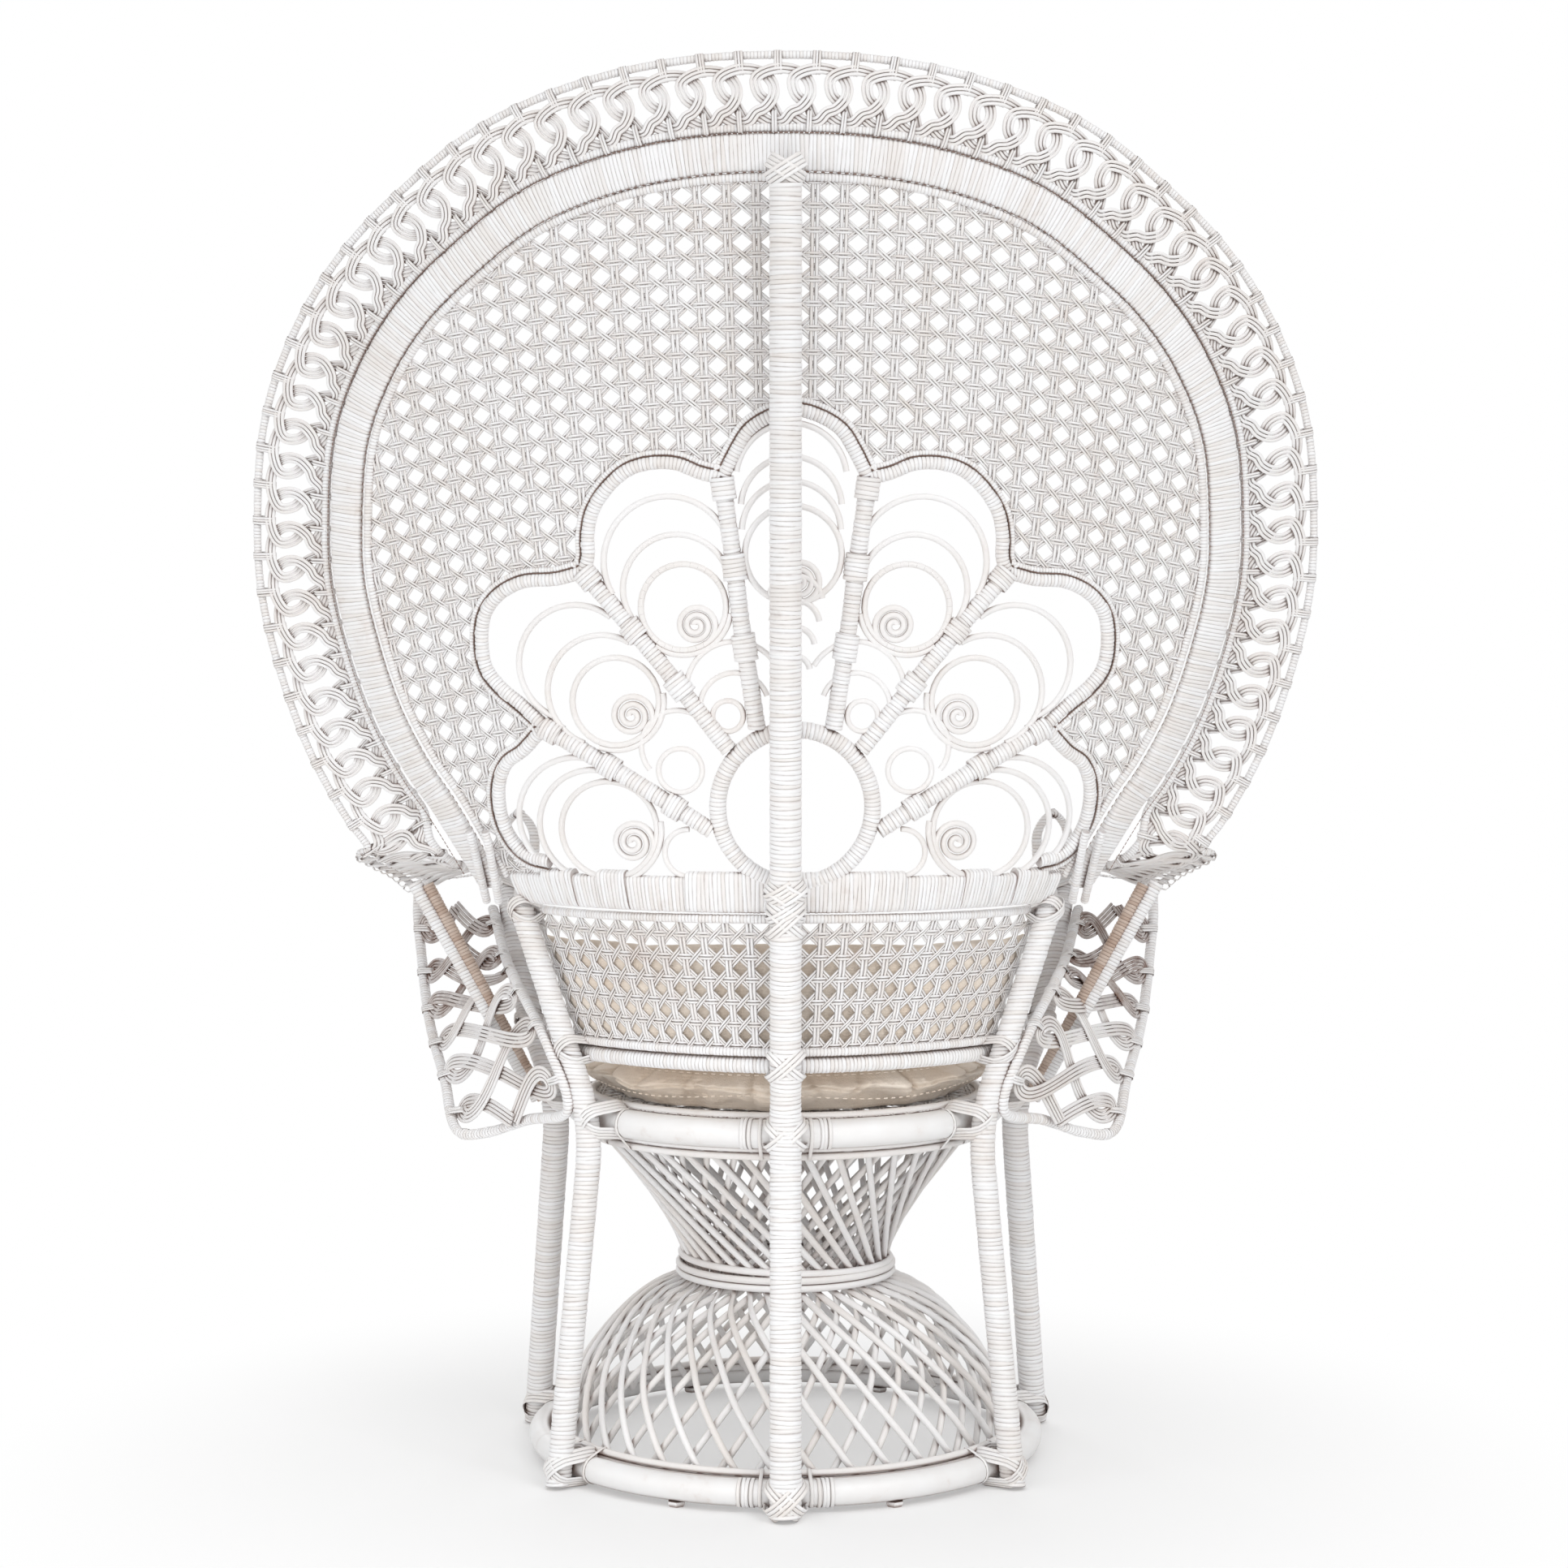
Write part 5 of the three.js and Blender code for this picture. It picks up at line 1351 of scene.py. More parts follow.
@dataclass
class Weave:
    """Six-way cane webbing: upright and level pairs of strips, and pairs along both diagonals.

    The pattern lies in a plan of p across and q up, in millimetres, which the caller maps onto a
    surface. One unit of height is the lift of one strip over another. An offset is half the distance
    between the two strips of a pair.
    """

    cell_width: float = 26.0
    cell_height: float = 24.5
    unit_lift: float = 0.85
    upright_offset: float = 2.15
    level_offset: float = 1.75
    slanting_offset: float = 1.4

    def under_shade(self, lift: Array) -> Array:
        """Returns the painted shade along a strip, darker where it passes under others."""
        return np.clip(0.25 - 0.45 * lift, 0, 0.8)

    def lines(self, low: tuple[float, float], high: tuple[float, float]) -> dict[str, list[Array]]:
        """Lays out the strips over a rectangle of the plan.

        Args:
            low: Lowest p and q.
            high: Highest p and q.

        Returns:
            For each kind of strip, its lines as rows of p, q and height.
        """
        width, height = self.cell_width, self.cell_height
        columns = range(math.floor(low[0] / width) - 1, math.ceil(high[0] / width) + 2)
        rows = range(math.floor(low[1] / height) - 1, math.ceil(high[1] / height) + 2)
        steps_up = np.arange(rows[0] * 4, rows[-1] * 4 + 1) * height / 4
        steps_across = np.arange(columns[0] * 4, columns[-1] * 4 + 1) * width / 4
        kinds: dict[str, list[Array]] = {"upright": [], "level": [], "rising": [], "falling": []}
        for column in columns:
            for offset in (-self.upright_offset, self.upright_offset):
                lift = 0.25 - 0.75 * np.cos(2 * np.pi * steps_up / height)
                kinds["upright"].append(np.stack([
                    np.full(len(steps_up), column * width + offset), steps_up, lift], axis=1))
        for row in rows:
            for offset in (-self.level_offset, self.level_offset):
                lift = -0.25 + 0.75 * np.cos(2 * np.pi * steps_across / width)
                kinds["level"].append(np.stack([
                    steps_across, np.full(len(steps_across), row * height + offset), lift], axis=1))
        slope = height / width
        reach = math.ceil((steps_across[-1] - steps_across[0]) / width) + 1
        turned = math.hypot(1, slope)
        for row in range(rows[0] - reach, rows[-1] + reach):
            for offset in (-self.slanting_offset, self.slanting_offset):
                shift = offset * turned
                start = (row + 0.5) * height
                rise = slope * (steps_across - steps_across[0])
                lift = -np.cos(2 * np.pi * steps_across / width)
                first = round(steps_across[0] / width) * height
                kinds["rising"].append(np.stack([steps_across, start + first + rise + shift, lift], axis=1))
                kinds["falling"].append(np.stack([
                    steps_across, start - first - rise + shift, 0 * lift], axis=1))
        return kinds


# Half widths and half thickness of the strips in millimetres
HALF_THICKNESS = 0.4
HALF_WIDTHS = {"upright": 2.0, "level": 1.55, "rising": 1.3, "falling": 1.3}


def inside(points: Array, outline: Array) -> Array:
    """Says which flat points lie inside a closed outline.

    Args:
        points: Points, one row each.
        outline: Corners of the outline in order.

    Returns:
        One truth value for each point.
    """
    result = np.zeros(len(points), bool)
    x, y = points[:, 0], points[:, 1]
    following = np.roll(outline, -1, axis=0)
    for (x0, y0), (x1, y1) in zip(outline, following):
        if y0 == y1:
            continue
        crosses = (y0 > y) != (y1 > y)
        result ^= crosses & (x < (x1 - x0) * (y - y0) / (y1 - y0) + x0)
    return result


def clipped(line: Array, keep: Callable[[Array], Array]) -> list[Array]:
    """Cuts a line of plan points to the parts that a test keeps.

    Args:
        line: Rows of p, q and height.
        keep: Function that takes rows and returns one truth value for each.

    Returns:
        The kept runs, cut close to the edge.
    """
    flags = keep(line)
    changes = np.nonzero(flags[1:] != flags[:-1])[0]
    if len(changes) == 0:
        return [line] if flags[0] else []
    cuts = []
    for index in changes:
        inner, outer = (line[index], line[index + 1]) if flags[index] else (line[index + 1], line[index])
        for _ in range(6):
            middle = (inner + outer) / 2
            if keep(middle[None, :])[0]:
                inner = middle
            else:
                outer = middle
        cuts.append(inner)
    runs = []
    bounds = [-1, *changes, len(line) - 1]
    for order in range(len(bounds) - 1):
        start, stop = bounds[order] + 1, bounds[order + 1] + 1
        if not flags[start]:
            continue
        run = [line[start:stop]]
        if order > 0:
            run.insert(0, cuts[order - 1][None, :])
        if order < len(bounds) - 2:
            run.append(cuts[order][None, :])
        whole = np.vstack(run)
        if len(whole) > 1 and np.linalg.norm(whole[-1, :2] - whole[0, :2]) > 3:
            runs.append(whole)
    return runs


@dataclass
class Barrel:
    """The round wall behind the seat: hem hoop, two thin hoops and webbing between them."""

    shop: Workshop
    hem_height: float = 464.0
    low_hoop: float = 478.3
    high_hoop: float = 620.0
    front_high_hoop: float = 638.0
    # Radius of the hem, and how far its middle stands off the legs
    hem: float = 9.0
    hem_seat: float = 8.4
    web_rise: float = 132.0
    web_rows: float = 5.5
    # The webbing runs on this far beyond its edges, under the hoops
    tuck: float = 3.0

    def webbing(self) -> None:
        """Builds the webbing, whose columns stand upright round the wall."""
        low, high = SKELETON.wall()
        span, rise = high.length, self.web_rise

        def surface(plan: Array) -> Array:
            """Lays rows of p, q and height on the wall.

            Args:
                plan: The rows.

            Returns:
                The points.
            """
            share = plan[:, 0] / span
            level = plan[:, 1:2] / rise
            return low.at(share * low.length) * (1 - level) + high.at(share * high.length) * level

        def keep(plan: Array) -> Array:
            """Says which rows lie on the wall."""
            across = (plan[:, 0] > 2) & (plan[:, 0] < span - 2)
            return across & (plan[:, 1] > -self.tuck) & (plan[:, 1] < rise + self.tuck)

        weave = Weave(cell_width=span / round(span / Weave.cell_width), cell_height=rise / self.web_rows)
        routes: dict[str, list[Route]] = {}
        for kind, lines in weave.lines((0, 0), (span, rise)).items():
            tones = random_tones(len(lines), 60 + len(kind))
            for tone, line in zip(tones, lines):
                for run in clipped(line, keep):
                    step = np.array([[1.0, 0, 0]])
                    across = surface(run + step) - surface(run - step)
                    upward = surface(run + step[:, [1, 0, 2]]) - surface(run - step[:, [1, 0, 2]])
                    facing = unit(np.cross(across, upward))
                    facing *= np.sign((facing * surface(run) * [1, 1, 0]).sum(axis=1, keepdims=True))
                    points = surface(run) + facing * run[:, 2:3] * weave.unit_lift
                    shade = weave.under_shade(run[:, 2])
                    routes.setdefault(kind, []).append(Route(points, facing, False, float(tone), shade))
        for order, (kind, group) in enumerate(routes.items()):
            self.shop.sweep(f"barrel_cane_{kind}", group, HALF_THICKNESS, self.shop.strip, Slot.WEBBING,
                            ("barrel_webbing",) if order == 0 else (), half_width=HALF_WIDTHS[kind], sides=4,
                            squareness=0.5)

    def build(self) -> None:
        """Builds the hoops and the webbing."""
        thin = SKELETON.thin_hoop
        hem = SKELETON.barrel_curve(self.hem_height, self.hem_seat)
        self.shop.wind("wrapped_hem_hoop", [Route(hem, [0.0, 0.0, 1.0])], self.hem, nodes=("seat_hem_hoop",),
                       sides=12, seed=21)
        low = SKELETON.barrel_curve(self.low_hoop, thin)
        self.shop.wind("wrapped_low_hoop", [Route(low, [0.0, 0.0, 1.0])], thin, nodes=("barrel_lower_hoop",),
                       pitch=3.8, sides=8, seed=22, groove=0.7)
        high = SKELETON.barrel_curve(self.high_hoop, thin, self.front_high_hoop)
        self.shop.wind("wrapped_high_hoop", [Route(high, [0.0, 0.0, 1.0])], thin, nodes=("barrel_upper_hoop",),
                       pitch=3.8, sides=8, seed=23, groove=0.7)
        self.webbing()
        self.shop.sweep("barrel_lashings", self.lashings(), 0.5, self.shop.strip, Slot.WEBBING, half_width=2.1,
                        sides=6, squareness=0.7)

    def lashings(self) -> list[Route]:
        """Lays the strips that bind the hoops to the legs.

        Returns:
            One route for each strip.
        """
        routes = []
        legs = [(SKELETON.rear_post, SKELETON.rear_post_stations())]
        legs += [(SKELETON.rear_leg, SKELETON.rear_leg_stations(side)) for side in (1, -1)]
        legs += [(SKELETON.front_leg, SKELETON.front_leg_stations(side)) for side in (1, -1)]
        for order, (leg, stations) in enumerate(legs):
            for height, hoop in ((self.hem_height + 3, self.hem), (self.high_hoop - 2, SKELETON.thin_hoop)):
                centre = SKELETON.centre(stations, height)
                upward = unit(SKELETON.centre(stations, height + 10) - centre)
                outward = unit(centre * np.array([1, 1, 0]))
                tangent = np.cross(outward, [0, 0, 1.0])
                contact = centre - outward * (leg + SKELETON.fit_gap)
                routes += lashed(contact, upward, tangent, outward, leg, hoop, 3, 130 + 9 * order)
        return routes


@dataclass
class FanBack:
    """The waist band, the wide band and the hoops round the fan."""

    shop: Workshop
    # Half thickness of both bands, their half width, and the radii of hoops and rim
    wide_band: float = 6.4
    waist_band: float = 6.6
    half_width: float = 19.6
    hoop: float = 4.9
    rim: float = 4.5
    waist_reach: float = 292.0
    waist_height: float = 645.0
    # The hoops' ends below the fan: places across it at the top and at the foot, heights, and lift
    ends: tuple = ((338.0, 323.5), (319.0, 308.5))
    end_heights: tuple[float, float] = (712.0, 633.0)
    end_lift: float = 11.0
    # Strips of painted shade beside the band: distance from its middle, their step, and the part of it that shows
    gap_shade_lines: tuple = ((19.3, 5.2, 0.7), (-19.4, 8.0, 0.4))
    gap_shade_lift: float = 4.3
    # Lashings on the post: height, half thickness of what it is bound to, and strands
    post_ties: tuple = ((650.0, 7.5, 5), (630.0, 5.5, 3), (1383.0, 7.0, 4))

    def build(self) -> None:
        """Builds the bands and hoops."""
        shop = self.shop
        shares = np.linspace(0, 1, 240)
        band = FAN.beside(0, shares)
        shop.wind("wrapped_wide_band", [Route(band, FAN.up_on(band))], self.wide_band, nodes=("fan_band",),
                  width=self.half_width, sides=20, squareness=0.62, seed=31, pitch=4.2, groove=0.8, tilt=0.05,
                  uneven=0.5)
        inner = FAN.beside(-FAN.hoop_offset, shares)
        shop.wind("wrapped_inner_hoop", [Route(inner, FAN.up_on(inner))], self.hoop, nodes=("fan_inner_hoop",),
                  pitch=3.7, sides=8, seed=32, groove=0.7)
        outer = FAN.hoop(FAN.hoop_offset, FAN.inner_shares).even(6)
        shop.wind("wrapped_outer_hoop", [Route(outer, [0.0, 1.0, 0.0])], self.hoop, nodes=("fan_outer_hoop",),
                  pitch=3.7, sides=8, seed=33, groove=0.7)
        rim = FAN.hoop(FAN.rim_offset, FAN.outer_shares).even(6)
        shop.wind("wrapped_rim", [Route(rim, [0.0, 1.0, 0.0])], self.rim, nodes=("rim_hoop",), pitch=3.6, sides=8,
                  seed=34, groove=0.7)
        across = np.linspace(-self.waist_reach, self.waist_reach, 90)
        waist = FAN.on(across, np.full(90, self.waist_height))
        shop.wind("wrapped_waist_band", [Route(waist, FAN.up_on(waist))], self.waist_band, nodes=("waist_band",),
                  width=self.half_width, sides=20, squareness=0.55, seed=35, pitch=4.3, groove=0.9, tilt=0.03,
                  uneven=0.5)
        ends = []
        for side in Side:
            for top, foot in self.ends:
                across = self.hoop_end(top, foot) * side.value
                points = FAN.on(across, np.linspace(*self.end_heights, 14), self.end_lift)
                swell = np.array([1.0] * 11 + [0.98, 0.88, 0.6])
                ends.append(Route(points, FAN.up_on(points), swell=swell))
        shop.wind("wrapped_hoop_ends", ends, self.hoop, pitch=3.7, sides=10, seed=36, groove=0.8)
        self.seams()
        self.post_lashings()

    def hoop_end(self, top: float, foot: float) -> Array:
        """Returns places across the fan from the top to the foot of a hoop's end."""
        return top + (foot - top) * np.linspace(0, 1, 14) ** 0.8

    def seams(self) -> None:
        """Builds the dark strips of painted shade that show between the wide band and its hoops."""
        routes = []
        for offset, step, part in self.gap_shade_lines:
            line = Line(FAN.beside(offset, np.linspace(0.01, 0.99, 400)))
            marks = np.arange(4, line.length - 8, step)
            for mark in marks:
                points = line.at(np.linspace(mark, mark + step * part, 4))
                for lift in (self.gap_shade_lift, -self.gap_shade_lift):
                    facing = FAN.up_on(points)
                    routes.append(Route(points + facing * lift, facing))
        self.shop.sweep("band_seams", routes, 0.5, self.shop.thread, Slot.WRAPPED, half_width=0.5, sides=4)

    def post_lashings(self) -> None:
        """Builds the strips that bind the rear post to the fan."""
        routes = []
        stations = SKELETON.rear_post_stations()
        for height, behind, strands in self.post_ties:
            centre = SKELETON.centre(stations, height)
            upward = unit(SKELETON.centre(stations, height - 30) - centre) * -1
            outward = unit(np.cross(upward, [-1.0, 0, 0]))
            outward = outward if outward[1] > 0 else -outward
            contact = centre - outward * (SKELETON.rear_post + SKELETON.fit_gap)
            routes += lashed(contact, upward, [1.0, 0, 0], outward, SKELETON.rear_post, behind, strands,
                             int(height), lean=58.0)
        self.shop.sweep("post_lashings", routes, 0.5, self.shop.strip, Slot.WEBBING, half_width=2.1, sides=6,
                        squareness=0.7)


@dataclass
class Fringe:
    """Interlaced loops of three rods, which run along both arms and round the fan."""

    shop: Workshop
    fan_loops: int = 62
    arm_loops: int = 9
    # Middle line of one loop: along the hoop, outwards, and lift towards the rear, in millimetres
    loop: tuple = (
        (-4.3, -3.8, -1.6), (-13.5, 11.7, -2.6), (-27, 23.4, 0), (-28.8, 38.8, 1.4), (-7.4, 48, 2.4), (13.5, 46, -2.4),
        (23.5, 33.6, 0), (24.2, 20, 2.0), (15.2, 7.6, 2.6), (5.8, 3.4, 2.4), (-3.1, -5.8, 1.6), (-16.3, -5.7, 0.4),
        (-29.4, 1, -0.6))
    period: float = 36.5
    rod: float = 1.95
    rod_step: float = 4.1
    # How far the loops' base line lies from the band's middle, and how much wider they are laid
    foot: float = 35.8
    widening: float = 1.05
    # Distance between the fringe's edges and the rails, and between its ends and those of the arms
    edge_inset: float = 5.5
    front_inset: float = 12.0
    # Ties of a loop: place along it, distance outwards, the hoop's share across, its radius, turns
    tie_places: tuple = ((-0.33, 0.6, -0.085, 5.0, 2), (-0.2, 49.5, 1.105, 4.6, 3))
    lines: dict[float, Line] = field(default_factory=dict)

    def place(self, loops: Array, share: Array) -> Array:
        """Maps places in the fringe onto it.

        Args:
            loops: Place along the fringe, counted in loops from the left arm's front.
            share: Place across it, 0 at its inner edge.

        Returns:
            The points.
        """
        edges = []
        for shares, offset, out_by in (
                (FAN.inner_shares, FAN.fringe_start, self.edge_inset),
                (FAN.outer_shares, FAN.fringe_start + FAN.fringe_width, -self.edge_inset)):
            line = self.lines[offset] if offset in self.lines else FAN.hoop(offset, shares, out_by)
            self.lines[offset] = line
            start = line.marks[len(shares) * FAN.hoop_steps]
            marks = [self.front_inset, start, line.length - start, line.length - self.front_inset]
            counts = [0, self.arm_loops, self.arm_loops + self.fan_loops, 2 * self.arm_loops + self.fan_loops]
            edges.append(line.at(np.interp(loops, counts, marks)))
        share = np.asarray(share)[:, None]
        return edges[0] * (1 - share) + edges[1] * share

    def share_at(self, out: Array | float) -> Array | float:
        """Returns the share across the fringe at a distance outwards from the loops' base line."""
        return (self.foot + out - FAN.fringe_start) / FAN.fringe_width

    def build(self) -> None:
        """Builds the loops and their ties."""
        total = 2 * self.arm_loops + self.fan_loops
        run = []
        for index in range(total, -1, -1):
            for along, out, lift in self.loop:
                run.append([index * self.period + along, out * self.widening, lift])
        plan = smooth(np.array(run), 5)[::-1]
        per_loop = 5 * len(self.loop)
        loop_number = np.arange(len(plan)) // per_loop
        loops = plan[:, 0] / self.period
        share = self.share_at(plan[:, 1])
        inside_run = (loops > 0.2) & (loops < total - 0.2)
        first, last = np.nonzero(inside_run)[0][[0, -1]]
        loops, share, lift = loops[first:last], share[first:last], plan[first:last, 2]
        loop_number = loop_number[first:last]
        points = self.place(loops, share)
        across = self.place(loops, share + 0.1) - self.place(loops, share - 0.1)
        ahead = self.place(loops + 0.1, share) - self.place(loops - 0.1, share)
        facing = unit(np.cross(across, ahead))
        facing *= np.where(facing[:, 1:2] * 1.0 + facing[:, 2:3] * 0.6 < 0, -1, 1)
        tangent = unit(np.gradient(points, axis=0))
        beside = unit(np.cross(tangent, facing))
        centre = points + facing * lift[:, None]
        middle_loop, last_fan_loop = self.arm_loops + self.fan_loops / 2, self.arm_loops + self.fan_loops
        bounds = [0.0, self.arm_loops, middle_loop, last_fan_loop, total + 1.0]
        names = (("arm_loops_left", ("arm_fringe_left",)), ("fan_loops_left", ("fan_fringe",)), ("fan_loops_right", ()),
                 ("arm_loops_right", ("arm_fringe_right",)))
        shade = np.clip(0.18 - 0.05 * lift, 0, 0.4)
        for (name, nodes), low, high in zip(names, bounds[:-1], bounds[1:]):
            chosen = np.nonzero((loop_number >= low) & (loop_number < high))[0]
            piece_run = slice(chosen[0], chosen[-1] + 2)
            routes = [Route((centre + beside * offset)[piece_run], facing[piece_run], False, 0.3 + 0.2 * order,
                            shade[piece_run])
                      for order, offset in enumerate((-self.rod_step, 0.0, self.rod_step))]
            self.shop.sweep(name, routes, self.rod, self.shop.bare, Slot.BARE, nodes, sides=6)
        self.ties(total)

    def ties(self, total: int) -> None:
        """Builds the strips that hold each loop to the hoops below and above it.

        Args:
            total: Number of loops.
        """
        routes = []
        chance = np.random.default_rng(71)
        for index in range(1, total):
            for offset, out, hoop_share, pole, turns in self.tie_places:
                place = index + offset
                foot_share = self.share_at(out * self.widening)
                foot, hoop = self.place(np.array([place, place]), np.array([foot_share, hoop_share]))
                along = self.place(np.array([place + 0.1, place - 0.1]), np.array([foot_share, foot_share]))
                axis, outward = unit(along[0] - along[1]), unit(hoop - foot)
                deep = unit(np.cross(axis, outward))
                length = float(np.linalg.norm(hoop - foot))
                for turn in range(turns):
                    shift = axis * ((turn - (turns - 1) / 2) * 2.7 + chance.uniform(-0.3, 0.3))
                    routes.append(bound(foot + shift, outward, deep, ((0, 0, 6.5, 2.6), (length, 0, pole, pole)),
                                        float(chance.random()), 0.6, 12, 0.1))
        self.shop.sweep("fringe_ties", routes, 0.45, self.shop.strip, Slot.WEBBING, half_width=1.4, sides=4,
                        squareness=0.6)


@dataclass
class Flower:
    """The seven-petalled flower: centre ring, spokes, arches and bare scrolls."""

    shop: Workshop
    axis: float = -10.0
    half_width: float = 333.0
    rise: float = 411.0
    base_height: float = 738.0
    ring_radius: float = 81.0
    ring_thickness: float = 9.3
    # Radii of arches, piping and scrolls, and where arch, seam and piping lie beside the petal's line
    arch: float = 7.4
    piping: float = 3.1
    scroll: float = 3.35
    small_scroll: float = 3.0
    arch_offset: float = -1.7
    seam_offset: float = 5.6
    seam_lift: float = 2.9
    piping_offset: float = 8.6
    piping_lift: float = 1.0
    petals: dict = field(default_factory=lambda: {
        "upper": ((0.228, 0.832), (0.294, 0.845), (0.366, 0.868), (0.45, 0.87), (0.525, 0.852), (0.594, 0.803),
                  (0.637, 0.747), (0.652, 0.686), (0.652, 0.633), (0.666, 0.6)),
        "side": ((0.666, 0.6), (0.75, 0.583), (0.856, 0.577), (0.937, 0.545), (0.985, 0.496), (1, 0.423),
                 (0.985, 0.35), (0.94, 0.302), (0.87, 0.255), (0.8, 0.204)),
        "lower": ((0.8, 0.204), (0.87, 0.144), (0.925, 0.112), (0.955, 0.06), (0.96, 0), (0.945, -0.06),
                  (0.905, -0.115), (0.855, -0.145), (0.79, -0.1565)),
        "top": ((0.228, 0.832), (0.186, 0.9), (0.144, 0.951), (0.07, 0.987), (0, 1), (-0.07, 0.987),
                (-0.144, 0.951), (-0.186, 0.9), (-0.228, 0.832))})
    spokes: dict = field(default_factory=lambda: {
        "top": ((0.228, 0.832), (0.189, 0.603), (0.171, 0.482), (0.117, 0.195)),
        "upper": ((0.666, 0.6), (0.456, 0.4), (0.245, 0.172)),
        "side": ((0.8, 0.204), (0.459, 0.039), (0.246, -0.058))})

    def flat(self, shares: tuple, side: int) -> Array:
        """Returns X and Z of places given as shares of the flower's half width and rise."""
        return np.array([[self.axis + side * out * self.half_width, self.base_height + up * self.rise]
                         for out, up in shares])

    def route(self, flat: Array, lift: float = 0.0, closed: bool = False, **marks: object) -> Route:
        """Lays a flat line of X and Z on the fan."""
        points = FAN.on(flat[:, 0], flat[:, 1], lift)
        return Route(points, FAN.normal(flat[:, 0], flat[:, 1]), closed, **marks)

    def curve(self, flat: Array, step: float = 4.0) -> Array:
        """Returns a smooth flat line through places, with even steps."""
        line = Line(np.column_stack([smooth(flat, 16), np.zeros(16 * (len(flat) - 1) + 1)]))
        return line.even(step)[:, :2]

    def beside(self, flat: Array, offset: float) -> Array:
        """Moves a flat line sideways.

        Args:
            flat: Rows of X and Z.
            offset: Distance, away from the flower's middle.

        Returns:
            The moved rows.
        """
        tangent = unit(np.gradient(flat, axis=0))
        outward = np.stack([tangent[:, 1], -tangent[:, 0]], axis=1)
        middle = np.array([self.axis, self.base_height])
        if ((flat - middle) * outward).sum() < 0:
            outward = -outward
        return flat + outward * offset

    def arches(self) -> None:
        """Builds each petal's wrapped arch, its thin outer piping, and painted shade in the seam between them."""
        piping, seams = [], []
        names = [("top", 1, "top")] + [(petal, side.value, f"{petal}_{side.name.lower()}")
                                       for petal in ("upper", "side", "lower") for side in Side]
        for order, (petal, side, name) in enumerate(names):
            flat = self.curve(self.flat(self.petals[petal], side))
            main = self.beside(flat, self.arch_offset)
            self.shop.wind(f"wrapped_arch_{name}", [self.route(main)], self.arch, nodes=(f"petal_arch_{name}",),
                           pitch=4.0, sides=12, seed=50 + order, groove=0.8)
            piping.append(self.route(self.beside(flat, self.piping_offset), self.piping_lift))
            seams.append(self.route(self.beside(flat, self.seam_offset), self.seam_lift))
        self.shop.wind("arch_piping", piping, self.piping, pitch=3.3, sides=8, seed=61, groove=0.5)
        # Dark strips of painted shade in the seams between arch and piping
        self.shop.sweep("arch_seams", seams, 0.5, self.shop.thread, Slot.WRAPPED, half_width=0.5, sides=4)

    def spoke_lines(self) -> dict[str, Array]:
        """Lays out the spokes.

        Returns:
            The flat line of each, from the arches down to the centre ring.
        """
        lines = {}
        middle = np.array([self.axis, self.base_height])
        for spoke, shares in self.spokes.items():
            for side in Side:
                flat = self.flat(shares, side.value)
                start = middle + unit(flat[-1] - middle) * (self.ring_radius + self.ring_thickness + 0.5)
                flat = np.vstack([flat[:-1], start])
                lines[f"{spoke}_{side.name.lower()}"] = self.curve(flat)
        return lines

    def frame(self) -> None:
        """Builds the centre ring and the spokes."""
        angle = np.linspace(0, 2 * np.pi, 72, endpoint=False)
        ring = np.stack([self.axis + self.ring_radius * np.sin(angle),
                         self.base_height - self.ring_radius * np.cos(angle)], axis=1)
        self.shop.wind("wrapped_centre_ring", [self.route(ring, closed=True)], self.ring_thickness,
                       nodes=("centre_ring",), sides=12, seed=41, pitch=4.3)
        for order, (name, flat) in enumerate(self.spoke_lines().items()):
            self.shop.wind(f"wrapped_spoke_{name}", [self.route(flat)], 10.3, width=9.6, nodes=(f"spoke_{name}",),
                           sides=12, seed=80 + order, pitch=4.4, groove=1.0, uneven=0.6, tilt=0.09)

    def circle(self, centre: tuple[float, float], radius: float, start: float, stop: float, side: int) -> Array:
        """Returns a flat arc.

        Args:
            centre: Distance outwards from the flower's axis, and height, in millimetres.
            radius: Its radius.
            start: Its first angle in degrees, from outward towards up.
            stop: Its last angle.
            side: 1 on the left, -1 on the right.

        Returns:
            Rows of X and Z.
        """
        angle = np.radians(np.linspace(start, stop, max(8, int(abs(stop - start) / 6))))
        across = self.axis + side * (centre[0] + radius * np.cos(angle))
        return np.stack([across, centre[1] + radius * np.sin(angle)], axis=1)

    def snail(self, loop: tuple[float, float, float], eye: tuple[float, float, float], start: float,
              side: int) -> Array:
        """Returns a loop that runs round and winds up in an eye.

        Args:
            loop: Distance outwards, height and radius of the loop.
            eye: The same for the eye.
            start: Angle in degrees at which the loop starts.
            side: 1 on the left, -1 on the right.

        Returns:
            Rows of X and Z.
        """
        touch = math.degrees(math.atan2(eye[1] - loop[1], eye[0] - loop[0])) - 360
        angle = np.linspace(start, touch, 60)
        round_part = np.stack([loop[0] + loop[2] * np.cos(np.radians(angle)),
                               loop[1] + loop[2] * np.sin(np.radians(angle))], axis=1)
        outer = loop[2] - math.hypot(eye[0] - loop[0], eye[1] - loop[1])
        turns = 2.6
        wound = np.linspace(touch, touch - 360 * turns, 70)[1:]
        tight = np.linspace(outer, 2.4, 70)[1:]
        eye_part = np.stack([eye[0] + tight * np.cos(np.radians(wound)), eye[1] + tight * np.sin(np.radians(wound))],
                            axis=1)
        whole = np.vstack([round_part, eye_part])
        return np.stack([self.axis + side * whole[:, 0], whole[:, 1]], axis=1)

    def scrolls(self) -> None:
        """Builds the bare rods in the petals."""
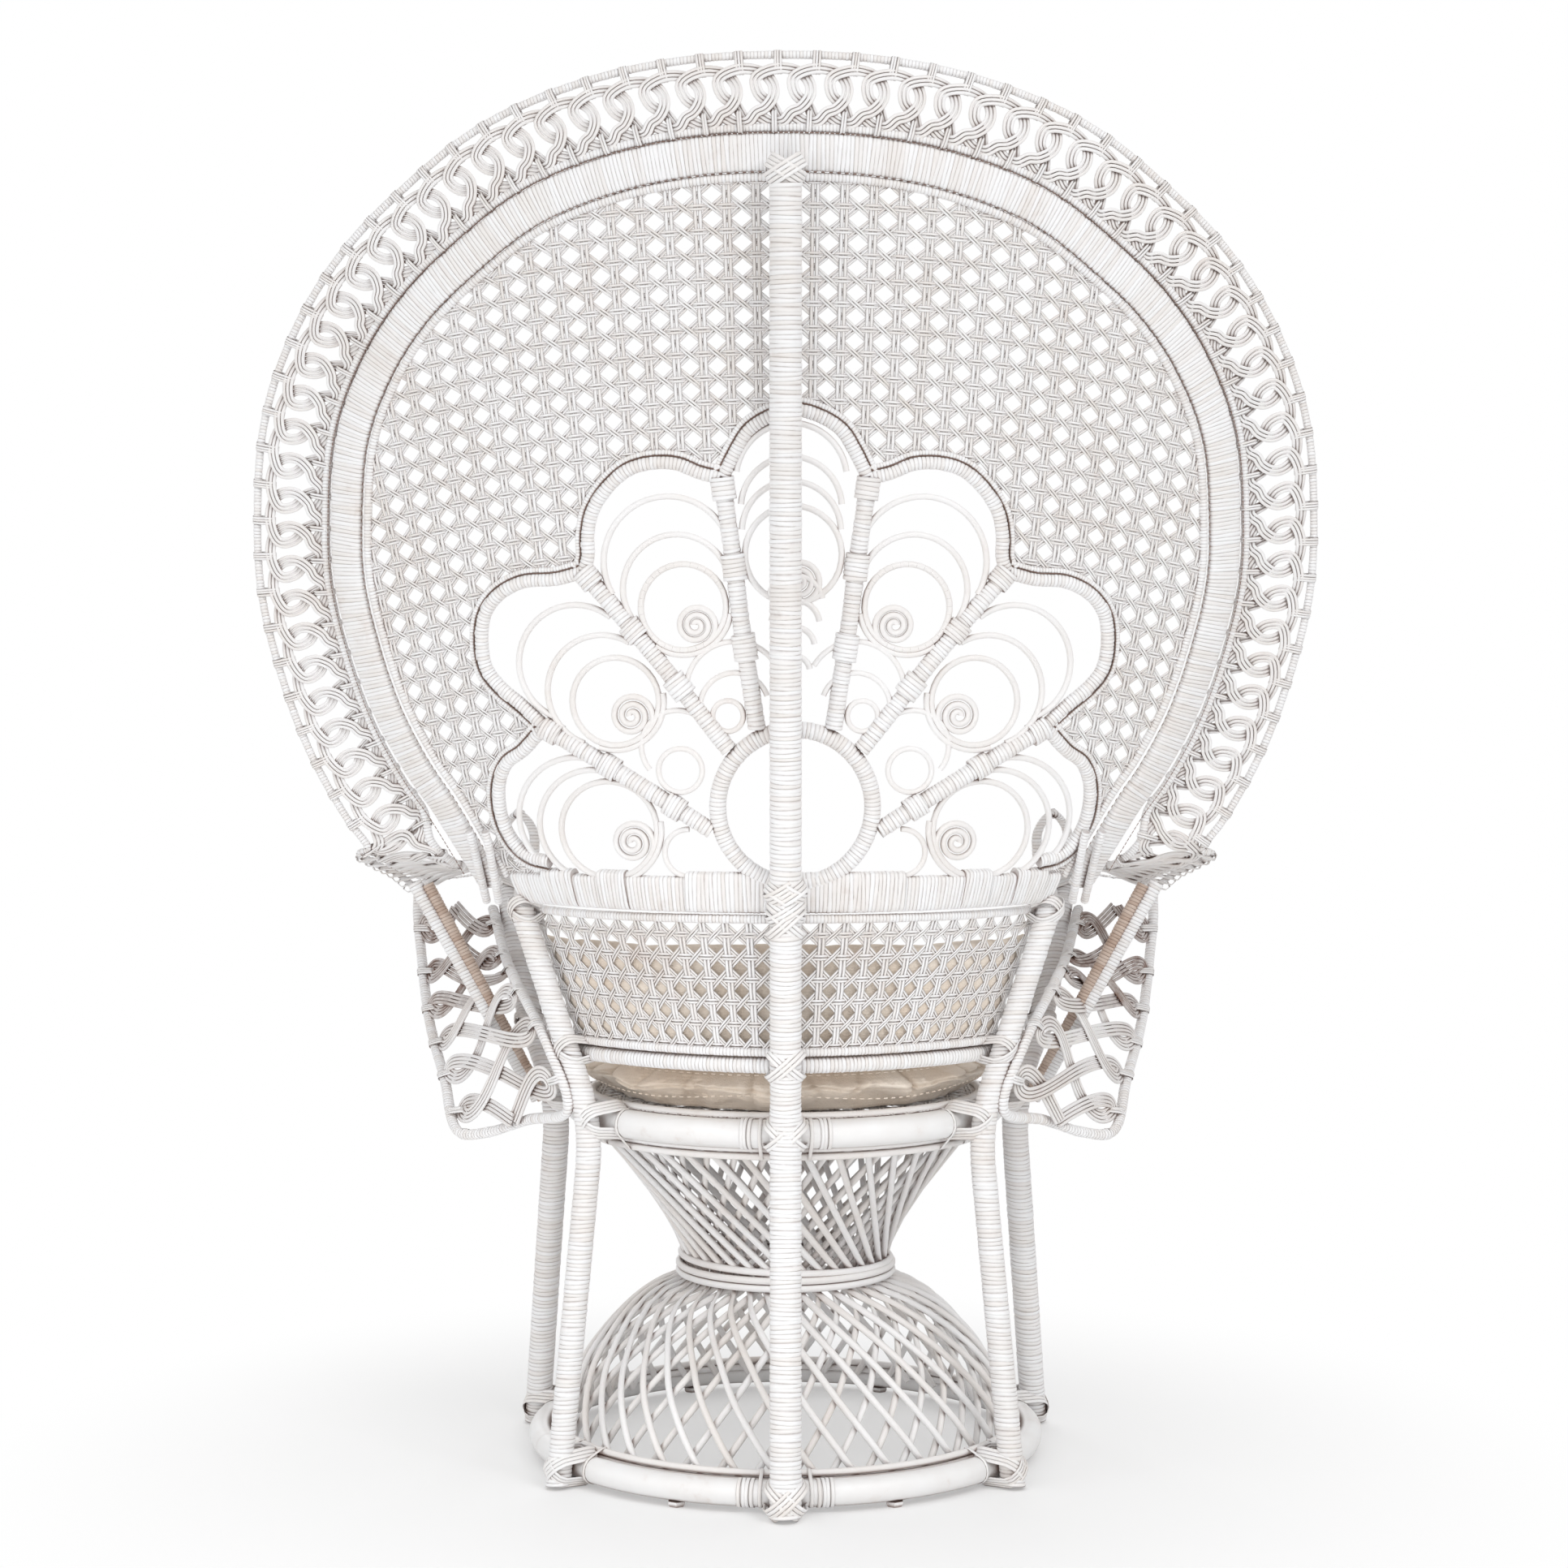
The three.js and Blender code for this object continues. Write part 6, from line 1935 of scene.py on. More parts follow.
        # An arc is given by its middle's distance outwards and height, its radius, and its first and
        # last angle in degrees. A loop and its eye have only the first three
        large = {
            "upper": dict(arcs=((132, 993, 67, 152, -30), (123, 965, 56, 160, -45), (116, 946, 49.5, -54, -172)),
                          loop=(116, 946, 44.5), eye=(103, 927, 19), start=160),
            "side": dict(arcs=((230, 888, 61, 128, -66), (202, 859, 58.5, 120, -70), (188, 848, 51, -70, -190)),
                         loop=(188, 848, 46), eye=(171, 833, 19.5), start=130),
            "lower": dict(arcs=((231, 724, 65, 104, -50), (213, 716, 60, 110, -64), (197, 712, 56.5, -80, -190)),
                          loop=(197, 712, 52), eye=(171, 699, 20), start=118),
        }
        small_arcs = ((63, 860, 50.5, 150, 0), (63, 842, 36, 160, -10), (123, 801, 38, 130, -40),
                      (112, 689, 25, 92, -95))
        small_rings = ((70, 833, 16), (120, 776, 23))
        pieces: dict[str, list[Route]] = {}
        for petal, shape in large.items():
            for side in Side:
                name = f"petal_scrolls_{petal}_{side.name.lower()}"
                flats = [self.circle((x, z), radius, start, stop, side.value)
                         for x, z, radius, start, stop in shape["arcs"]]
                flats.append(self.snail(shape["loop"], shape["eye"], shape["start"], side.value))
                pieces[name] = [self.route(flat, tone=0.3 + 0.1 * index) for index, flat in enumerate(flats)]
        top = [self.circle((4, z), radius, 180 - cut, cut, 1)
               for z, radius, cut in ((1077, 57, 8), (1048, 52, 4), (1024, 51, 2))]
        top.append(self.snail((2, 1000, 50), (-4, 973, 19), 175, 1))
        top += [self.circle((0, height), half, 172, 8, 1)
                for height, half in ((951, 28), (928, 25), (905, 20), (880, 15))]
        pieces["petal_scrolls_top"] = [self.route(flat, tone=0.4) for flat in top]
        for name, routes in pieces.items():
            self.shop.sweep(name.replace("petal_scrolls", "bare_scrolls"), routes, self.scroll, self.shop.bare,
                            Slot.BARE, (name,), sides=10)
        small = []
        for side in Side:
            small += [self.route(self.circle((x, z), radius, start, stop, side.value))
                      for x, z, radius, start, stop in small_arcs]
            small += [self.route(self.circle((x, z), radius, 0, 354, side.value), closed=True)
                      for x, z, radius in small_rings]
        self.shop.sweep("small_scrolls", small, self.small_scroll, self.shop.bare, Slot.BARE, sides=10)

    def bindings(self) -> None:
        """Builds the thicker windings that hold the ends of the scrolls on the spokes and on the band."""
        routes = []
        lines = self.spoke_lines()
        # Start and end of each binding, as shares of its spoke
        spans = {"top": ((0.0, 0.11), (0.3, 0.42), (0.62, 0.74)), "upper": ((0.0, 0.1), (0.3, 0.4), (0.6, 0.72)),
                 "side": ((0.0, 0.12), (0.34, 0.46), (0.72, 0.84))}
        for name, flat in lines.items():
            for start, stop in spans[name.split("_")[0]]:
                first, last = int(start * len(flat)), max(int(stop * len(flat)), int(start * len(flat)) + 5)
                routes.append(self.route(flat[first:last]))
        self.shop.wind("spoke_bindings", routes, 11.4, width=13.0, sides=14, seed=91, pitch=4.4, groove=1.0,
                       squareness=0.85)
        # Bindings on the waist band: distance from the flower's axis, and half their length
        band, level = [], 648.0
        for centre, half in ((0.0, 114.0), (191.0, 15.0), (250.0, 17.0)):
            for side in Side if centre else (Side.LEFT,):
                across = self.axis + side.value * np.linspace(centre - half, centre + half, 30)
                band.append(self.route(np.stack([across, np.full(30, level)], axis=1)))
        self.shop.wind("band_bindings", band, 8.2, width=22.0, sides=20, seed=92, pitch=4.4, groove=1.0,
                       squareness=0.55)

    def outline(self) -> Array:
        """Joins the arches to the flower's outline.

        Returns:
            Rows of X and Z, closed below the waist band.
        """
        halves = {}
        for side in (1, -1):
            parts = [self.curve(self.flat(self.petals[petal], side))[::-1][:-1] for petal in ("lower", "side", "upper")]
            halves[side] = np.vstack(parts)
        top = self.curve(self.flat(self.petals["top"], 1))
        foot = [[self.axis + side * 0.79 * self.half_width, 600.0] for side in (1, -1)]
        return np.vstack([[foot[0]], halves[1], top, halves[-1][::-1], [foot[1]]])

    def build(self) -> None:
        """Builds the whole flower."""
        self.frame()
        self.arches()
        self.scrolls()
        self.bindings()


@dataclass
class FanWebbing:
    """Six-way cane between the flower and the band. Its columns spread a little towards the top."""

    shop: Workshop
    flower: Flower
    spread_centre: float = 2130.0
    level: float = 1034.0
    # Half width and half height of the plan, and the height at which the webbing ends
    half_plan: tuple[float, float] = (480.0, 400.0)
    foot: float = 660.0
    # How far the webbing runs on behind the inner hoop
    tuck: float = 2.0

    def flat(self, plan: Array) -> Array:
        """Spreads the plan over the fan.

        Args:
            plan: Rows of p and q.

        Returns:
            Rows of X and Z.
        """
        angle = plan[:, 0] / self.spread_centre
        reach = self.spread_centre + plan[:, 1]
        return np.stack([reach * np.sin(angle), self.level - self.spread_centre + reach * np.cos(angle)], axis=1)

    def build(self) -> None:
        """Builds the strips, cut at the band and at the flower."""
        edge = FAN.beside(-(FAN.hoop_offset + self.tuck), np.linspace(0, 1, 160))[:, [0, 2]]
        hole = self.flower.outline()

        def keep(plan: Array) -> Array:
            """Says which rows lie between the band and the flower."""
            flat = self.flat(plan)
            return inside(flat, edge) & ~inside(flat, hole) & (flat[:, 1] > self.foot)

        weave = Weave()
        across, upward = self.half_plan
        for kind, lines in weave.lines((-across, -upward), (across, upward)).items():
            tones = random_tones(len(lines), 160 + len(kind))
            routes = []
            for tone, line in zip(tones, lines):
                for run in clipped(line, keep):
                    flat = self.flat(run)
                    facing = FAN.normal(flat[:, 0], flat[:, 1])
                    points = FAN.on(flat[:, 0], flat[:, 1], run[:, 2] * weave.unit_lift)
                    routes.append(Route(points, facing, False, float(tone), weave.under_shade(run[:, 2])))
            self.shop.sweep(f"fan_cane_{kind}", routes, HALF_THICKNESS, self.shop.strip, Slot.WEBBING,
                            ("fan_webbing",) if kind == "upright" else (), half_width=HALF_WIDTHS[kind], sides=4,
                            squareness=0.5)


@dataclass
class Arms:
    """Apron hoops, knots and braces of both arms."""

    shop: Workshop
    roll: tuple = ((0.69, 0.9, 1.0), (0.692, 0.905, 1.05), (0.73, 0.93, 1.083), (0.77, 0.97, 1.06), (0.8, 1.02, 0.985))
    front: tuple = ((1.005, 1.02, 0.945), (1.013, 0.978, 0.912), (0.993, 0.826, 0.82), (0.949, 0.478, 0.714),
                    (0.886, 0.087, 0.631), (0.832, -0.217, 0.555))
    foot: tuple = ((0.754, -0.326, 0.56), (0.646, -0.457, 0.588))
    inner: tuple = ((0.737, 0.26, 0.84), (0.68, -0.26, 0.809))
    hoop: float = 6.4
    # Heights at which the hoop meets the front leg, as a share of its own, and the rear leg
    front_meeting: float = 0.935
    rear_meetings: tuple[float, float] = (473.0, 404.5)
    # The poles' foot beside the front leg, as a direction and a gap, and their heads on the arm
    pole_foot: tuple[float, float] = (0.85, 0.56)
    pole_gap: float = 10.6
    pole_heads: tuple = (((0.94, -0.3, 0.985), 10.0), ((0.96, 0.62, 0.94), 7.0))
    # Knots: how often the bundles cross, their rods, and how far they sway out, back and up
    periods: float = 3.0
    rods: int = 4
    rod: float = 2.05
    rod_step: float = 4.3
    sway: float = 0.86
    loop_back: float = 0.2
    lift: float = 3.4
    # Share of the apron's length down to which it lies in painted shade under the arm, and over which that fades
    painted_shade: tuple[float, float] = (0.38, 0.2)

    def inner_points(self, side: int) -> Array:
        """Finds the apron's inner edge.

        Args:
            side: 1 on the left, -1 on the right.

        Returns:
            Its points, from the front leg back and down along the rear leg.
        """
        front, rear = SKELETON.front_leg_stations(side), SKELETON.rear_leg_stations(side)

        def beside(stations: Array, leg: float, height: float) -> Array:
            """Returns the hoop's middle on the outer side of a leg."""
            return SKELETON.centre(stations, height) + np.array([side * (leg + self.hoop), 0, 0])

        front_height = self.front_meeting * SKELETON.front_leg_head[2]
        return np.vstack([beside(front, SKELETON.front_leg, front_height), FAN.arm_points(self.inner, side),
                          *(beside(rear, SKELETON.rear_leg, height) for height in self.rear_meetings)])

    def edges(self, side: int) -> tuple[Line, Line]:
        """Returns the outer and the inner edge of an apron."""
        return (Line(smooth(FAN.arm_points(self.front[1:], side), 16)),
                Line(smooth(self.inner_points(side), 16)))

    def braces(self, side: int) -> list[tuple[Array, float]]:
        """Lays out the two poles that hold an arm up.

        Args:
            side: 1 on the left, -1 on the right.

        Returns:
            The points of each, and its radius.
        """
        foot = SKELETON.centre(SKELETON.front_leg_stations(side), SKELETON.seat_height)
        across, back = self.pole_foot
        foot = foot + np.array([side * across, back, 0]) * (SKELETON.front_leg + self.pole_gap)
        return [(np.vstack([foot, FAN.arm_points((share,), side)]), radius) for share, radius in self.pole_heads]

    def knots(self, side: int) -> list[Route]:
        """Weaves bundles of rods into knots between the apron's edges.

        Args:
            side: 1 on the left, -1 on the right.

        Returns:
            One route for each rod.
        """
        outer, inner = self.edges(side)
        length = (outer.length + inner.length) / 2
        period = length / self.periods

        def place(plan: Array) -> Array:
            """Lays places on the apron.

            Args:
                plan: Rows of the distance along it, and the share across it from -1 to 1.

            Returns:
                The points.
            """
            share = np.clip(plan[:, 0] / length, 0, 1)
            across = (plan[:, 1:2] + 1) / 2
            return outer.at(share * outer.length) * (1 - across) + inner.at(share * inner.length) * across

        routes = []
        for bundle in range(2):
            turn = np.linspace(0, 2 * np.pi * self.periods, 220)
            shift = bundle * np.pi
            along = period * turn / (2 * np.pi) + self.loop_back * period * np.sin(2 * (turn + shift))
            across = self.sway * np.sin(turn + shift)
            plan = np.stack([along, across], axis=1)
            points = place(plan)
            step_s, step_w = np.array([[2.0, 0]]), np.array([[0, 0.05]])
            facing = unit(np.cross(place(plan + step_s) - place(plan - step_s),
                                   place(plan + step_w) - place(plan - step_w)))
            lift = self.lift * np.sin(turn * 2 + shift + 0.6)
            # Painted shade on the apron's upper part, which lies under the arm
            end, fade = self.painted_shade
            under_arm_shade = 1 - np.clip((along / length - end) / fade, 0, 1)
            tangent = unit(np.gradient(points, axis=0))
            beside = unit(np.cross(tangent, facing))
            shade = np.clip(0.25 - 0.06 * lift + 0.9 * under_arm_shade, 0, 1.25)
            for strand in range(self.rods):
                offset = (strand - (self.rods - 1) / 2) * self.rod_step
                routes.append(Route(points + facing * lift[:, None] + beside * offset, facing, False,
                                    0.3 + 0.15 * strand, shade))
        return routes

    def ties(self, side: int) -> list[Route]:
        """Lays the strips that tie the knots to the apron's hoop.

        Args:
            side: 1 on the left, -1 on the right.

        Returns:
            One route for each strip.
        """
        outer, inner = self.edges(side)
        routes = []
        for order, share in enumerate(np.linspace(1 / 12, 11 / 12, 6)):
            for line, other in ((outer, inner), (inner, outer)):
                foot, far = line.at([share * line.length])[0], other.at([share * other.length])[0]
                axis = line.along([share * line.length])[0]
                inward = unit(far - foot)
                deep = unit(np.cross(axis, inward))
                routes += coil(foot, axis, inward, deep, ((0, 0, 6.6, 6.6), (14, 0, 5.0, 2.4)), 3, 3.0,
                               200 + order, 14)
        return routes

    def build(self) -> None:
        """Builds both arms."""
        ties = []
        for side in Side:
            sign, label = side.value, side.name.lower()
            outer = FAN.arm_points(self.roll + self.front + self.foot, sign)
            hoop = Line(smooth(np.vstack([outer, self.inner_points(sign)[::-1]]), 12))
            self.shop.wind(f"wrapped_apron_hoop_{label}", [Route(hoop.even(5), [float(sign), 0.0, 0.0])], self.hoop,
                           nodes=(f"apron_hoop_{label}",), pitch=4.0, sides=10, seed=100 + sign)
            self.shop.sweep(f"apron_rods_{label}", self.knots(sign), self.rod, self.shop.bare, Slot.BARE,
                            (f"apron_knots_{label}",), sides=6)
            (brace, thick), (strut, thin) = self.braces(sign)
            self.shop.wind(f"wrapped_brace_{label}", [Route(Line(brace).even(20), [0.0, 1.0, 0.0])], thick * 0.85,
                           nodes=(f"arm_brace_{label}",), pitch=4.3, sides=12, seed=110 + sign)
            beside = brace + np.array([[-sign * 6.0, 0.0, 0.0], [-sign * 15.0, 0.0, -2.0]])
            # The struts take the darker tan copy of the painted cane, which is painted shade
            self.shop.wind(f"wrapped_struts_{label}", [
                Route(Line(strut).even(20), [0.0, 1.0, 0.0]),
                Route(Line(beside).even(20), [0.0, 1.0, 0.0], swell=0.72)], thin, pitch=4.0, sides=10,
                seed=120 + sign, groove=1.1, material=self.shop.painted_shade)
            ties += self.ties(sign)
        self.shop.sweep("apron_ties", ties, 0.45, self.shop.strip, Slot.WEBBING, half_width=1.7, sides=4,
                        squareness=0.6)


def mesh_object(name: str, points: Array, faces: list[tuple[int, ...]]) -> bpy.types.Object:
    """Makes an object from points and faces.

    Args:
        name: Name of the piece.
        points: Its points, in millimetres of the source frame.
        faces: The numbers of the points round each face.

    Returns:
        The object.
    """
    mesh = bpy.data.meshes.new(name)
    mesh.from_pydata([tuple(point) for point in to_metres(points)], [], faces)
    mesh.update()
    piece = bpy.data.objects.new(name, mesh)
    bpy.context.scene.collection.objects.link(piece)
    return piece


def grid_faces(columns: int, rows: int, closed: bool) -> list[tuple[int, int, int, int]]:
    """Lays faces over a grid of points.

    Args:
        columns: Points in a row.
        rows: Number of rows, stored one after another.
        closed: Whether each row runs round and meets its start.

    Returns:
        The faces.
    """
    faces = []
    for row in range(rows - 1):
        for column in range(columns if closed else columns - 1):
            following = (column + 1) % columns
            faces.append((row * columns + column, row * columns + following, (row + 1) * columns + following,
                          (row + 1) * columns + column))
    return faces


@dataclass
class Seat:
    """The woven deck and the two loose cushions."""

    shop: Workshop
    deck_top: float = 407.6
    deck_radius: float = 224.0
    radius: float = 226.0
    height: float = 52.0
    crown: float = 20.0
    deck_gap: float = 0.8
    # The form before swelling is a little lower than the cushion
    flatness: float = 0.92
    # The side of the form from the middle of the underside to the middle of the top: shares of
    # the radius and of the height
    levels: tuple = (
        (0.02, 0), (0.5, 0), (0.8, 0.01), (0.9, 0.08), (0.955, 0.24), (0.972, 0.42), (0.965, 0.62), (0.94, 0.9),
        (0.86, 0.97), (0.6, 1.0), (0.3, 1.0), (0.02, 1.0))
    tuft_ring: float = 0.5
    # Heights of the two rolled seams above the underside, and how far the lower one wanders
    seams: tuple[float, float] = (17.0, 42.0)
    seam_sway: float = 3.2
    seam_phase: float = 0.4
    pleats: int = 22
    # The back cushion's foot and top, and the share of the barrel's length that it covers
    back_foot: float = 461.5
    back_top: float = 601.0
    back_span: float = 0.58
    voxel: float = 0.006
    pressure: float = 4.0

    def puff(self, piece: bpy.types.Object, cap: float, pins: list[tuple[float, float, float]], reach: float) -> None:
        """Swells a cushion with a cloth simulation and keeps the result.

        Args:
            piece: The closed form.
            cap: Furthest that a point may move, in metres.
            pins: Places in metres where the cover is held, as by a tuft.
            reach: How far from a pin the cover is held.
        """
        remesh = piece.modifiers.new("remesh", "REMESH")
        remesh.mode = "VOXEL"
        remesh.voxel_size = self.voxel
        remesh.use_smooth_shade = True
        self.apply(piece)
        before = self.points(piece)
        group = piece.vertex_groups.new(name="held")
        for pin in pins:
            distance = np.linalg.norm(before - np.array(pin), axis=1)
            for index in np.nonzero(distance < reach)[0]:
                group.add([int(index)], 1.0, "REPLACE")
        cloth = piece.modifiers.new("cloth", "CLOTH")
        cloth.settings.use_pressure = True
        cloth.settings.uniform_pressure_force = self.pressure
        cloth.settings.effector_weights.gravity = 0.0
        cloth.settings.quality = 5
        cloth.settings.vertex_group_mass = "held"
        cloth.settings.tension_stiffness = 12.0
        cloth.settings.bending_stiffness = 1.2
        cloth.point_cache.frame_start, cloth.point_cache.frame_end = 1, 20
        for step in range(1, 21):
            bpy.context.scene.frame_set(step)
        self.apply(piece)
        bpy.context.scene.frame_set(1)
        moved = self.points(piece) - before
        length = np.linalg.norm(moved, axis=1, keepdims=True)
        self.place(piece, before + moved * np.minimum(1, cap / np.maximum(length, 1e-9)))
        smoother = piece.modifiers.new("smooth", "SUBSURF")
        smoother.levels = smoother.render_levels = 1
        self.apply(piece)

    def apply(self, piece: bpy.types.Object) -> None:
        """Applies every modifier of a piece.

        Args:
            piece: The piece.
        """
        view = bpy.context.evaluated_depsgraph_get()
        built = bpy.data.meshes.new_from_object(piece.evaluated_get(view), depsgraph=view)
        piece.modifiers.clear()
        old, piece.data = piece.data, built
        bpy.data.meshes.remove(old)

    def points(self, piece: bpy.types.Object) -> Array:
        """Reads the points of a piece's mesh.

        Args:
            piece: The piece.

        Returns:
            The points, in metres.
        """
        places = np.zeros(len(piece.data.vertices) * 3, np.float32)
        piece.data.vertices.foreach_get("co", places)
        return places.reshape(-1, 3).astype(float)

    def place(self, piece: bpy.types.Object, points: Array) -> None:
        """Moves the points of a piece's mesh."""
        piece.data.vertices.foreach_set("co", points.astype(np.float32).ravel())
        piece.data.update()

    def cushion_form(self, foot: float) -> bpy.types.Object:
        """Makes the seat cushion's closed form before it is swelled.

        Args:
            foot: Height of its underside.

        Returns:
            The piece.
        """
        around = 96
        angle = np.linspace(0, 2 * np.pi, around, endpoint=False)
        points = np.vstack([np.stack([out * self.radius * np.cos(angle), out * self.radius * np.sin(angle),
                                      np.full(around, foot + up * self.height * self.flatness)], axis=1)
                            for out, up in self.levels])
        faces: list[tuple[int, ...]] = [tuple(range(around))[::-1]]
        faces += grid_faces(around, len(self.levels), True)
        last = (len(self.levels) - 1) * around
        faces.append(tuple(range(last, last + around)))
        return mesh_object("tufted_seat_cushion", points, faces)

    def seat_cushion(self) -> None:
        """Builds the round tufted cushion with its rolled and stitched edges."""
        foot = self.deck_top + self.deck_gap
        piece = self.cushion_form(foot)
        ring = self.radius * self.tuft_ring
        tufts = [(0.0, 0.0)] + [(ring * math.cos(turn), ring * math.sin(turn))
                                for turn in np.linspace(0, 2 * np.pi, 6, endpoint=False)]
        middle = to_metres(np.array([[0, 0, foot]]))[0]
        pins = [tuple(to_metres(np.array([[x, y, foot + self.height * self.flatness]]))[0]) for x, y in tufts]
        self.puff(piece, 0.022, pins, 0.012)
        local = (self.points(piece) - middle) * 1000
        shade = self.fold(local, tufts)
        self.place(piece, local / 1000 + middle)
        self.shade(piece, shade)
        piece.data.materials.append(self.shop.cotton)
        dress(piece, Slot.COTTON, "seat_cushion")
        self.stitches(foot)

    def fold(self, local: Array, tufts: list[tuple[float, float]]) -> Array:
        """Pulls tufts, rolled seams, pleats and sags into the swelled seat cushion.

        Args:
            local: Its points in millimetres from the middle of its underside, which are moved.
            tufts: Places of the tufts.

        Returns:
            How deep in a seam, pleat or tuft each point lies, from 0 to 1.
        """
        # Swelling draws the rim in, so the cushion is brought back to its width
        local[:, :2] *= (self.radius + 10) / np.percentile(np.hypot(local[:, 0], local[:, 1]), 99.5)
        out = np.hypot(local[:, 0], local[:, 1])
        turn = np.arctan2(local[:, 1], local[:, 0])
        top = np.clip(local[:, 2] / self.height, 0, 1.6)
        # Tufts pull the top down, and the cover pleats between them and at the rolled edges
        dip = np.zeros(len(local))
        for x, y in tufts:
            distance = np.hypot(local[:, 0] - x, local[:, 1] - y)
            dip = np.maximum(dip, np.exp(-(distance / 20) ** 2) * 11 + np.exp(-(distance / 7) ** 2) * 5)
        upper = np.clip((top - 0.6) / 0.4, 0, 1)
        local[:, 2] -= dip * upper
        edge = np.clip((out - self.radius * 0.8) / (self.radius * 0.15), 0, 1)
        side_share = np.exp(-((top - 0.5) / 0.42) ** 4)
        # The rolled seams wander, and the cover below the lower one falls back
        seam = (self.seams[0] + self.seam_sway * np.sin(turn * 5 + self.seam_phase)
                + 2.2 * np.sin(turn * 11 + 1.9))
        upper_seam = self.seams[1] + 2.0 * np.sin(turn * 7 + 2.2)
        groove = np.exp(-((local[:, 2] - seam) / 3.0) ** 2) + 0.5 * np.exp(-((local[:, 2] - upper_seam) / 3.0) ** 2)
        pleat, crease = self.pleating(turn, top)
        # Slack cover drapes in slanting ridges between the pleats
        drape = (1 - np.abs(np.sin(turn * 17 + 2.6 * top + 0.9 * np.sin(turn * 3)))) ** 2.5
        drape += 0.8 * (1 - np.abs(np.sin(turn * 13 - 3.4 * top + 1.7 * np.sin(turn * 4)))) ** 2.5
        lower = np.clip((seam - local[:, 2]) / 12, 0, 1)
        wave = np.sin(turn * 13 + 1.3 * np.sin(turn * 5)) + 0.7 * np.sin(turn * 23 + 2.0)
        local[:, :2] *= (1 + ((0.006 * wave - 0.03 * pleat + 0.015 * drape) * side_share * edge
                              - 0.02 * groove * edge - 0.03 * lower * edge)[:, None])
        # The rim of the underside stands off the deck, and waves between the pleats
        lift = 15 - 3.2 * np.sin(turn * 9 + 0.7) - 2.2 * np.sin(turn * 17 + 1.1) + 2.0 * pleat + 5 * np.cos(turn) ** 2
        under = np.clip((out - self.radius * 0.74) / (self.radius * 0.16), 0, 1) ** 1.5
        local[:, 2] += np.clip(lift, 4, 25) * under * np.clip(1 - local[:, 2] / 36, 0, 1)
        reach = np.hypot(local[:, 0], local[:, 1])
        local[:, :2] *= np.minimum(1, (self.radius + 12) / np.maximum(reach, 1e-6))[:, None]
        local[:, 2] = np.clip(local[:, 2], 0, self.height + self.crown + 4)
        return np.clip(groove * edge * 0.6 + crease * side_share * edge * 0.8 + dip / 16 * upper * 0.6, 0, 1)

    def pleating(self, turn: Array, top: Array) -> tuple[Array, Array]:
        """Lays uneven, slanting pleats round the seat cushion's side.

        Args:
            turn: Angle of each point in radians.
            top: Its share of the cushion's height.

        Returns:
            How far each point is drawn in, and how deep in a crease it lies.
        """
        chance = np.random.default_rng(5)
        pleat, crease = np.zeros(len(turn)), np.zeros(len(turn))
        jitter = chance.uniform(-0.08, 0.08, self.pleats)
        for place in np.linspace(0, 2 * np.pi, self.pleats, endpoint=False) + jitter:
            slant, depth = chance.uniform(-1.0, 1.0), chance.uniform(0.5, 1.2)
            away = (np.mod(turn - place - slant * (top - 0.5) * 0.12 + np.pi, 2 * np.pi) - np.pi) * self.radius
            sharp = np.exp(-(away / 3.6) ** 2)
            crease = np.maximum(crease, depth * sharp)
            pleat += depth * (sharp + 0.7 * np.exp(-(away / 16) ** 2))
        return pleat, crease

    def stitches(self, foot: float) -> None:
        """Builds the hand stitches in the seat cushion's two rolled edges.

        Args:
            foot: Height of the cushion's underside.
        """
        routes = []
        for rise, sway in zip(self.seams, (self.seam_sway, 0.0)):
            for turn in np.linspace(0, 2 * np.pi, 150, endpoint=False):
                ends = np.array([turn, turn + 0.02])
                reach = self.radius * 1.006
                level = foot + rise + sway * np.sin(ends * 5 + self.seam_phase)
                points = np.stack([reach * np.cos(ends), reach * np.sin(ends), level], axis=1)
                facing = unit(points * np.array([1, 1, 0]))
                routes.append(Route(points, facing))
        self.shop.sweep("cushion_stitches", routes, 0.5, self.shop.cotton, Slot.COTTON, half_width=0.8, sides=4)

    def shade(self, piece: bpy.types.Object, values: Array) -> None:
        """Stores how deep in a seam or tuft each point lies, and shades the faces smoothly.

        Args:
            piece: The piece.
            values: The depth at each point, from 0 to 1.
        """
        attribute = piece.data.attributes.new("shade", "FLOAT", "POINT")
        attribute.data.foreach_set("value", values.astype(np.float32))
        piece.data.shade_smooth()

    def back_cushion(self) -> None:
        """Builds the curved back cushion with its three tufts."""
        low, high = SKELETON.wall()
        foot, top = self.back_foot, self.back_top
        columns, rows = 60, 22

        def wall(share: float, height: float) -> tuple[Array, Array]:
            """Finds a place on the wall behind the cushion.

            Args:
                share: Place along the cushion, from 0 to 1.
                height: Its height.

            Returns:
                The point, and the direction into the seat there.
            """
            level = (height - SKELETON.wall_foot) / (SKELETON.wall_top - SKELETON.wall_foot)
            place = 0.5 + (share - 0.5) * self.back_span
            point = (low.at([place * low.length]) * (1 - level) + high.at([place * high.length]) * level)[0]
            tangent = high.along([place * high.length])[0]
            inward = unit(np.cross([0, 0, 1.0], tangent))
            return point, inward if np.dot(inward, point * [1, 1, 0]) < 0 else -inward

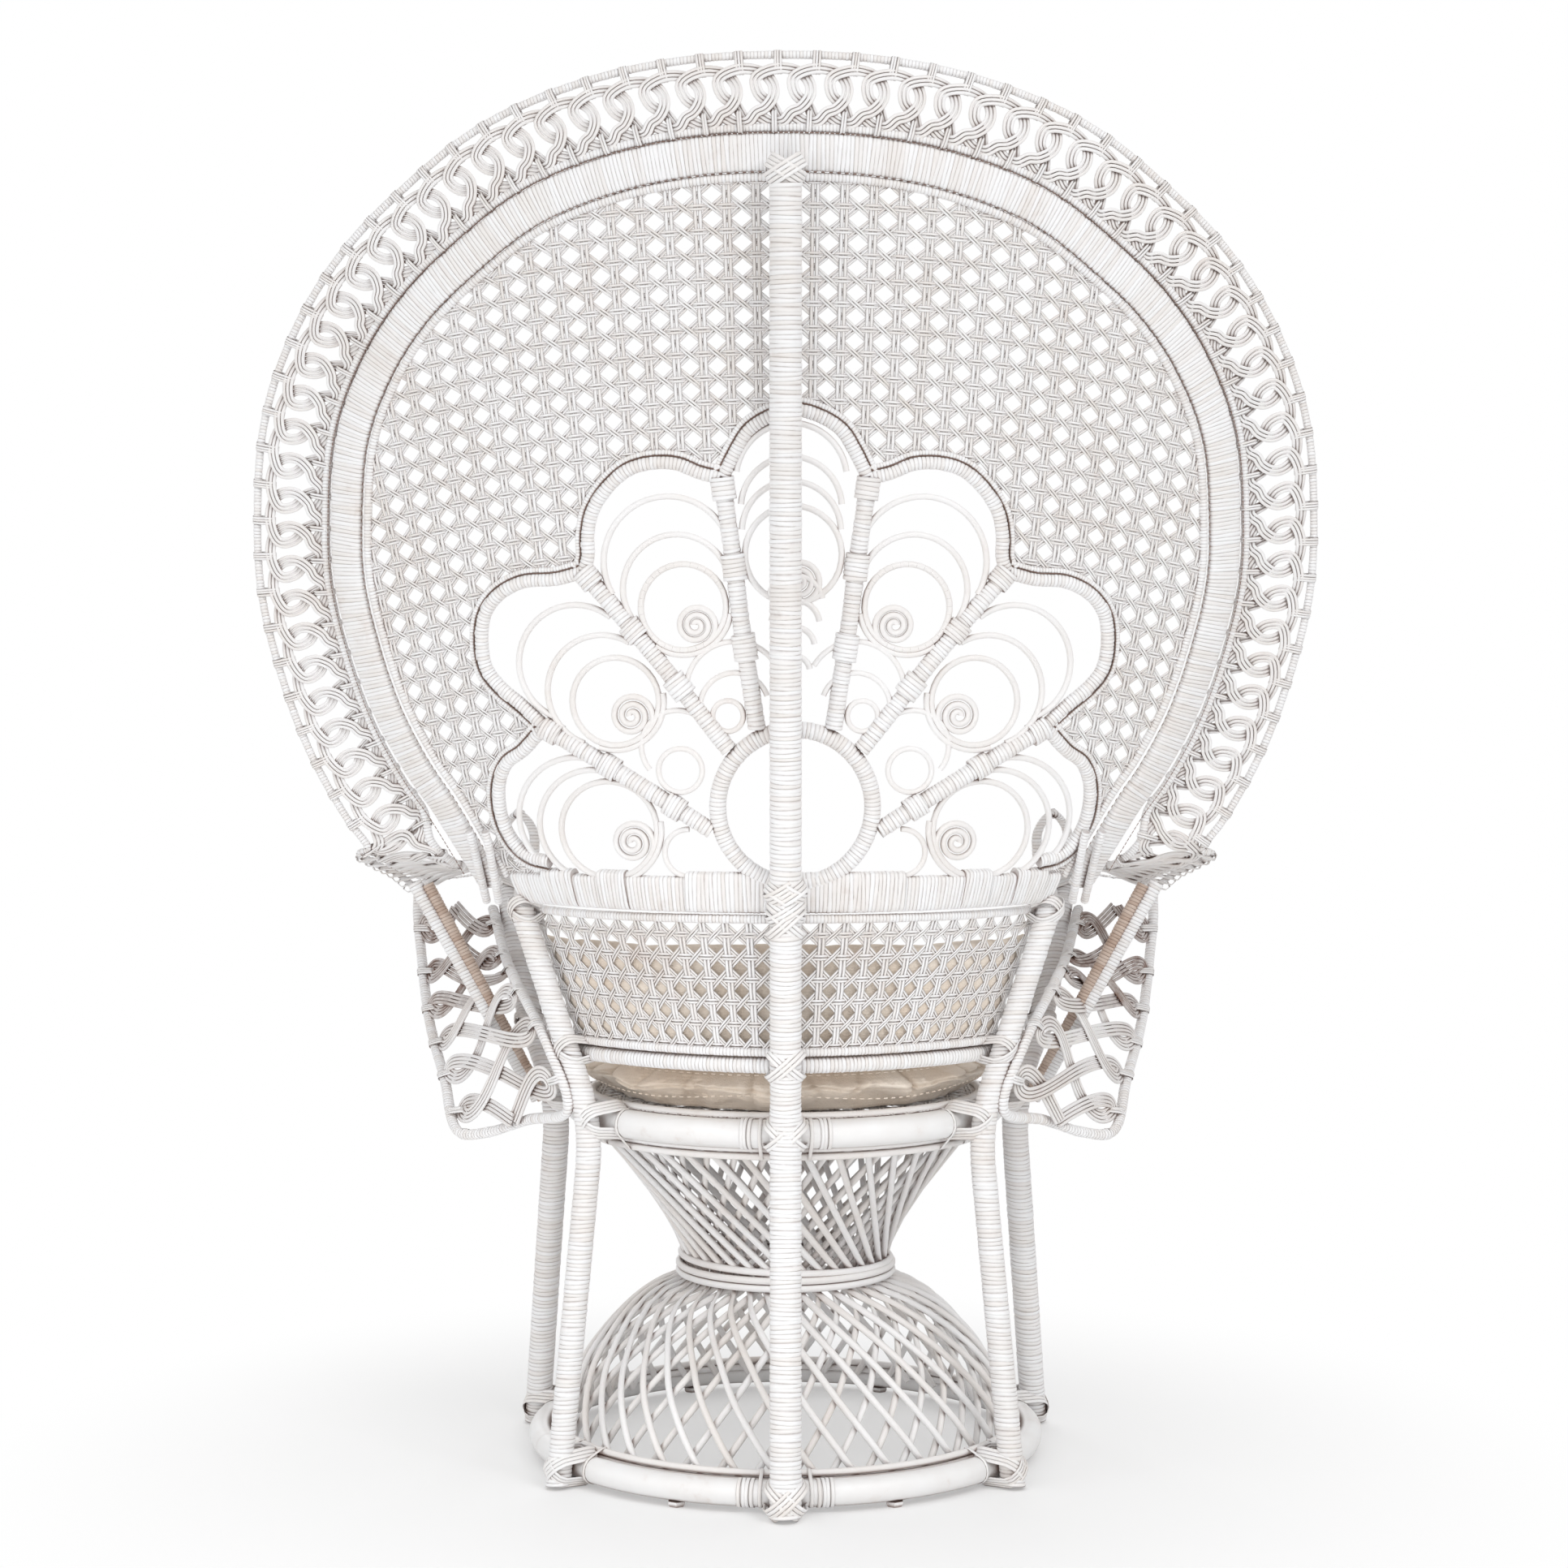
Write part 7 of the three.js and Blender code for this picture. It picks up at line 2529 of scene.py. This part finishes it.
        rear, front = [], []
        for row in range(rows):
            v = row / (rows - 1)
            for column in range(columns):
                u = column / (columns - 1)
                swell = math.sqrt(max(0.0, (1 - abs(2 * u - 1) ** 5) * (1 - abs(2 * v - 1) ** 4)))
                height = foot + 5 + v * (top - foot - 10)
                point, inward = wall(u, height)
                point = point.copy()
                point[2] = height
                rear.append(point + inward * (11 + 7 * (1 - swell)))
                front.append(point + inward * (20 + 32 * swell))
        points = np.vstack([rear, front])
        count = rows * columns
        faces: list[tuple[int, ...]] = [tuple(face[::-1]) for face in grid_faces(columns, rows, False)]
        faces += [tuple(index + count for index in face) for face in grid_faces(columns, rows, False)]
        border = [*range(columns), *(row * columns + columns - 1 for row in range(1, rows)),
                  *range(count - 2, count - columns - 1, -1), *(row * columns for row in range(rows - 2, 0, -1))]
        for first, second in zip(border, border[1:] + border[:1]):
            faces.append((first, second, second + count, first + count))
        piece = mesh_object("back_pillow", points, faces)
        tufts = []
        half_way = (foot + top) / 2
        for share in (0.25, 0.5, 0.75):
            point, inward = wall(share, half_way)
            point = point.copy()
            point[2] = half_way
            tufts.append(tuple(to_metres((point + inward * 52)[None, :])[0]))
        self.puff(piece, 0.012, tufts, 0.014)
        places = self.points(piece)
        dip = np.zeros(len(places))
        middle = to_metres(np.array([[0.0, 0.0, 0.0]]))[0]
        inward_all = unit((middle - places) * np.array([1, 1, 0]))
        for tuft in tufts:
            distance = np.linalg.norm(places - np.array(tuft), axis=1)
            dip = np.maximum(dip, np.exp(-(distance / 0.03) ** 2) * 0.012 + np.exp(-(distance / 0.01) ** 2) * 0.004)
        places = places - inward_all * dip[:, None]
        places[:, 2] = np.maximum(places[:, 2], (foot - 1) / 1000)
        self.place(piece, places)
        self.shade(piece, np.clip(dip * 40, 0, 1))
        piece.data.materials.append(self.shop.cotton)
        dress(piece, Slot.COTTON, "back_cushion")

    def deck(self) -> None:
        """Builds the woven deck under the seat cushion."""
        weave = Weave()
        routes = []
        reach = self.deck_radius + 3
        half = self.deck_radius + 6
        middle_height = self.deck_top - 3.2

        def keep(plan: Array) -> Array:
            """Says which rows lie on the deck."""
            return np.hypot(plan[:, 0], plan[:, 1]) < reach

        for kind, lines in weave.lines((-half, -half), (half, half)).items():
            tones = random_tones(len(lines), 260 + len(kind))
            for tone, line in zip(tones, lines):
                for run in clipped(line, keep):
                    height = middle_height + run[:, 2] * weave.unit_lift
                    points = np.stack([run[:, 0], run[:, 1], height], axis=1)
                    routes.append(Route(points, [0.0, 0.0, 1.0], False, float(tone), 0.2))
        self.shop.sweep("woven_deck", routes, 0.5, self.shop.strip, Slot.WEBBING, ("seat_deck",), half_width=1.9,
                        sides=4, squareness=0.5)

    def build(self) -> None:
        """Builds the deck and both cushions."""
        self.deck()
        self.seat_cushion()
        self.back_cushion()


@dataclass
class Studio:
    """Plain pale floor, soft light from all round, and the camera at the photograph's place."""

    distance: float = 3366.0
    eye_height: float = 0.867
    focal_pixels: float = 3640.0
    frame_pixels: float = 1932.0
    centre_pixels: tuple[float, float] = (968.0, 842.0)
    floor_radius: float = 12.0
    # The floor's shadow fades to white between these distances from the middle, in metres
    fade: tuple[float, float] = (0.32, 0.95)

    def camera(self) -> None:
        """Adds the camera, which looks level at the back of the chair."""
        data = bpy.data.cameras.new("camera")
        data.sensor_width = 36.0
        data.lens = self.focal_pixels / self.frame_pixels * data.sensor_width
        middle = self.frame_pixels / 2
        data.shift_x = (middle - self.centre_pixels[0]) / self.frame_pixels
        data.shift_y = -(middle - self.centre_pixels[1]) / self.frame_pixels
        camera = bpy.data.objects.new("camera", data)
        camera.location = (0, self.distance / 1000 + SOURCE_SHIFT.y, self.eye_height)
        camera.rotation_euler = (math.radians(90), 0, math.radians(180))
        bpy.context.scene.collection.objects.link(camera)
        bpy.context.scene.camera = camera

    def light(self, name: str, place: tuple[float, float, float], size: float, power: float,
              aim: float = 0.75) -> None:
        """Adds a square lamp that points at the chair's axis.

        Args:
            name: Name of the lamp.
            place: Where it hangs, in metres.
            size: Length of its sides.
            power: Its power in watts.
            aim: Height on the axis that it points at.
        """
        data = bpy.data.lights.new(name, "AREA")
        data.size, data.energy = size, power
        lamp = bpy.data.objects.new(name, data)
        lamp.location = place
        lamp.rotation_euler = (Vector((0, 0, aim)) - Vector(place)).to_track_quat("-Z", "Y").to_euler()
        bpy.context.scene.collection.objects.link(lamp)

    def world(self) -> None:
        """Lights the scene evenly, with white behind the chair for the camera and in reflections."""
        world = bpy.data.worlds.new("studio")
        world.use_nodes = True
        tree = world.node_tree
        tree.nodes.clear()
        path = add_node(tree, "ShaderNodeLightPath")
        seen = add_node(tree, "ShaderNodeMath", {
            0: path.outputs["Is Camera Ray"], 1: path.outputs["Is Glossy Ray"]}, operation="MAXIMUM")
        through = add_node(tree, "ShaderNodeMath", {0: seen, 1: path.outputs["Is Transmission Ray"]},
                           operation="MAXIMUM")
        soft = add_node(tree, "ShaderNodeBackground", {"Color": (1, 1, 1, 1), "Strength": 0.6})
        white = add_node(tree, "ShaderNodeBackground", {"Color": (1, 1, 1, 1), "Strength": 1.0})
        mix = add_node(tree, "ShaderNodeMixShader", {0: through, 1: soft, 2: white})
        add_node(tree, "ShaderNodeOutputWorld", {"Surface": mix})
        bpy.context.scene.world = world

    def floor(self) -> None:
        """Adds the floor, which takes the chair's shadow near it and fades to white further out."""
        count = 64
        angle = np.linspace(0, 2 * np.pi, count, endpoint=False)
        points = [(self.floor_radius * math.cos(turn), self.floor_radius * math.sin(turn), 0.0) for turn in angle]
        mesh = bpy.data.meshes.new("floor")
        mesh.from_pydata(points, [], [tuple(range(count))])
        floor = bpy.data.objects.new("floor", mesh)
        bpy.context.scene.collection.objects.link(floor)
        material = bpy.data.materials.new("pale floor")
        material.use_nodes = True
        tree = material.node_tree
        tree.nodes.clear()
        coords = add_node(tree, "ShaderNodeTexCoord").outputs["Object"]
        reach = add_node(tree, "ShaderNodeVectorMath", {0: coords}, operation="LENGTH").outputs["Value"]
        near, far = self.fade
        fade = add_node(tree, "ShaderNodeMapRange", {
            "Value": reach, "From Min": near, "From Max": far, "To Min": 0.3}, interpolation_type="SMOOTHSTEP")
        path = add_node(tree, "ShaderNodeLightPath")
        shown = add_node(tree, "ShaderNodeMath", {
            0: fade.outputs["Result"], 1: path.outputs["Is Camera Ray"]}, operation="MULTIPLY")
        paper = add_node(tree, "ShaderNodeBsdfDiffuse", {"Color": srgb("#f6f6f6")})
        white = add_node(tree, "ShaderNodeEmission", {"Color": (1, 1, 1, 1), "Strength": 1.0})
        mix = add_node(tree, "ShaderNodeMixShader", {0: shown, 1: paper, 2: white})
        add_node(tree, "ShaderNodeOutputMaterial", {"Surface": mix})
        mesh.materials.append(material)

    def build(self) -> None:
        """Builds the whole setting."""
        self.camera()
        self.world()
        self.light("key", (-1.5, 2.3, 2.7), 1.5, 32)
        self.light("fill", (2.1, 1.9, 1.5), 2.0, 16)
        self.light("low", (0.1, 1.6, 0.45), 0.9, 5.5, -2.1)
        self.light("front", (0.3, -2.8, 2.2), 2.6, 30)
        self.floor()
        bpy.context.scene.view_settings.view_transform = "Standard"


def main() -> None:
    """Builds the chair piece by piece, then its setting."""
    logging.basicConfig(level=logging.INFO, format="%(name)s %(message)s")
    shop = Workshop()
    flower = Flower(shop)
    for assembly in (Base(shop), Legs(shop), Barrel(shop), FanBack(shop), Fringe(shop), flower,
                     FanWebbing(shop, flower), Arms(shop), Seat(shop), Studio()):
        assembly.build()
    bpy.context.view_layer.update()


if __name__ == "__main__":
    main()
